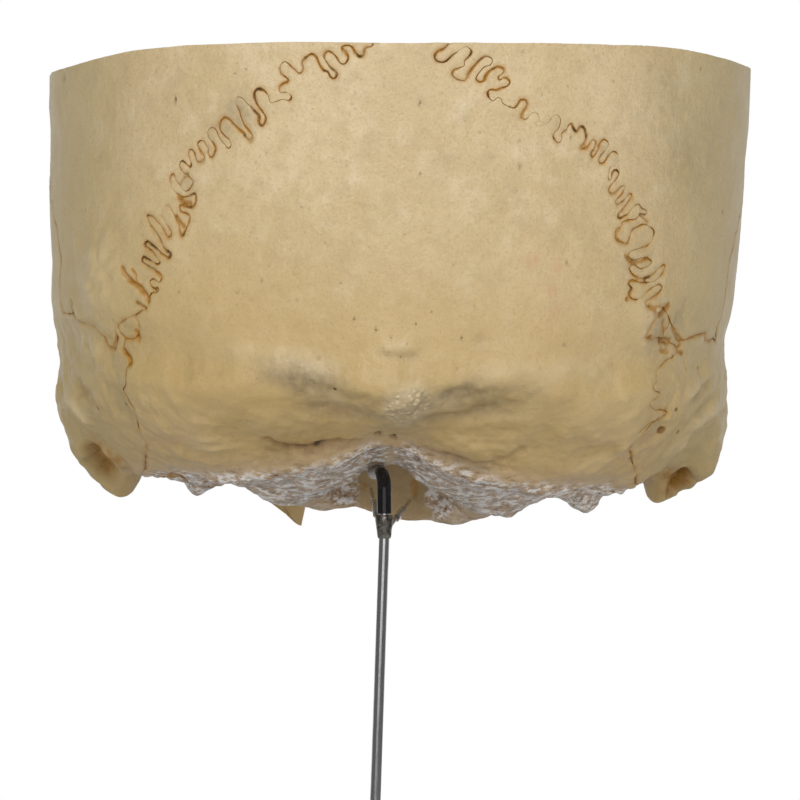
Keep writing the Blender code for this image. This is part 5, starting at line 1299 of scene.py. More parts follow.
def vertex_normals(vertices, faces):
    """Outward direction at each vertex."""
    a, b, c = (vertices[faces[:, i]] for i in range(3))
    square = np.cross(b - a, c - a)
    normals = np.zeros_like(vertices)
    for i in range(3):
        for axis in range(3):
            normals[:, axis] += np.bincount(faces[:, i], square[:, axis], len(vertices))
    return unit(normals)


def joined_columns(first, second):
    """Triangles between two neighbouring columns, each of places through the wall and vertices."""
    faces = []
    i = j = 0
    while i < len(first) - 1 or j < len(second) - 1:
        next_first = first[i + 1][0] if i < len(first) - 1 else math.inf
        next_second = second[j + 1][0] if j < len(second) - 1 else math.inf
        if next_second <= next_first:
            faces.append((first[i][1], second[j][1], second[j + 1][1]))
            j += 1
        else:
            faces.append((first[i][1], second[j][1], first[i + 1][1]))
            i += 1
    return faces


def bone_shape(lines, holes, extras, seam_marks):
    """Vertices, triangles, disc places and depth shares of one bone's closed surface."""
    base = chain(lines)
    lip = drawn_in(base, 0.5 * MM * (LEAST_GAP_MM + base[:, 3] * (MOST_GAP_MM - LEAST_GAP_MM)))
    core = drawn_in(base, np.full(len(base), 0.5 * MM * CORE_GAP_MM))
    at_cut = base[:, 2] > 0.5
    core[at_cut] = lip[at_cut]
    keep = untangled(lip) & untangled(core)
    lip, core, at_cut = lip[keep], core[keep], at_cut[keep]
    loops = [lip] + holes
    if len(extras):
        extras = extras[inside(extras, lip)]
    (outer_flat, outer_faces, outer_own), (inner_flat, inner_faces, inner_own) = (
        flat_mesh(loops, face_grid(loops, face, own, seam_marks))
        for face, own in (("outer", extras), ("inner", NO_PLACES)))
    outer, inner = outer_world(outer_flat), inner_world(inner_flat)
    start = len(outer) + len(inner)
    wall_flat = np.concatenate([core] + holes)
    wall_outer, wall_inner = outer_world(wall_flat), inner_world(wall_flat)
    thick = np.linalg.norm(wall_outer - wall_inner, axis=1)
    kinds = [("cut" if cut else "seam") for cut in at_cut] + ["hole"] * sum(map(len, holes))
    columns = []
    wall = []
    for i, kind in enumerate(kinds):
        if kind == "seam":
            lip_share = min(0.3, LIP_DEPTH_MM * MM / thick[i])
            rows = (lip_share, 0.5, 1.0 - lip_share)
        else:
            rows = np.linspace(0.0, 1.0, WALL_ROWS[kind])[1:-1]
        column = [(0.0, outer_own[i])]
        for share in rows:
            column.append((share, start + len(wall)))
            place = wall_outer[i] + share * (wall_inner[i] - wall_outer[i])
            wall.append((*place, *wall_flat[i], share))
        column.append((1.0, len(outer) + inner_own[i]))
        columns.append(column)
    wall_faces = []
    first = 0
    for loop in loops:
        for i in range(len(loop)):
            wall_faces += joined_columns(columns[first + i], columns[first + (i + 1) % len(loop)])
        first += len(loop)
    wall = np.array(wall)
    vertices = np.concatenate((outer, inner, wall[:, :3]))
    faces = np.concatenate((outer_faces[:, ::-1], inner_faces + len(outer), np.array(wall_faces)))
    places = np.concatenate((outer_flat, inner_flat, wall[:, 3:5]))
    shares = np.concatenate((np.zeros(len(outer)), np.ones(len(inner)), wall[:, 5]))
    return vertices, faces, places, shares


def hump(gap, width):
    """1 at no distance, falling away over a width."""
    return np.exp(-(gap / width) ** 2)


def bumps(points, rows, scale=1.0):
    """Bumps laid over each other, each a size in millimetres, a height and a seed."""
    total = np.zeros(len(points))
    for size, height, seed in rows:
        total += height * scale * value_noise(points, size * MM, seed)
    return total


def near_path(vertices, path, reach):
    """Which vertices come near a path, how far they are, and a share that fades at its ends."""
    low, high = path.min(axis=0) - reach, path.max(axis=0) + reach
    near = np.nonzero(np.all((vertices > low) & (vertices < high), axis=1))[0]
    if not len(near):
        return near, np.zeros(0), np.zeros(0)
    gap, place = nearest_on_path(vertices[near], path)
    if len(path) == 1:
        return near, gap, np.ones(len(near))
    along = place / (len(path) - 1)
    return near, gap, smooth_step(-0.05, 0.30, along) * smooth_step(-0.05, 0.30, 1.0 - along)


def seam_closeness(places, vertices, face):
    """How close each vertex is to a suture, 1 on it and 0 far off, and how open that suture is."""
    world = SEAM_OUTER if face == "outer" else SEAM_INNER
    close = np.zeros(len(places))
    open_share = np.zeros(len(places))
    for i in np.nonzero(marked(SEAM_MARKS, places))[0]:
        index = SEAM_TREE.find((places[i, 0], places[i, 1], 0.0))[1]
        point = vertices[i]
        gap = math.inf
        for other in (SEAM_BEFORE[index], SEAM_AFTER[index]):
            run = world[other] - world[index]
            size = run @ run
            t = min(max(((point - world[index]) @ run) / size, 0.0), 1.0) if size > 0.0 else 0.0
            gap = min(gap, math.dist(point, world[index] + t * run))
        close[i] = max(0.0, 1.0 - gap / (SEAM_FAR_MM * MM))
        open_share[i] = SEAM_OPEN[index]
    return close, open_share


def zone(places, azimuths, dips, soft):
    """1 inside a window of azimuth and dip, falling to 0 over a few degrees."""
    az, dip = np.degrees(chart_angles(places))
    turn = np.radians(az)
    along = np.degrees(np.arctan2(np.sin(turn), np.abs(np.cos(turn))))
    share = 1.0
    for (low, high), value in ((azimuths, along), (dips, dip)):
        share = share * smooth_step(low - soft, low + soft, value)
        share = share * smooth_step(-high - soft, -high + soft, -value)
    return share


def outer_relief(vertices, places):
    """Height of the outer face over the plain shell in metres, and the shades of its surface."""
    stains_and_shade, looks, lines = (np.zeros((len(vertices), 4)) for _ in SHADE_NAMES)
    height = bumps(vertices, OUTER_GRAIN, MM)
    for azimuths, dips, soft, rough_and_glint_look, grain in ROUGH_PARTS:
        share = zone(places, azimuths, dips, soft)
        own = np.nonzero(share)[0]
        height[own] += share[own] * MM * bumps(vertices[own], grain)
        # This share of the rougher look also paints glints and the shade of their hollows into the
        # colour
        looks[:, 1] += rough_and_glint_look * share
    crown = np.linalg.norm(places - on_shell([GRANULAR_PIXEL])[0], axis=1)
    granular = 1.0 - smooth_step(0.35, 1.0, crown * spread_at(places) / (GRANULAR_REACH_MM * MM))
    granules = 0.30 * np.abs(value_noise(vertices, 1.5 * MM, 41))
    height += granular * MM * (granules + 0.12 * value_noise(vertices, 1.35 * MM, 32))
    looks[:, 0] += 0.9 * granular
    # Swells: brown and grey on sunken ones are partly painted shade, and the paler share on raised
    # ones is a painted highlight
    for path, width, rise, orange, brown, grey, pale_and_highlight in SWELLS_WORLD:
        near, gap, fade = near_path(vertices, path, 3.0 * width)
        ragged = gap * (1.0 + 0.35 * value_noise(vertices[near], 3.4 * MM, 52))
        uneven = 1.0 + 0.3 * value_noise(vertices[near], 2.0 * MM, 51)
        share = fade * hump(ragged, width) * uneven
        height[near] += RELIEF_SHARE * rise * share
        stains_and_shade[near] += share[:, None] * np.array((orange, brown, grey, 0.0))
        looks[near, 0] += share * pale_and_highlight
    for path, width, depth, orange, brown in CRACKS_WORLD:
        near, gap, _ = near_path(vertices, path, 4.0 * width)
        gap = gap * (1.0 + 0.5 * value_noise(vertices[near], 1.1 * MM, 53))
        height[near] -= depth * hump(gap, width)
        stains_and_shade[near] += hump(gap, 1.15 * width)[:, None] * np.array((orange, brown, 0.0, 0.0))
    for path, width, depth, orange, brown in PITS_WORLD:
        near, gap, _ = near_path(vertices, path, 3.0 * width)
        height[near] -= depth * (1.0 - smooth_step(0.35 * width, 1.05 * width, gap))
        halo = 1.0 - smooth_step(0.8 * width, 1.5 * width, gap)
        stains_and_shade[near] += halo[:, None] * np.array((orange, brown, 0.0, 0.0))
    # Patches of stain, some of them grey-brown painted shade
    for path, width, *shares in PATCHES_WORLD:
        near, gap, _ = near_path(vertices, path, 2.5 * width)
        share = hump(gap, width) * (0.8 + 0.5 * value_noise(vertices[near], 1.1 * MM, 61))
        stains_and_shade[near] += share[:, None] * np.array(shares)
    close, open_share = seam_closeness(places, vertices, "outer")
    gap_mm = (1.0 - close) * SEAM_FAR_MM
    shut_depth, open_depth = SEAM_GROOVE_MM
    groove = MM * (shut_depth + open_depth * open_share) * hump(gap_mm, SEAM_GROOVE_WIDTH_MM)
    lip = MM * SEAM_LIP_MM * hump(gap_mm - SEAM_LIP_AWAY_MM, SEAM_LIP_WIDTH_MM)
    height -= groove * (close > 0.0)
    height += lip * (close > 0.0)
    lines[:, 0], lines[:, 1] = close, open_share
    return height, np.clip(stains_and_shade, 0.0, 1.0), np.clip(looks, 0.0, 1.0), lines


def inner_relief(vertices, places):
    """Height of the inner face over the plain shell in metres, and the shades of its surface."""
    stains_and_shade, looks, lines = (np.zeros((len(vertices), 4)) for _ in SHADE_NAMES)
    height = bumps(vertices, INNER_GRAIN, MM)
    looks[:, 2] = 1.0
    for path, width, depth in INNER_GROOVES_WORLD:
        near, gap, _ = near_path(vertices, path, 3.0 * width)
        share = hump(gap, width)
        height[near] -= depth * share
        stains_and_shade[near, 1] += 0.45 * share
        stains_and_shade[near, 0] += 0.2 * share
    close, open_share = seam_closeness(places, vertices, "inner")
    gap_mm = (1.0 - close) * SEAM_FAR_MM
    height -= MM * INNER_SEAM_MM * hump(gap_mm, INNER_SEAM_WIDTH_MM) * (close > 0.0)
    lines[:, 0], lines[:, 1] = close, 0.5 * open_share
    return height, np.clip(stains_and_shade, 0.0, 1.0), looks, lines


def new_mesh(name, vertices, faces, finish):
    """One named mesh object with its material, shaded smooth."""
    mesh = bpy.data.meshes.new(name)
    mesh.vertices.add(len(vertices))
    mesh.vertices.foreach_set("co", np.asarray(vertices, np.float32).ravel())
    faces = np.asarray(faces, np.int32)
    mesh.loops.add(faces.size)
    mesh.loops.foreach_set("vertex_index", faces.ravel())
    mesh.polygons.add(len(faces))
    starts = np.arange(0, faces.size, faces.shape[1], dtype=np.int32)
    mesh.polygons.foreach_set("loop_start", starts)
    mesh.update(calc_edges=True)
    mesh.validate()
    mesh.materials.append(finish)
    item = bpy.data.objects.new(name, mesh)
    bpy.context.scene.collection.objects.link(item)
    return item


def shade(item, sharp_degrees):
    """Shade smooth, with true edges kept sharp."""
    item.data.shade_smooth()
    item.data.set_sharp_from_angle(angle=math.radians(sharp_degrees))
    return item


def keep_shades(item, shades):
    """Store the shades of a surface on its vertices."""
    for name, values in shades.items():
        layer = item.data.attributes.new(name, "FLOAT_COLOR", "POINT")
        layer.data.foreach_set("color", np.asarray(values, np.float32).ravel())


def wall_shades(vertices, places, shares, shades):
    """Shade the faces through the wall of a bone, and give their height."""
    x, y, z = vertices.T
    wall = (shares > 0.0) & (shares < 1.0)
    dip = np.degrees(cut_dip(np.arctan2(places[:, 1], places[:, 0])))
    at_cut = np.abs(np.hypot(places[:, 0], places[:, 1]) - 90.0 + dip) < 0.02
    cut = wall & at_cut
    spongy = smooth_step(*SPONGY_SHARES, shares) * smooth_step(*SPONGY_SHARES, 1.0 - shares) * cut
    pores = np.maximum(0.0, value_noise(vertices, 1.1 * MM, 81) - 0.05)
    height = -spongy * MM * (0.9 * pores + 0.15)
    shades["looks"][cut, 3] = np.clip(0.35 + 0.65 * spongy[cut], 0.0, 1.0)
    shades["stains_and_shade"][cut, 1] = np.clip(1.3 * pores[cut] * spongy[cut], 0.0, 1.0)
    shades["lines"][wall & ~at_cut] = (1.0, 0.6, 0.0, 0.0)

    ahead = (y > HOLE_AHEAD[0]) & (y < HOLE_AHEAD[1])
    hole = wall & (np.abs(x - CENTRE_ASIDE) < HOLE_ASIDE) & ahead & (z < HOLE_TOP)
    ragged = x + 2.2 * MM * value_noise(vertices, 2.6 * MM, 94)
    front = (hole * smooth_step(*FRONT_WALL_AHEAD, y) * smooth_step(*FRONT_WALL_LEFT, ragged)
             * smooth_step(*FRONT_WALL_RIGHT, -ragged))
    blot = np.clip(0.5 + value_noise(vertices, 2.6 * MM, 93), 0.0, 1.0)
    shades["lines"][hole] = 0.0
    # All of the foramen's walls but the front window take the rougher look, with its painted glints
    shades["looks"][hole, 1] = 1.0 - 0.8 * front[hole]
    shades["stains_and_shade"][hole, 0] = np.clip(3.0 * blot[hole] - 1.6, 0.0, 0.8) * front[hole]
    shades["stains_and_shade"][hole, 1] = 0.36 * front[hole]
    crags = np.abs(value_noise(vertices, 2.2 * MM, 91)) + 0.5 * value_noise(vertices, 1.1 * MM, 92)
    return height + hole * MM * 0.9 * crags * (1.0 - front)


def fine_bone(name, lines, holes, finish, extras):
    """One bone of the shell with its relief and the shades of its surface."""
    vertices, faces, places, shares = bone_shape(lines, holes, extras, SEAM_MARKS)
    height = np.zeros(len(vertices))
    shades = {shade_name: np.zeros((len(vertices), 4)) for shade_name in SHADE_NAMES}
    for share, relief in ((0.0, outer_relief), (1.0, inner_relief)):
        own = np.nonzero(shares == share)[0]
        height[own], *values = relief(vertices[own], places[own])
        for shade_name, value in zip(SHADE_NAMES, values):
            shades[shade_name][own] = value
    height += wall_shades(vertices, places, shares, shades)
    vertices = vertices + vertex_normals(vertices, faces) * height[:, None]
    item = new_mesh(name, vertices, faces, finish)
    keep_shades(item, shades)
    return shade(item, BONE_SHARP_DEGREES)


def traced_lines(pixel_lists, steps=6):
    """Smooth lines through pixels of the view, as disc places and as points of the outer face."""
    sizes = np.cumsum([len(pixels) for pixels in pixel_lists])[:-1]
    pixels = np.concatenate([np.array(row, float) for row in pixel_lists])
    corners = np.split(on_shell(pixels), sizes)
    places = [rounded_line(line, steps) for line in corners]
    sizes = np.cumsum([len(line) for line in places])[:-1]
    return list(zip(places, np.split(outer_world(np.concatenate(places)), sizes)))


def ring_places(middle, radii, count):
    """Places on the disc on circles of the outer face about a place."""
    middle = np.atleast_2d(middle)
    axes = surface_axes(middle)
    across = unit(axes[0])
    up = unit(np.cross(np.cross(*axes), across))
    made = [middle[0]]
    for radius in radii:
        for i in range(count):
            angle = math.tau * i / count
            move = radius * (across * math.cos(angle) + up * math.sin(angle))
            made.append(middle[0] + chart_move(axes, move)[0])
    return made


def band_places(places, width):
    """Places on the disc along a line and beside it, at steps of its width."""
    places = evenly(places, max(0.3, 0.9 * width / MM) * COARSER)
    axes, _, side = line_frame(places)
    return np.concatenate([places + chart_move(axes, step * width * side) for step in BAND_STEPS])


def spaced_out(points, least_mm):
    """Places with those left out that lie too close to one before them."""
    least = least_mm * MM / spread_at(points)
    kept = []
    for point, gap in zip(points, least):
        if not kept or np.min(np.linalg.norm(np.array(kept) - point, axis=1)) > gap:
            kept.append(point)
    return np.array(kept)


feature_lines = iter(traced_lines([row[0] for row in SWELLS + CRACKS]
                                  + [[row[0]] for row in PITS + PATCHES]))
swell_lines, crack_lines, pit_lines, patch_lines = (
    [next(feature_lines) for row in rows] for rows in (SWELLS, CRACKS, PITS, PATCHES))
SWELLS_WORLD, CRACKS_WORLD, PITS_WORLD = (
    [(line[1], width * MM, height * MM, *shares)
     for line, (_, width, height, *shares) in zip(lines, rows)]
    for lines, rows in ((swell_lines, SWELLS), (crack_lines, CRACKS), (pit_lines, PITS)))
PATCHES_WORLD = [(line[1], radius * MM, *shares)
                 for line, (_, radius, *shares) in zip(patch_lines, PATCHES)]
INNER_GROOVES_WORLD = []
for corners, groove_width, groove_depth in INNER_GROOVES:
    line = rounded_line([chart_point(*corner) for corner in corners], 8)
    INNER_GROOVES_WORLD.append((inner_world(line), groove_width * MM, groove_depth * MM))
detail_places = []
for (pit_place, _), (_, radius, *_) in zip(pit_lines, PITS):
    radii = [share * radius * MM for share in (0.5, 1.0, 1.5)]
    detail_places += ring_places(pit_place[0], radii, 9)
for (crack_places, _), (_, width, *_) in zip(crack_lines, CRACKS):
    detail_places += list(band_places(crack_places, width * MM))
DETAIL_PLACES = spaced_out(np.array(detail_places), DETAIL_GAP_MM)

for seam_side in BOTH_SIDES:
    for seam_name in (*SEAM_DEGREES, *TRACED_NAMES):
        seam(seam_name, seam_side)
SPHENO_OCCIPITAL = middle_line((79, 61.8), (90, 61.2), 91)
ETHMOID_BACK = middle_line((80, 30.5), (90, 31), 92)
ETHMOID_FRONT = middle_line((84, 17.8), (90, 17.2), 93)
all_seams = list(SEAMS.values()) + [SPHENO_OCCIPITAL, ETHMOID_BACK, ETHMOID_FRONT]
SEAM_PLACES = np.concatenate([line[:, :2] for line in all_seams])
SEAM_OPEN = np.concatenate([line[:, 3] for line in all_seams])
SEAM_OUTER = outer_world(SEAM_PLACES)
SEAM_INNER = inner_world(SEAM_PLACES)
first_place = 0
SEAM_BEFORE = np.arange(len(SEAM_PLACES)) - 1
SEAM_AFTER = np.arange(len(SEAM_PLACES)) + 1
for line in all_seams:
    SEAM_BEFORE[first_place] = first_place
    first_place += len(line)
    SEAM_AFTER[first_place - 1] = first_place - 1
SEAM_TREE = tree_of(SEAM_PLACES)
SEAM_MARKS = near_map(SEAM_PLACES)


# Materials


class Nodes:
    """A node tree, built up one node at a time."""

    def __init__(self, tree):
        self.tree = tree

    def node(self, kind, **settings):
        """A new node with some of its settings."""
        made = self.tree.nodes.new(kind)
        for key, value in settings.items():
            setattr(made, key, value)
        return made

    def put(self, socket, value):
        """Set a socket to a number or colour, or link it to another socket."""
        if isinstance(value, bpy.types.NodeSocket):
            self.tree.links.new(value, socket)
        elif isinstance(value, tuple) and len(value) == 3 and socket.type == "RGBA":
            socket.default_value = (*value, 1.0)
        else:
            socket.default_value = value

    def math(self, operation, first, second=0.0, clamp=False):
        """One operation on two values."""
        made = self.node("ShaderNodeMath", operation=operation, use_clamp=clamp)
        self.put(made.inputs[0], first)
        self.put(made.inputs[1], second)
        return made.outputs[0]

    def product(self, *values):
        """Values multiplied together, the last two first."""
        result = values[-1]
        for value in values[-2::-1]:
            result = self.math("MULTIPLY", value, result)
        return result

    def rise(self, value, low, high, least=0.0, most=1.0):
        """Map a value smoothly from low..high to least..most."""
        made = self.node("ShaderNodeMapRange", interpolation_type="SMOOTHSTEP")
        for index, number in enumerate((value, low, high, least, most)):
            self.put(made.inputs[index], number)
        return made.outputs[0]

    def split(self, kind, value):
        """The parts of a vector (XYZ) or of a colour (Color)."""
        parts = self.node("ShaderNodeSeparate" + kind)
        self.put(parts.inputs[0], value)
        return parts.outputs

    def over(self, colour, *layers):
        """Lay colours over each other, each with its share."""
        for share, tone in layers:
            made = self.node("ShaderNodeMix", data_type="RGBA")
            self.put(made.inputs["Factor"], share)
            self.put(made.inputs[6], colour)
            self.put(made.inputs[7], tone)
            colour = made.outputs[2]
        return colour

    def mixed(self, share, first, second):
        """A mix of two shaders."""
        made = self.node("ShaderNodeMixShader")
        for index, value in enumerate((share, first, second)):
            self.put(made.inputs[index], value)
        return made.outputs[0]


class Surface(Nodes):
    """A material that starts from the places on its object."""

    def __init__(self, name):
        self.material = bpy.data.materials.new(name)
        self.material.use_nodes = True
        super().__init__(self.material.node_tree)
        self.shader = self.tree.nodes["Principled BSDF"]
        self.where = self.node("ShaderNodeTexCoord").outputs["Object"]

    def noise(self, size_mm, detail=2.0, roughness=0.5, stretch=None):
        """Noise with bumps of about this size, squeezed or stretched along each axis."""
        where = self.where
        if stretch:
            mapping = self.node("ShaderNodeMapping", vector_type="POINT")
            self.put(mapping.inputs["Vector"], where)
            mapping.inputs["Scale"].default_value = stretch
            where = mapping.outputs[0]
        made = self.node("ShaderNodeTexNoise")
        self.put(made.inputs["Vector"], where)
        made.inputs["Scale"].default_value = 1000.0 / size_mm
        made.inputs["Detail"].default_value = detail
        made.inputs["Roughness"].default_value = roughness
        return made.outputs[0]

    def cells(self, size_mm, where):
        """Distance from the middle of scattered cells, and a colour for each cell."""
        made = self.node("ShaderNodeTexVoronoi")
        self.put(made.inputs["Vector"], where)
        made.inputs["Scale"].default_value = 1000.0 / size_mm
        return made.outputs["Distance"], made.outputs["Color"]

    def wobbled(self):
        """The surface's places, pushed about a little so that spots aren't round."""
        push = self.node("ShaderNodeTexNoise")
        self.put(push.inputs["Vector"], self.where)
        push.inputs["Scale"].default_value = WOBBLE_SCALE
        push.inputs["Detail"].default_value = 1.0
        made = self.node("ShaderNodeVectorMath", operation="MULTIPLY_ADD")
        for index, value in enumerate((push.outputs["Color"], (WOBBLE_REACH,) * 3, self.where)):
            self.put(made.inputs[index], value)
        return made.outputs[0]

    def stored(self, name):
        """The four values stored under a name on the surface."""
        found = self.node("ShaderNodeAttribute", attribute_name=name)
        return (*self.split("Color", found.outputs["Color"]), found.outputs["Alpha"])

    def bumps(self, *layers):
        """Lay bumps over each other, each a height, its depth in millimetres and its strength."""
        normal = None
        for height, depth_mm, strength in layers:
            made = self.node("ShaderNodeBump")
            self.put(made.inputs["Height"], height)
            made.inputs["Distance"].default_value = depth_mm * MM
            self.put(made.inputs["Strength"], strength)
            if normal is not None:
                self.put(made.inputs["Normal"], normal)
            normal = made.outputs[0]
        self.put(self.shader.inputs["Normal"], normal)

    def finished(self, values):
        """Set the shader's inputs, and give the material."""
        for name, value in values.items():
            self.put(self.shader.inputs[name], value)
        return self.material


WOBBLE_SCALE = 900.0
WOBBLE_REACH = 0.0008

# Tones of the bone
IVORY = (0.640, 0.500, 0.292)
IVORY_PALE = (0.700, 0.575, 0.375)
IVORY_DEEP = (0.565, 0.425, 0.225)
# Partly stain and partly painted shade of the underside
LOW_STAIN_AND_SHADE_TONE = (0.480, 0.322, 0.105)
# Painted shade of the sides, which turn away from the light
SIDE_SHADE_TONE = (0.43, 0.335, 0.150)
DUST = (0.43, 0.31, 0.155)
CLOUD_DEEP = (0.46, 0.345, 0.185)
CLOUD_PALE = (0.70, 0.56, 0.34)
SPECK_WARM = (0.36, 0.20, 0.075)
SPECK_DEEP = (0.20, 0.13, 0.07)
GRANULE = (0.66, 0.53, 0.30)
GRANULE_GAP = (0.36, 0.26, 0.13)
ROUGH_BONE = (0.56, 0.40, 0.29)
# Painted shade in the hollows between the painted glints on the rougher bone
ROUGH_HOLLOW_SHADE = (0.13, 0.062, 0.032)
# Painted glints: white specks standing in for reflections on the rougher bone
PAINTED_GLINT_TONE = (1.0, 0.96, 0.92)
SPONGY_BONE = (0.50, 0.34, 0.17)
STAIN_ORANGE = (0.43, 0.190, 0.006)
# Brown and grey are stain, and in the sunken bands of the back also painted shade
BROWN_STAIN_AND_SHADE = (0.13, 0.070, 0.030)
GREY_STAIN_AND_SHADE = (0.29, 0.250, 0.150)
STAIN_RED = (0.52, 0.250, 0.150)
# Painted shade inside pits and small holes, where the brown share nears 1
HOLE_SHADE_BLACK = (0.035, 0.018, 0.008)
SEAM_ORANGE = (0.40, 0.180, 0.012)
SEAM_DARK = (0.050, 0.032, 0.018)

# Noises of the bone: size in millimetres, detail, roughness and stretch
BONE_NOISES = {
    "broad": (26.0, 3.0, 0.55), "middle": (7.0, 3.0, 0.6), "cloud": (3.2, 4.0, 0.65),
    "fine": (1.6, 3.0, 0.6), "fibre": (0.9, 2.0, 0.5, (1.0, 1.0, 0.22)),
    "dust": (0.55, 3.0, 0.7), "grain": (0.35, 2.0, 0.6), "crag": (1.1, 4.0, 0.7),
    "glint": (1.5, 5.0, 0.72, (0.6, 0.8, 1.3)), "wander": (0.8, 1.0), "break": (3.1, 2.0),
    "dark": (4.0, 2.0),
}
# Mottles over the ivory: noise, where it starts and is full, its share there and its tone
MOTTLES = (
    ("broad", 0.32, 0.68, 1.0, IVORY_DEEP), ("middle", 0.48, 0.78, 0.70, IVORY_PALE),
    ("middle", 0.46, 0.22, 0.45, IVORY_DEEP), ("fine", 0.55, 0.80, 0.35, IVORY_PALE),
    ("fibre", 0.50, 0.75, 0.22, IVORY_DEEP), ("dust", 0.50, 0.74, 0.70, DUST),
    ("dust", 0.48, 0.22, 0.35, IVORY_PALE), ("cloud", 0.48, 0.68, 0.40, CLOUD_DEEP),
    ("cloud", 0.46, 0.26, 0.40, CLOUD_PALE),
)
# Specks: size of their cells in millimetres, radius in cells, how rare, greatest share and tone
SPECKS = (
    (4.2, 0.10, 0.50, 0.36, BROWN_STAIN_AND_SHADE), (9.0, 0.045, 0.5, 0.70, BROWN_STAIN_AND_SHADE),
    (2.3, 0.12, 0.52, 0.42, SPECK_WARM), (1.2, 0.13, 0.62, 0.34, SPECK_DEEP),
)
# Warmer and darker tones low on the skull, partly stain and partly painted shade of its underside,
# and painted shade at its sides
WARM_LEAN = 0.14
WARM_WANDER = 0.030
LOW_STAIN_AND_SHADE_HEIGHTS = (0.186, 0.118)
LOW_STAIN_AND_SHADE_SHARE = 0.80
# Painted shade: darker towards the sides
SIDE_SHADE_FROM = (0.040, 0.066)
SIDE_SHADE_SHARE = 0.60
# Sizes of the granules of the knob and of the pores
GRANULE_MM = 1.15
PORE_MM = 1.4


def bone_colour(made, noises, stains_and_shade, looks, lines, granular, lump):
    """Colour of the bone: its mottles, specks, rougher parts with painted glints and painted shade
    in their hollows, stain, painted shade low down, at the sides and in holes, and sutures.
    """
    orange, brown, grey, red = stains_and_shade
    pale_and_highlight, rough_and_glinting, inner, cut = looks
    close, open_share = lines
    colour = made.over(IVORY, *[(made.rise(noises[name], low, high, 0.0, share), tone)
                                for name, low, high, share, tone in MOTTLES])
    place = made.split("XYZ", made.where)
    # Painted shade, partly stain: warmer and darker low on the skull
    low = made.math("ADD", place["Z"], made.product(place["X"], WARM_LEAN))
    wander = made.math("SUBTRACT", noises["broad"], 0.5)
    low = made.math("ADD", low, made.product(wander, WARM_WANDER))
    # Painted shade: darker towards the sides of the skull
    aside = made.math("ABSOLUTE", made.math("SUBTRACT", place["X"], CENTRE_ASIDE))
    colour = made.over(colour, (made.rise(low, *LOW_STAIN_AND_SHADE_HEIGHTS, 0.0, LOW_STAIN_AND_SHADE_SHARE), LOW_STAIN_AND_SHADE_TONE),
                       (made.rise(aside, *SIDE_SHADE_FROM, 0.0, SIDE_SHADE_SHARE), SIDE_SHADE_TONE),
                       # Paler at the granular knob, and a painted highlight on raised swells
                       (made.product(pale_and_highlight, 0.75), IVORY_PALE))
    for size, radius, rare, share, tone in SPECKS:
        distance, tint = made.cells(size, made.wobbled())
        parts = made.split("Color", tint)
        spot = made.rise(distance, made.product(parts[1], radius * 2.0), 0.0)
        shown = made.rise(parts[0], rare, rare + 0.1, 0.0, share)
        colour = made.over(colour, (made.product(spot, shown), tone))
    # Painted glints: white specks on the rougher bone, where the glint noise is high, stand in for
    # reflections
    glint = made.product(made.rise(noises["glint"], 0.475, 0.56), made.rise(rough_and_glinting, 0.45, 0.85))
    # Painted shade: darker where the glint noise is low, in the hollows of the rougher bone
    hollow = made.product(made.rise(noises["glint"], 0.44, 0.34), made.rise(rough_and_glinting, 0.3, 0.8))
    wear = made.rise(noises["fine"], 0.25, 0.7, 0.55, 1.0)
    gap = made.product(made.math("SUBTRACT", 1.0, close), SEAM_FAR_MM)
    colour = made.over(
        colour,
        (made.product(granular, made.math("SUBTRACT", 0.65, lump, True)), GRANULE_GAP),
        (made.product(granular, lump), GRANULE),
        (made.product(rough_and_glinting, 0.75), ROUGH_BONE),
        (made.product(hollow, 0.85), ROUGH_HOLLOW_SHADE),
        (made.product(glint, 0.95), PAINTED_GLINT_TONE),
        (made.product(inner, made.rise(noises["broad"], 0.35, 0.65, 0.1, 0.45)), IVORY_DEEP),
        (made.product(cut, 0.85), SPONGY_BONE),
        # Grey and brown: stain, and painted shade in the sunken bands of the back
        (made.product(grey, wear, 0.65), GREY_STAIN_AND_SHADE),
        (made.product(made.rise(orange, 0.06, 0.62), wear, 0.92), STAIN_ORANGE),
        (made.product(brown, wear, 0.80), BROWN_STAIN_AND_SHADE),
        # Painted shade: black where the brown share nears 1, inside pits and small holes
        (made.rise(brown, 0.78, 1.0, 0.0, 0.9), HOLE_SHADE_BLACK),
        (made.product(red, wear, 0.60), STAIN_RED),
        (made.product(made.rise(gap, 1.2, 0.1, 0.0, 0.42), open_share), STAIN_ORANGE))
    widest = made.math("ADD", 0.12, made.product(open_share, 0.52))
    edge = made.math("ADD", 0.10, made.product(noises["wander"], widest))
    seen = made.product(made.rise(open_share, 0.02, 0.50, 0.50, 1.0),
                        made.rise(noises["break"], 0.38, 0.58, 0.20, 1.0))
    line = made.product(made.rise(gap, edge, 0.03), seen)
    dark = made.product(made.rise(noises["dark"], 0.48, 0.62), made.rise(open_share, 0.25, 0.7))
    return made.over(colour, (made.product(line, 0.85), SEAM_ORANGE),
                     (made.product(line, dark, 0.8), SEAM_DARK))


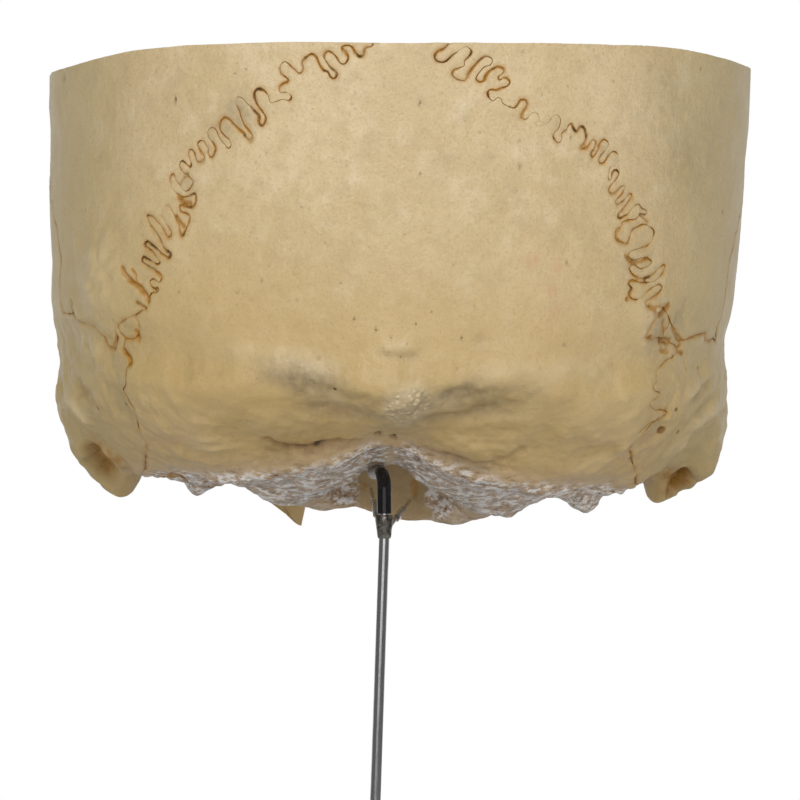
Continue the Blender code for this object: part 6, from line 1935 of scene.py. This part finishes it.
def bone_material():
    """Old ivory-coloured bone with stain, specks, fine grain and brown sutures, and with painted
    glints and painted shade in its colour.
    """
    made = Surface("aged_bone")
    stains_and_shade, looks = made.stored("stains_and_shade"), made.stored("looks")
    pale_and_highlight, rough_and_glinting, _, cut = looks
    noises = {name: made.noise(*settings) for name, settings in BONE_NOISES.items()}
    granular = made.rise(pale_and_highlight, 0.34, 0.95, 0.0, 0.8)
    lump = made.rise(made.cells(GRANULE_MM, made.wobbled())[0], 0.62, 0.15)
    pores = made.rise(made.cells(PORE_MM, made.where)[0], 0.05, 0.22)
    crags = made.math("ADD", made.product(rough_and_glinting, 0.7), made.product(cut, 0.5))
    made.bumps((noises["middle"], 0.50, 0.6), (noises["cloud"], 0.34, 0.8),
               (noises["fine"], 0.12, 0.7), (noises["fibre"], 0.06, 0.6),
               (noises["grain"], 0.06, 0.8), (pores, 0.06, 0.4),
               (lump, 0.35, made.product(granular, 0.9)),
               (noises["glint"], 0.9, made.product(rough_and_glinting, 0.9)), (noises["crag"], 1.0, crags))
    dull = made.rise(noises["middle"], 0.3, 0.7, 0.40, 0.50)
    dull = made.math("SUBTRACT", dull, made.product(rough_and_glinting, 0.24))
    lines = made.stored("lines")[:2]
    return made.finished({
        "Base Color": bone_colour(made, noises, stains_and_shade, looks, lines, granular, lump),
        "Roughness": made.math("ADD", dull, made.product(cut, 0.25)),
        "IOR": 1.5, "Coat Weight": made.product(rough_and_glinting, 0.8), "Coat Roughness": 0.10,
        "Subsurface Weight": 0.05, "Subsurface Radius": (1.0, 0.55, 0.28),
        "Subsurface Scale": 0.0022})


# Bones


def dress(item, body, slot, *nodes):
    """Carry a piece on its body, in place of its CAD nodes."""
    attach(item, body)
    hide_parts(*nodes)
    return item


def vertex_values(data, field, width):
    """Values of a mesh's vertices as rows."""
    values = np.zeros(width * len(data), np.float32)
    data.foreach_get(field, values)
    return values.reshape(-1, width)


def combine(item, tool, operation):
    """Join a tool to an item or cut it away; its shades are kept, and plain where it is new."""
    places = vertex_values(item.data.vertices, "co", 3)
    shades = {name: vertex_values(item.data.attributes[name].data, "color", 4)
              for name in SHADE_NAMES}
    tree = tree_of(places)
    modifier = item.modifiers.new(operation.lower(), "BOOLEAN")
    modifier.operation = operation
    modifier.solver = "EXACT"
    modifier.object = tool
    bpy.context.view_layer.update()
    shaped = item.evaluated_get(bpy.context.evaluated_depsgraph_get())
    mesh = bpy.data.meshes.new_from_object(shaped)
    item.modifiers.clear()
    item.data = mesh
    bpy.data.objects.remove(tool)
    found = [tree.find(vertex.co) for vertex in mesh.vertices]
    new, old = np.array([(k, near[1]) for k, near in enumerate(found) if near[2] < SAME_PLACE]).T
    for name, values in shades.items():
        made = np.zeros((len(mesh.vertices), 4), np.float32)
        made[new] = values[old]
        mesh.attributes[name].data.foreach_set("color", made.ravel())


def facing_out(item, merged=False):
    """Turn the faces of a closed mesh outwards, and first merge its ends where they meet."""
    mesh = bmesh.new()
    mesh.from_mesh(item.data)
    if merged:
        bmesh.ops.remove_doubles(mesh, verts=mesh.verts, dist=0.01 * MM)
        bmesh.ops.dissolve_degenerate(mesh, edges=mesh.edges, dist=0.001 * MM)
    bmesh.ops.recalc_face_normals(mesh, faces=mesh.faces)
    if mesh.calc_volume(signed=True) < 0.0:
        bmesh.ops.reverse_faces(mesh, faces=mesh.faces)
    mesh.to_mesh(item.data)
    mesh.free()
    return item


def closed_rings(name, rings, finish):
    """A mesh through equal rings of points, of which the last is joined to the first."""
    count = len(rings[0])
    faces = []
    for k in range(len(rings)):
        m = (k + 1) % len(rings)
        for i in range(count):
            j = (i + 1) % count
            faces.append((k * count + i, k * count + j, m * count + j, m * count + i))
    return new_mesh(name, np.concatenate(rings), faces, finish)


def loft(name, rings, finish):
    """A closed mesh through equal rings of points, with a flat end at each end."""
    count = len(rings[0])
    faces = []
    for k in range(len(rings) - 1):
        for i in range(count):
            j = (i + 1) % count
            a, b = k * count + i, k * count + j
            faces += [(a, b, b + count), (a, b + count, a + count)]
    last = (len(rings) - 1) * count
    for i in range(1, count - 1):
        faces.append((0, i + 1, i))
        faces.append((last, last + i, last + i + 1))
    return facing_out(new_mesh(name, np.concatenate(rings), faces, finish))


def bar(name, spine, half_sizes, finish, sides=28, lumps_mm=0.25):
    """A bar with an oval, slightly lumpy section along a smooth spine of world points."""
    sizes = rounded_line(half_sizes, 8)
    spine = rounded_line(spine, 8)
    angle = math.tau * np.arange(sides) / sides
    rings = []
    for k, middle in enumerate(spine):
        ahead = spine[min(k + 1, len(spine) - 1)] - spine[max(k - 1, 0)]
        ahead /= np.linalg.norm(ahead)
        across = np.cross(ahead, (0.0, 0.0, 1.0) if abs(ahead[2]) < 0.8 else (0.0, 1.0, 0.0))
        across /= np.linalg.norm(across)
        up = np.cross(across, ahead)
        ring = (middle + across * (sizes[k, 0] * np.cos(angle))[:, None]
                + up * (sizes[k, 1] * np.sin(angle))[:, None])
        lumps = lumps_mm * MM * value_noise(ring, 2.4 * MM, 101)
        rings.append(ring + unit(ring - middle) * lumps[:, None])
    return loft(name, rings, finish)


def plate(name, corners, thickness, finish, columns=14, rows=18):
    """A thin, slightly wavy plate between four world corners, with an uneven free edge."""
    normal = unit(np.cross(corners[1] - corners[0], corners[2] - corners[0]))
    angle = math.tau * np.arange(2 * columns) / (2 * columns)
    across = 0.5 - 0.5 * np.cos(angle)
    rings = []
    for j in range(rows + 1):
        down = j / rows
        start = corners[0] + down * (corners[3] - corners[0])
        end = corners[1] + down * (corners[2] - corners[1])
        thin = np.sin(angle) * (1.0 - 0.35 * down)
        middle = start + across[:, None] * (end - start)
        sag = bumps(middle, ((5.0, 0.5, 111), (1.6, 0.18, 112)), MM)
        edge = down ** 4 * 1.2 * MM * value_noise(middle, 3.0 * MM, 113)
        ring = middle + normal * (0.5 * thickness * thin + sag)[:, None]
        rings.append(ring + unit(corners[3] - corners[0]) * (edge - down ** 4 * 0.8 * MM)[:, None])
    return loft(name, rings, finish)


def in_world(shares, side):
    """World points of places given in shares of half breadth, front length and depth."""
    return fitted(np.array([place_in_skull(place, side) for place in shares]) + skull_centre())


def hole_loop():
    """The foramen magnum as a clockwise ellipse on the disc."""
    return np.array([foramen_point(-math.tau * i / HOLE_SIDES) for i in range(HOLE_SIDES)])


def seams(side, *names):
    """Several sutures of one side."""
    return [seam(name, side) for name in names]


def add_bone(name, lines, finish, extras=DETAIL_PLACES, holes=(), tools=()):
    """A fine bone between its sutures, shaped further by tools, in place of its CAD node."""
    item = fine_bone(name + "_fine", lines, list(holes), finish, extras)
    for tool, operation in tools:
        combine(item, tool, operation)
    if tools:
        shade(item, BONE_SHARP_DEGREES)
    dress(item, "skull", "bone", name + "_bone")


def build_bones():
    """All the bones of the braincase."""
    finish = bone_material()
    behind = ("lambdoid", "sutural medial", "occipitomastoid", "jugular medial", "petro-occipital",
              "torn hole back")
    lines = [cut_line(cut_azimuth("right"), cut_azimuth("left")), *seams("right", *behind),
             SPHENO_OCCIPITAL, *seams("left", *behind[::-1])]
    add_bone("occipital", lines, finish, holes=[hole_loop()])
    for side in BOTH_SIDES:
        az = cut_azimuth(side)
        ends = (az, FRONTAL_END) if side == "right" else (az % 360.0, 180.0 - FRONTAL_END)
        lines = [cut_line(*ends), *seams(side, "coronal", "sphenoparietal", "squamosal",
                                         "parietomastoid", "sutural upper", "lambdoid")]
        add_bone(side + "_parietal", lines, finish)
        lines = seams(side, "sutural upper", "sutural lower", "sutural medial")
        add_bone(side + "_sutural", lines, finish)
        lines = seams(side, "sutural lower", "parietomastoid", "squamosal", "sphenosquamosal",
                      "torn hole side", "petro-occipital", "jugular lateral", "occipitomastoid")
        add_bone(side + "_temporal", lines, finish, tools=temporal_tools(side, finish))
    front = ("coronal", "sphenofrontal", "ethmoid side")
    lines = [cut_line(FRONTAL_END, 180.0 - FRONTAL_END), *seams("left", *front), ETHMOID_FRONT,
             *seams("right", *front[::-1])]
    add_bone("frontal", lines, finish, NO_PLACES)
    lines = [ETHMOID_FRONT, seam("ethmoid side", "left"), ETHMOID_BACK,
             seam("ethmoid side", "right")]
    crest = plate("crest", in_world(CREST_SHARES, "right")[::-1], CREST_THICKNESS, finish, 10, 12)
    add_bone("ethmoid", lines, finish, NO_PLACES, tools=[(crest, "UNION")])
    wing = ("torn hole front", "sphenosquamosal", "sphenoparietal", "sphenofrontal")
    lines = [SPHENO_OCCIPITAL, *seams("right", *wing), ETHMOID_BACK, *seams("left", *wing[::-1])]
    tools = []
    for side in BOTH_SIDES:
        for shares in (OUTER_PTERYGOID_SHARES, INNER_PTERYGOID_SHARES):
            corners = in_world(shares, side)
            if side == "right":
                roots = corners[[1, 0]]
                corners[2:] = roots + SHORT_PLATE_SHARE * (corners[2:] - roots)
            tools.append((plate("plate", corners, PTERYGOID_THICKNESS, finish), "UNION"))
    add_bone("sphenoid", lines, finish, NO_PLACES, tools=tools)


def cut_azimuth(side):
    """Azimuth in degrees at which a lambdoid suture meets the saw cut."""
    start = seam("lambdoid", side)[0]
    return math.degrees(math.atan2(start[1], start[0]))


def temporal_tools(side, finish):
    """Cheek arch root, styloid stump and ear canal of a temporal bone, and what each does to it."""
    thick = 0.5 * CHEEK_ARCH_THICKNESS
    tall = 0.5 * CHEEK_ARCH_HEIGHT
    sizes = [(thick, tall), (thick, tall), (thick, 0.8 * tall), (0.7 * thick, 0.6 * tall)]
    arch = bar("arch", in_world(CHEEK_ARCH_SHARES, side), sizes, finish)
    sizes = [(STYLOID_RADIUS,) * 2, (STYLOID_TIP_RADIUS,) * 2]
    styloid = bar("styloid", in_world(STYLOID_SHARES, side), sizes, finish, 20)
    az, dip = np.radians(EAR_CANAL_DEGREES)
    mouth = shell_points(np.array([az]), np.array([dip]))[0][0]
    inward = np.array(EAR_CANAL_LEAN_SHARES) / np.linalg.norm(EAR_CANAL_LEAN_SHARES)
    mirror = np.array((side_sign(side), 1.0, 1.0))
    ends = [(mouth + way * inward * EAR_CANAL_DEPTH) * mirror for way in (-1.0, 1.0)]
    spine = fitted([lean(end) + skull_centre() for end in ends])
    sizes = [(EAR_CANAL_RADIUS,) * 2, (EAR_CANAL_END_SHARE * EAR_CANAL_RADIUS,) * 2]
    canal = bar("canal", spine, sizes, finish, 28, 0.1)
    return [(arch, "UNION"), (styloid, "UNION"), (canal, "DIFFERENCE")]


def rounded_path(corners, radius, steps=BEND_STEPS):
    """A line through corners, with each corner turned into an arc."""
    points = [np.array(corners[0], float)]
    for before, corner, after in zip(corners[:-2], corners[1:-1], corners[2:]):
        before, corner, after = (np.array(p, float) for p in (before, corner, after))
        into = (corner - before) / np.linalg.norm(corner - before)
        out = (after - corner) / np.linalg.norm(after - corner)
        turn = math.acos(float(np.clip(into @ out, -1.0, 1.0)))
        setback = radius * math.tan(0.5 * turn)
        start = corner - into * setback
        side = out - into * float(into @ out)
        side /= np.linalg.norm(side)
        middle = start + side * radius
        for i in range(steps + 1):
            angle = turn * i / steps
            points.append(middle - side * radius * math.cos(angle)
                          + into * radius * math.sin(angle))
    points.append(np.array(corners[-1], float))
    return points


def carried_frames(points):
    """Two directions square to a line at each of its points, carried along without twist."""
    across = np.array((1.0, 0.0, 0.0))
    frames = []
    for k in range(len(points)):
        ahead = points[min(k + 1, len(points) - 1)] - points[max(k - 1, 0)]
        ahead = ahead / np.linalg.norm(ahead)
        across = across - ahead * (across @ ahead)
        across = across / np.linalg.norm(across)
        frames.append((across, np.cross(ahead, across)))
    return frames


def hook_height():
    """Height of the rod's middle where it passes under the rear rim of the foramen magnum."""
    lowest = math.inf
    for back in np.linspace(0.0, HOOK_REACH, 8):
        for aside in (-1.0, 0.0, 1.0):
            x = aside * (ROD_RADIUS + SLEEVE_GAP + SLEEVE_WALL) + 0.5 * HOOK_ASIDE
            az = np.array([math.atan2(-FORAMEN_REAR - back, x)])
            dip = np.array([math.atan2(BASE_DEPTH, math.hypot(FORAMEN_REAR + back, x))])
            lowest = min(lowest, float(settle(shell_points(az, dip)[0])[0, 2]))
    return lowest - FIT_GAP - ROD_RADIUS - SLEEVE_GAP - SLEEVE_WALL


def foramen_wall(angle_degrees, wall_share):
    """A place on the wall of the foramen magnum, a share of the way from outside to inside."""
    az, dip = chart_angles([foramen_point(math.radians(angle_degrees))])
    outer, inner = shell_points(az, dip)
    return settle(outer + wall_share * (inner - outer))[0]


# Stand
# Painted highlight on the rims of the sleeves, where they turn out of view
RIM_HIGHLIGHT_FACING = (0.62, 0.88)
RIM_HIGHLIGHT_TONE = (0.93, 0.94, 0.95)
CLEAR_TUBE = (0.80, 0.82, 0.83)
DARK_TUBE = (0.018, 0.018, 0.022)
# Outline of the brazed joint: share of its length and of its taper
JOINT_OUTLINE = ((0.0, 0.80), (0.02, 0.92), (0.10, 0.98), (0.35, 0.97), (0.62, 1.00), (0.85, 0.99),
                 (0.97, 0.93), (1.0, 0.86))
PRONG_TAPER = (0.7, 1.0, 1.0, 1.0, 1.0, 1.0, 0.95, 0.45)
SMALL_SIDES = 24
BASE_EDGE_STEPS = 12


def ringed(points, frames, radius, sides):
    """Rings of points about a line; the radius is one number or one for each point."""
    radius = np.broadcast_to(radius, (len(points),))
    angle = math.tau * (np.arange(sides) + 0.5) / sides
    rings = []
    for middle, (across, up), size in zip(points, frames, radius):
        way = across * np.cos(angle)[:, None] + up * np.sin(angle)[:, None]
        rings.append(middle + size * way)
    return rings


def tube(name, points, radius, finish, bore=0.0, sides=48):
    """A rod along a line, or a sleeve when it has a bore."""
    points = [np.array(point, float) for point in points]
    frames = carried_frames(points)
    rings = ringed(points, frames, radius, sides)
    if bore:
        rings += ringed(points, frames, bore, sides)[::-1]
        item = facing_out(closed_rings(name, rings, finish))
    else:
        item = loft(name, rings, finish)
    return shade(item, TUBE_SHARP_DEGREES)


def spotted(name, spots, change, first, second, dull, metallic=0.0):
    """A material of two tones in soft spots, which also change how dull it is."""
    made = Surface(name)
    spots = made.noise(*spots)
    made.finished({"Base Color": made.over(first, (made.rise(spots, *change), second)),
                   "Roughness": made.rise(spots, *dull), "Metallic": metallic})
    return made, spots


def steel_material():
    """Drawn and polished steel wire with faint lengthwise scratches."""
    made, _ = spotted("rod_steel", (6.0, 3.0, 0.6), (0.4, 0.7, 0.0, 0.5), (0.66, 0.66, 0.67),
                      (0.52, 0.52, 0.54), (0.3, 0.8, 0.13, 0.24), 1.0)
    made.bumps((made.noise(0.12, 2.0, 0.6, (1.0, 1.0, 0.02)), 0.003, 0.5))
    return made.material


def sleeve_material(name, tint, transmission):
    """Heat-shrunk tube, clear or nearly black, with a painted highlight on its rims where it turns
    out of view.
    """
    made = Surface(name)
    turned = made.node("ShaderNodeLayerWeight")
    turned.inputs["Blend"].default_value = 0.5
    # Painted highlight: lighter where the surface turns out of view
    rim_highlight = made.rise(turned.outputs["Facing"], *RIM_HIGHLIGHT_FACING)
    made.bumps((made.noise(0.7, 2.0), 0.03, 0.4))
    return made.finished({"Base Color": made.over(tint, (rim_highlight, RIM_HIGHLIGHT_TONE)),
                          "Transmission Weight": transmission, "IOR": 1.46,
                          "Roughness": made.rise(made.noise(1.5, 2.0), 0.3, 0.8, 0.04, 0.12)})


def braze_material():
    """Silver solder with burnt edges."""
    made, spots = spotted("braze", (0.9, 3.0, 0.6), (0.4, 0.65), (0.36, 0.34, 0.31),
                          (0.10, 0.085, 0.07), (0.3, 0.7, 0.14, 0.4), 1.0)
    made.bumps((spots, 0.12, 0.8), (made.noise(0.25, 2.0), 0.03, 0.5))
    return made.material


def paint_material():
    """Black powder coat with fine texture and faint dust."""
    made, _ = spotted("base_paint", (9.0, 4.0, 0.7), (0.45, 0.8, 0.0, 0.5), (0.016, 0.016, 0.018),
                      (0.045, 0.044, 0.042), (0.3, 0.8, 0.34, 0.52))
    made.bumps((made.noise(0.35, 2.0), 0.04, 0.6))
    return made.material


def felt_material():
    """Dark felt with short fibres."""
    made = Surface("felt")
    fibres = made.noise(0.25, 3.0, 0.7, (1.0, 1.0, 3.0))
    made.bumps((fibres, 0.2, 0.8))
    colour = made.over((0.010, 0.018, 0.014), (made.rise(fibres, 0.3, 0.7), (0.045, 0.060, 0.050)))
    return made.finished({"Base Color": colour, "Roughness": 0.95, "Sheen Weight": 0.35})


def plated_material():
    """Turned and plated metal with fine rings from the tool."""
    made, _ = spotted("plated_metal", (5.0, 3.0, 0.6), (0.35, 0.7), (0.64, 0.63, 0.60),
                      (0.52, 0.51, 0.49), (0.3, 0.8, 0.20, 0.34), 1.0)
    made.bumps((made.noise(0.25, 2.0, 0.6, (0.05, 0.05, 1.0)), 0.012, 0.6))
    return made.material


def build_stem():
    """Rod with its hook, the clear sleeve, the prongs and the brazed joint."""
    top = hook_height()
    socket_foot = FELT_THICKNESS + BASE_THICKNESS + SOCKET_FLANGE_THICKNESS
    corners = [(0.0, 0.0, socket_foot + FIT_GAP), (0.0, 0.0, ROD_STRAIGHT_TOP),
               (ROD_LEAN_ASIDE, 0.0, top - JOINT_FOOT_DROP), (ROD_LEAN_ASIDE, 0.0, top),
               (ROD_LEAN_ASIDE + HOOK_ASIDE, HOOK_REACH, top),
               (ROD_LEAN_ASIDE + HOOK_ASIDE, HOOK_REACH, top + HOOK_POST_LENGTH)]
    line = rounded_path(corners, ROD_BEND_RADIUS)
    joint_top = top - JOINT_FOOT_DROP + JOINT_LENGTH
    foot = np.array((ROD_LEAN_ASIDE, 0.0, joint_top + FIT_GAP))
    bend_start = next(i for i, p in enumerate(line) if p[2] > joint_top + FIT_GAP)
    line.insert(bend_start, foot)
    tip = line[-1] - np.array((0.0, 0.0, SLEEVE_END_GAP))
    line.insert(len(line) - 1, tip)
    steel = steel_material()
    clear = sleeve_material("clear_tube", CLEAR_TUBE, 0.92)
    smoked = sleeve_material("smoked_tube", DARK_TUBE, 0.45)
    line.insert(1, line[0] + np.array((0.0, 0.0, 0.25 * ROD_RADIUS)))
    line.insert(len(line) - 1, line[-1] - np.array((0.0, 0.0, 0.3 * ROD_RADIUS)))
    radii = np.full(len(line), ROD_RADIUS)
    radii[0], radii[-1] = 0.8 * ROD_RADIUS, 0.7 * ROD_RADIUS
    dress(tube("rod_fine", line, radii, steel), "stem", "rod_steel", "support_rod")
    bore = ROD_RADIUS + SLEEVE_GAP
    first = next(i for i, p in enumerate(line) if np.allclose(p, foot))
    last = next(i for i, p in enumerate(line) if np.allclose(p, tip))
    sleeve = tube("sleeve_fine", line[first:last + 1], bore + SLEEVE_WALL, smoked, bore)
    dress(sleeve, "stem", "clear_tube", "hook_sleeve")
    points = []
    radii = []
    for share, size in JOINT_OUTLINE:
        taper = JOINT_FOOT_RADIUS + share * (JOINT_TOP_RADIUS - JOINT_FOOT_RADIUS)
        radii.append(max(size * taper, bore + 0.04 * MM))
        points.append((ROD_LEAN_ASIDE, 0.0, joint_top - JOINT_LENGTH + share * JOINT_LENGTH))
    joint = tube("joint_fine", points, np.array(radii), braze_material(), bore)
    dress(joint, "stem", "braze", "braze_joint")
    for side in BOTH_SIDES:
        tip = foramen_wall(PRONG_TIP_DEGREES[side], PRONG_TIP_WALL_SHARES[side])
        tip[1] -= FIT_GAP + PRONG_RADIUS
        aside = side_sign(side) * PRONG_SPREAD
        ahead = math.sqrt((JOINT_TOP_RADIUS + FIT_GAP + PRONG_RADIUS) ** 2 - aside ** 2)
        start = np.array((ROD_LEAN_ASIDE + aside, ahead, joint_top - 0.5 * JOINT_LENGTH))
        shares = (0.0, 0.01, 0.2, *PRONG_SLEEVE_SHARES, 0.8, 0.97, 1.0)
        points = [start + share * (tip - start) for share in shares]
        radii = PRONG_RADIUS * np.array(PRONG_TAPER)
        prong = tube(side + "_prong_fine", points, radii, steel, 0.0, SMALL_SIDES)
        dress(prong, "stem", "rod_steel", side + "_prong")
        bore_size = PRONG_RADIUS + PRONG_SLEEVE_GAP
        cover = tube(side + "_prong_sleeve_fine", points[3:5], bore_size + PRONG_SLEEVE_WALL, clear,
                     bore_size, SMALL_SIDES)
        dress(cover, "stem", "clear_tube", side + "_prong_sleeve")


def lathed(name, profile, finish, sides):
    """A turned ring from a closed profile of radius and height."""
    angle = math.tau * np.arange(sides) / sides
    level = np.ones(sides)
    rings = [np.stack((radius * np.cos(angle), radius * np.sin(angle), height * level), axis=1)
             for radius, height in profile]
    return shade(facing_out(closed_rings(name, rings, finish), True), LATHED_SHARP_DEGREES)


def build_base():
    """Round base with felt; the socket, nut and screw keep their CAD shapes."""
    top = FELT_THICKNESS + BASE_THICKNESS
    felt_radius = BASE_RADIUS - FELT_MARGIN
    felt_top = FELT_THICKNESS - FIT_GAP
    profile = [(0.0, 0.0), (felt_radius - 0.2 * MM, 0.0), (felt_radius, 0.2 * MM),
               (felt_radius, felt_top), (0.0, felt_top)]
    dress(lathed("felt_fine", profile, felt_material(), 128), "base", "felt", "base_felt")
    hole = SOCKET_SHANK_RADIUS + FIT_GAP
    foot = FELT_THICKNESS
    profile = [(hole, foot + RECESS_DEPTH), (RECESS_RADIUS, foot + RECESS_DEPTH),
               (RECESS_RADIUS, foot + 0.4 * MM), (RECESS_RADIUS + 0.4 * MM, foot),
               (BASE_RADIUS - 0.5 * MM, foot), (BASE_RADIUS, foot + 0.5 * MM)]
    for i in range(BASE_EDGE_STEPS + 1):
        angle = 0.5 * math.pi * i / BASE_EDGE_STEPS
        profile.append((BASE_RADIUS - BASE_EDGE_RADIUS * (1.0 - math.cos(angle)),
                        top - BASE_EDGE_RADIUS * (1.0 - math.sin(angle))))
    profile += [(hole + 0.3 * MM, top), (hole, top - 0.3 * MM)]
    dress(lathed("plate_fine", profile, paint_material(), 192), "base", "base_paint", "base_plate")
    metal = plated_material()
    for name in ("socket", "socket_nut", "thumb_screw"):
        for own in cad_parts[name].material_slots:
            own.material = metal


# Picture
# Lamps: place, size in metres and watts
LAMPS = (("key", (0.0, -1.30, 1.00), 0.8, 12.0), ("front", (0.0, -1.70, 0.15), 1.5, 5.2))
LAMP_AIM = (0.005, 0.0, 0.16)
WHITE = (1.0, 1.0, 1.0)
SOFT_TONE = (1.0, 0.985, 0.96)
FLOOR_TONE = (0.86, 0.86, 0.86)
FLOOR_SIDES = 96
FLOOR_RINGS = (0.15, 0.6, 2.4)
# Strengths of the world and shares of the floor: from, to, and the value at each
SOFT_HEIGHTS = (-0.6, 0.6, 1.15, 0.20)
MIRROR_BACK = (0.62, 0.95, 0.13, 1.0)
MIRROR_FRONT = (-0.86, -0.97, 0.0, 0.42)
FLOOR_WHITE = (0.12, 0.5, 0.0, 1.0)
FLOOR_BOUNCE = (0.05, 0.14, 0.0, 0.55)
FLOOR_MIRROR = (1.1, 0.3, 0.0, 0.87)


def lamp(name, place, size, watts):
    """One soft square lamp, turned to the skull."""
    light = bpy.data.lights.new(name, "AREA")
    light.shape = "SQUARE"
    light.size = size
    light.energy = watts
    item = bpy.data.objects.new(name, light)
    bpy.context.scene.collection.objects.link(item)
    item.location = place
    item.rotation_euler = (Vector(LAMP_AIM) - Vector(place)).to_track_quat("-Z", "Y").to_euler()


def pale_world():
    """World that is seen white, lights softly and is mirrored with a bright back and front."""
    world = bpy.data.worlds.new("studio")
    world.use_nodes = True
    made = Nodes(world.node_tree)
    made.tree.nodes.clear()
    way = made.split("XYZ", made.node("ShaderNodeTexCoord").outputs["Generated"])
    rays = made.node("ShaderNodeLightPath").outputs
    behind = made.rise(way["Y"], *MIRROR_BACK)
    ahead = made.rise(way["Y"], *MIRROR_FRONT)
    shaders = []
    for tone, strength in ((SOFT_TONE, made.rise(way["Z"], *SOFT_HEIGHTS)),
                           (WHITE, made.math("MAXIMUM", behind, ahead)), (WHITE, 1.0)):
        light = made.node("ShaderNodeBackground")
        made.put(light.inputs["Color"], tone)
        made.put(light.inputs["Strength"], strength)
        shaders.append(light.outputs[0])
    soft, mirrored, white = shaders
    straight = made.math("MAXIMUM", rays["Is Camera Ray"], rays["Is Transmission Ray"])
    mix = made.mixed(straight, made.mixed(rays["Is Glossy Ray"], soft, mirrored), white)
    made.put(made.node("ShaderNodeOutputWorld").inputs[0], mix)
    return world


def floor_material():
    """Pale floor that keeps the shadow near the object and turns white further off."""
    made = Surface("floor")
    made.finished({"Base Color": FLOOR_TONE, "Roughness": 0.8})
    rays = made.node("ShaderNodeLightPath").outputs
    far = made.node("ShaderNodeVectorMath", operation="LENGTH")
    made.put(far.inputs[0], made.where)
    far = far.outputs["Value"]
    scattered = made.product(rays["Is Diffuse Ray"], made.rise(far, *FLOOR_BOUNCE))
    dim = made.product(rays["Is Glossy Ray"],
                       made.rise(made.split("XYZ", made.where)["Y"], *FLOOR_MIRROR))
    glow = made.node("ShaderNodeEmission")
    made.put(glow.inputs["Strength"], made.math("SUBTRACT", 1.0, dim))
    share = made.math("MAXIMUM", made.rise(far, *FLOOR_WHITE), scattered)
    mix = made.mixed(share, made.shader.outputs[0], glow.outputs[0])
    made.put(made.tree.nodes["Material Output"].inputs["Surface"], mix)
    return made.material


def build_floor():
    """Round floor under the object, in rings."""
    angle = math.tau * np.arange(FLOOR_SIDES) / FLOOR_SIDES
    mesh = bmesh.new()
    middle = mesh.verts.new((0.0, 0.0, 0.0))
    rings = [[mesh.verts.new((size * math.cos(turn), size * math.sin(turn), 0.0)) for turn in angle]
             for size in FLOOR_RINGS]
    for i in range(FLOOR_SIDES):
        j = (i + 1) % FLOOR_SIDES
        mesh.faces.new((middle, rings[0][i], rings[0][j]))
        for near, far in zip(rings[:-1], rings[1:]):
            mesh.faces.new((near[i], far[i], far[j], near[j]))
    data = bpy.data.meshes.new("floor")
    mesh.to_mesh(data)
    mesh.free()
    floor = bpy.data.objects.new("floor", data)
    bpy.context.scene.collection.objects.link(floor)
    data.materials.append(floor_material())


def studio():
    """Camera, lamps, world and floor."""
    scene = bpy.context.scene
    scene.view_settings.view_transform = "Standard"
    camera = bpy.data.cameras.new("camera")
    camera.sensor_width = SENSOR_WIDTH_MM
    camera.lens = FOCAL_PIXELS * SENSOR_WIDTH_MM / PICTURE_PIXELS
    camera.clip_end = 50.0
    item = bpy.data.objects.new("camera", camera)
    scene.collection.objects.link(item)
    item.location = CAMERA_PLACE
    item.rotation_euler = (0.5 * math.pi, 0.0, 0.0)
    scene.camera = item
    for row in LAMPS:
        lamp(*row)
    scene.world = pale_world()
    build_floor()


build_bones()
build_stem()
build_base()
studio()
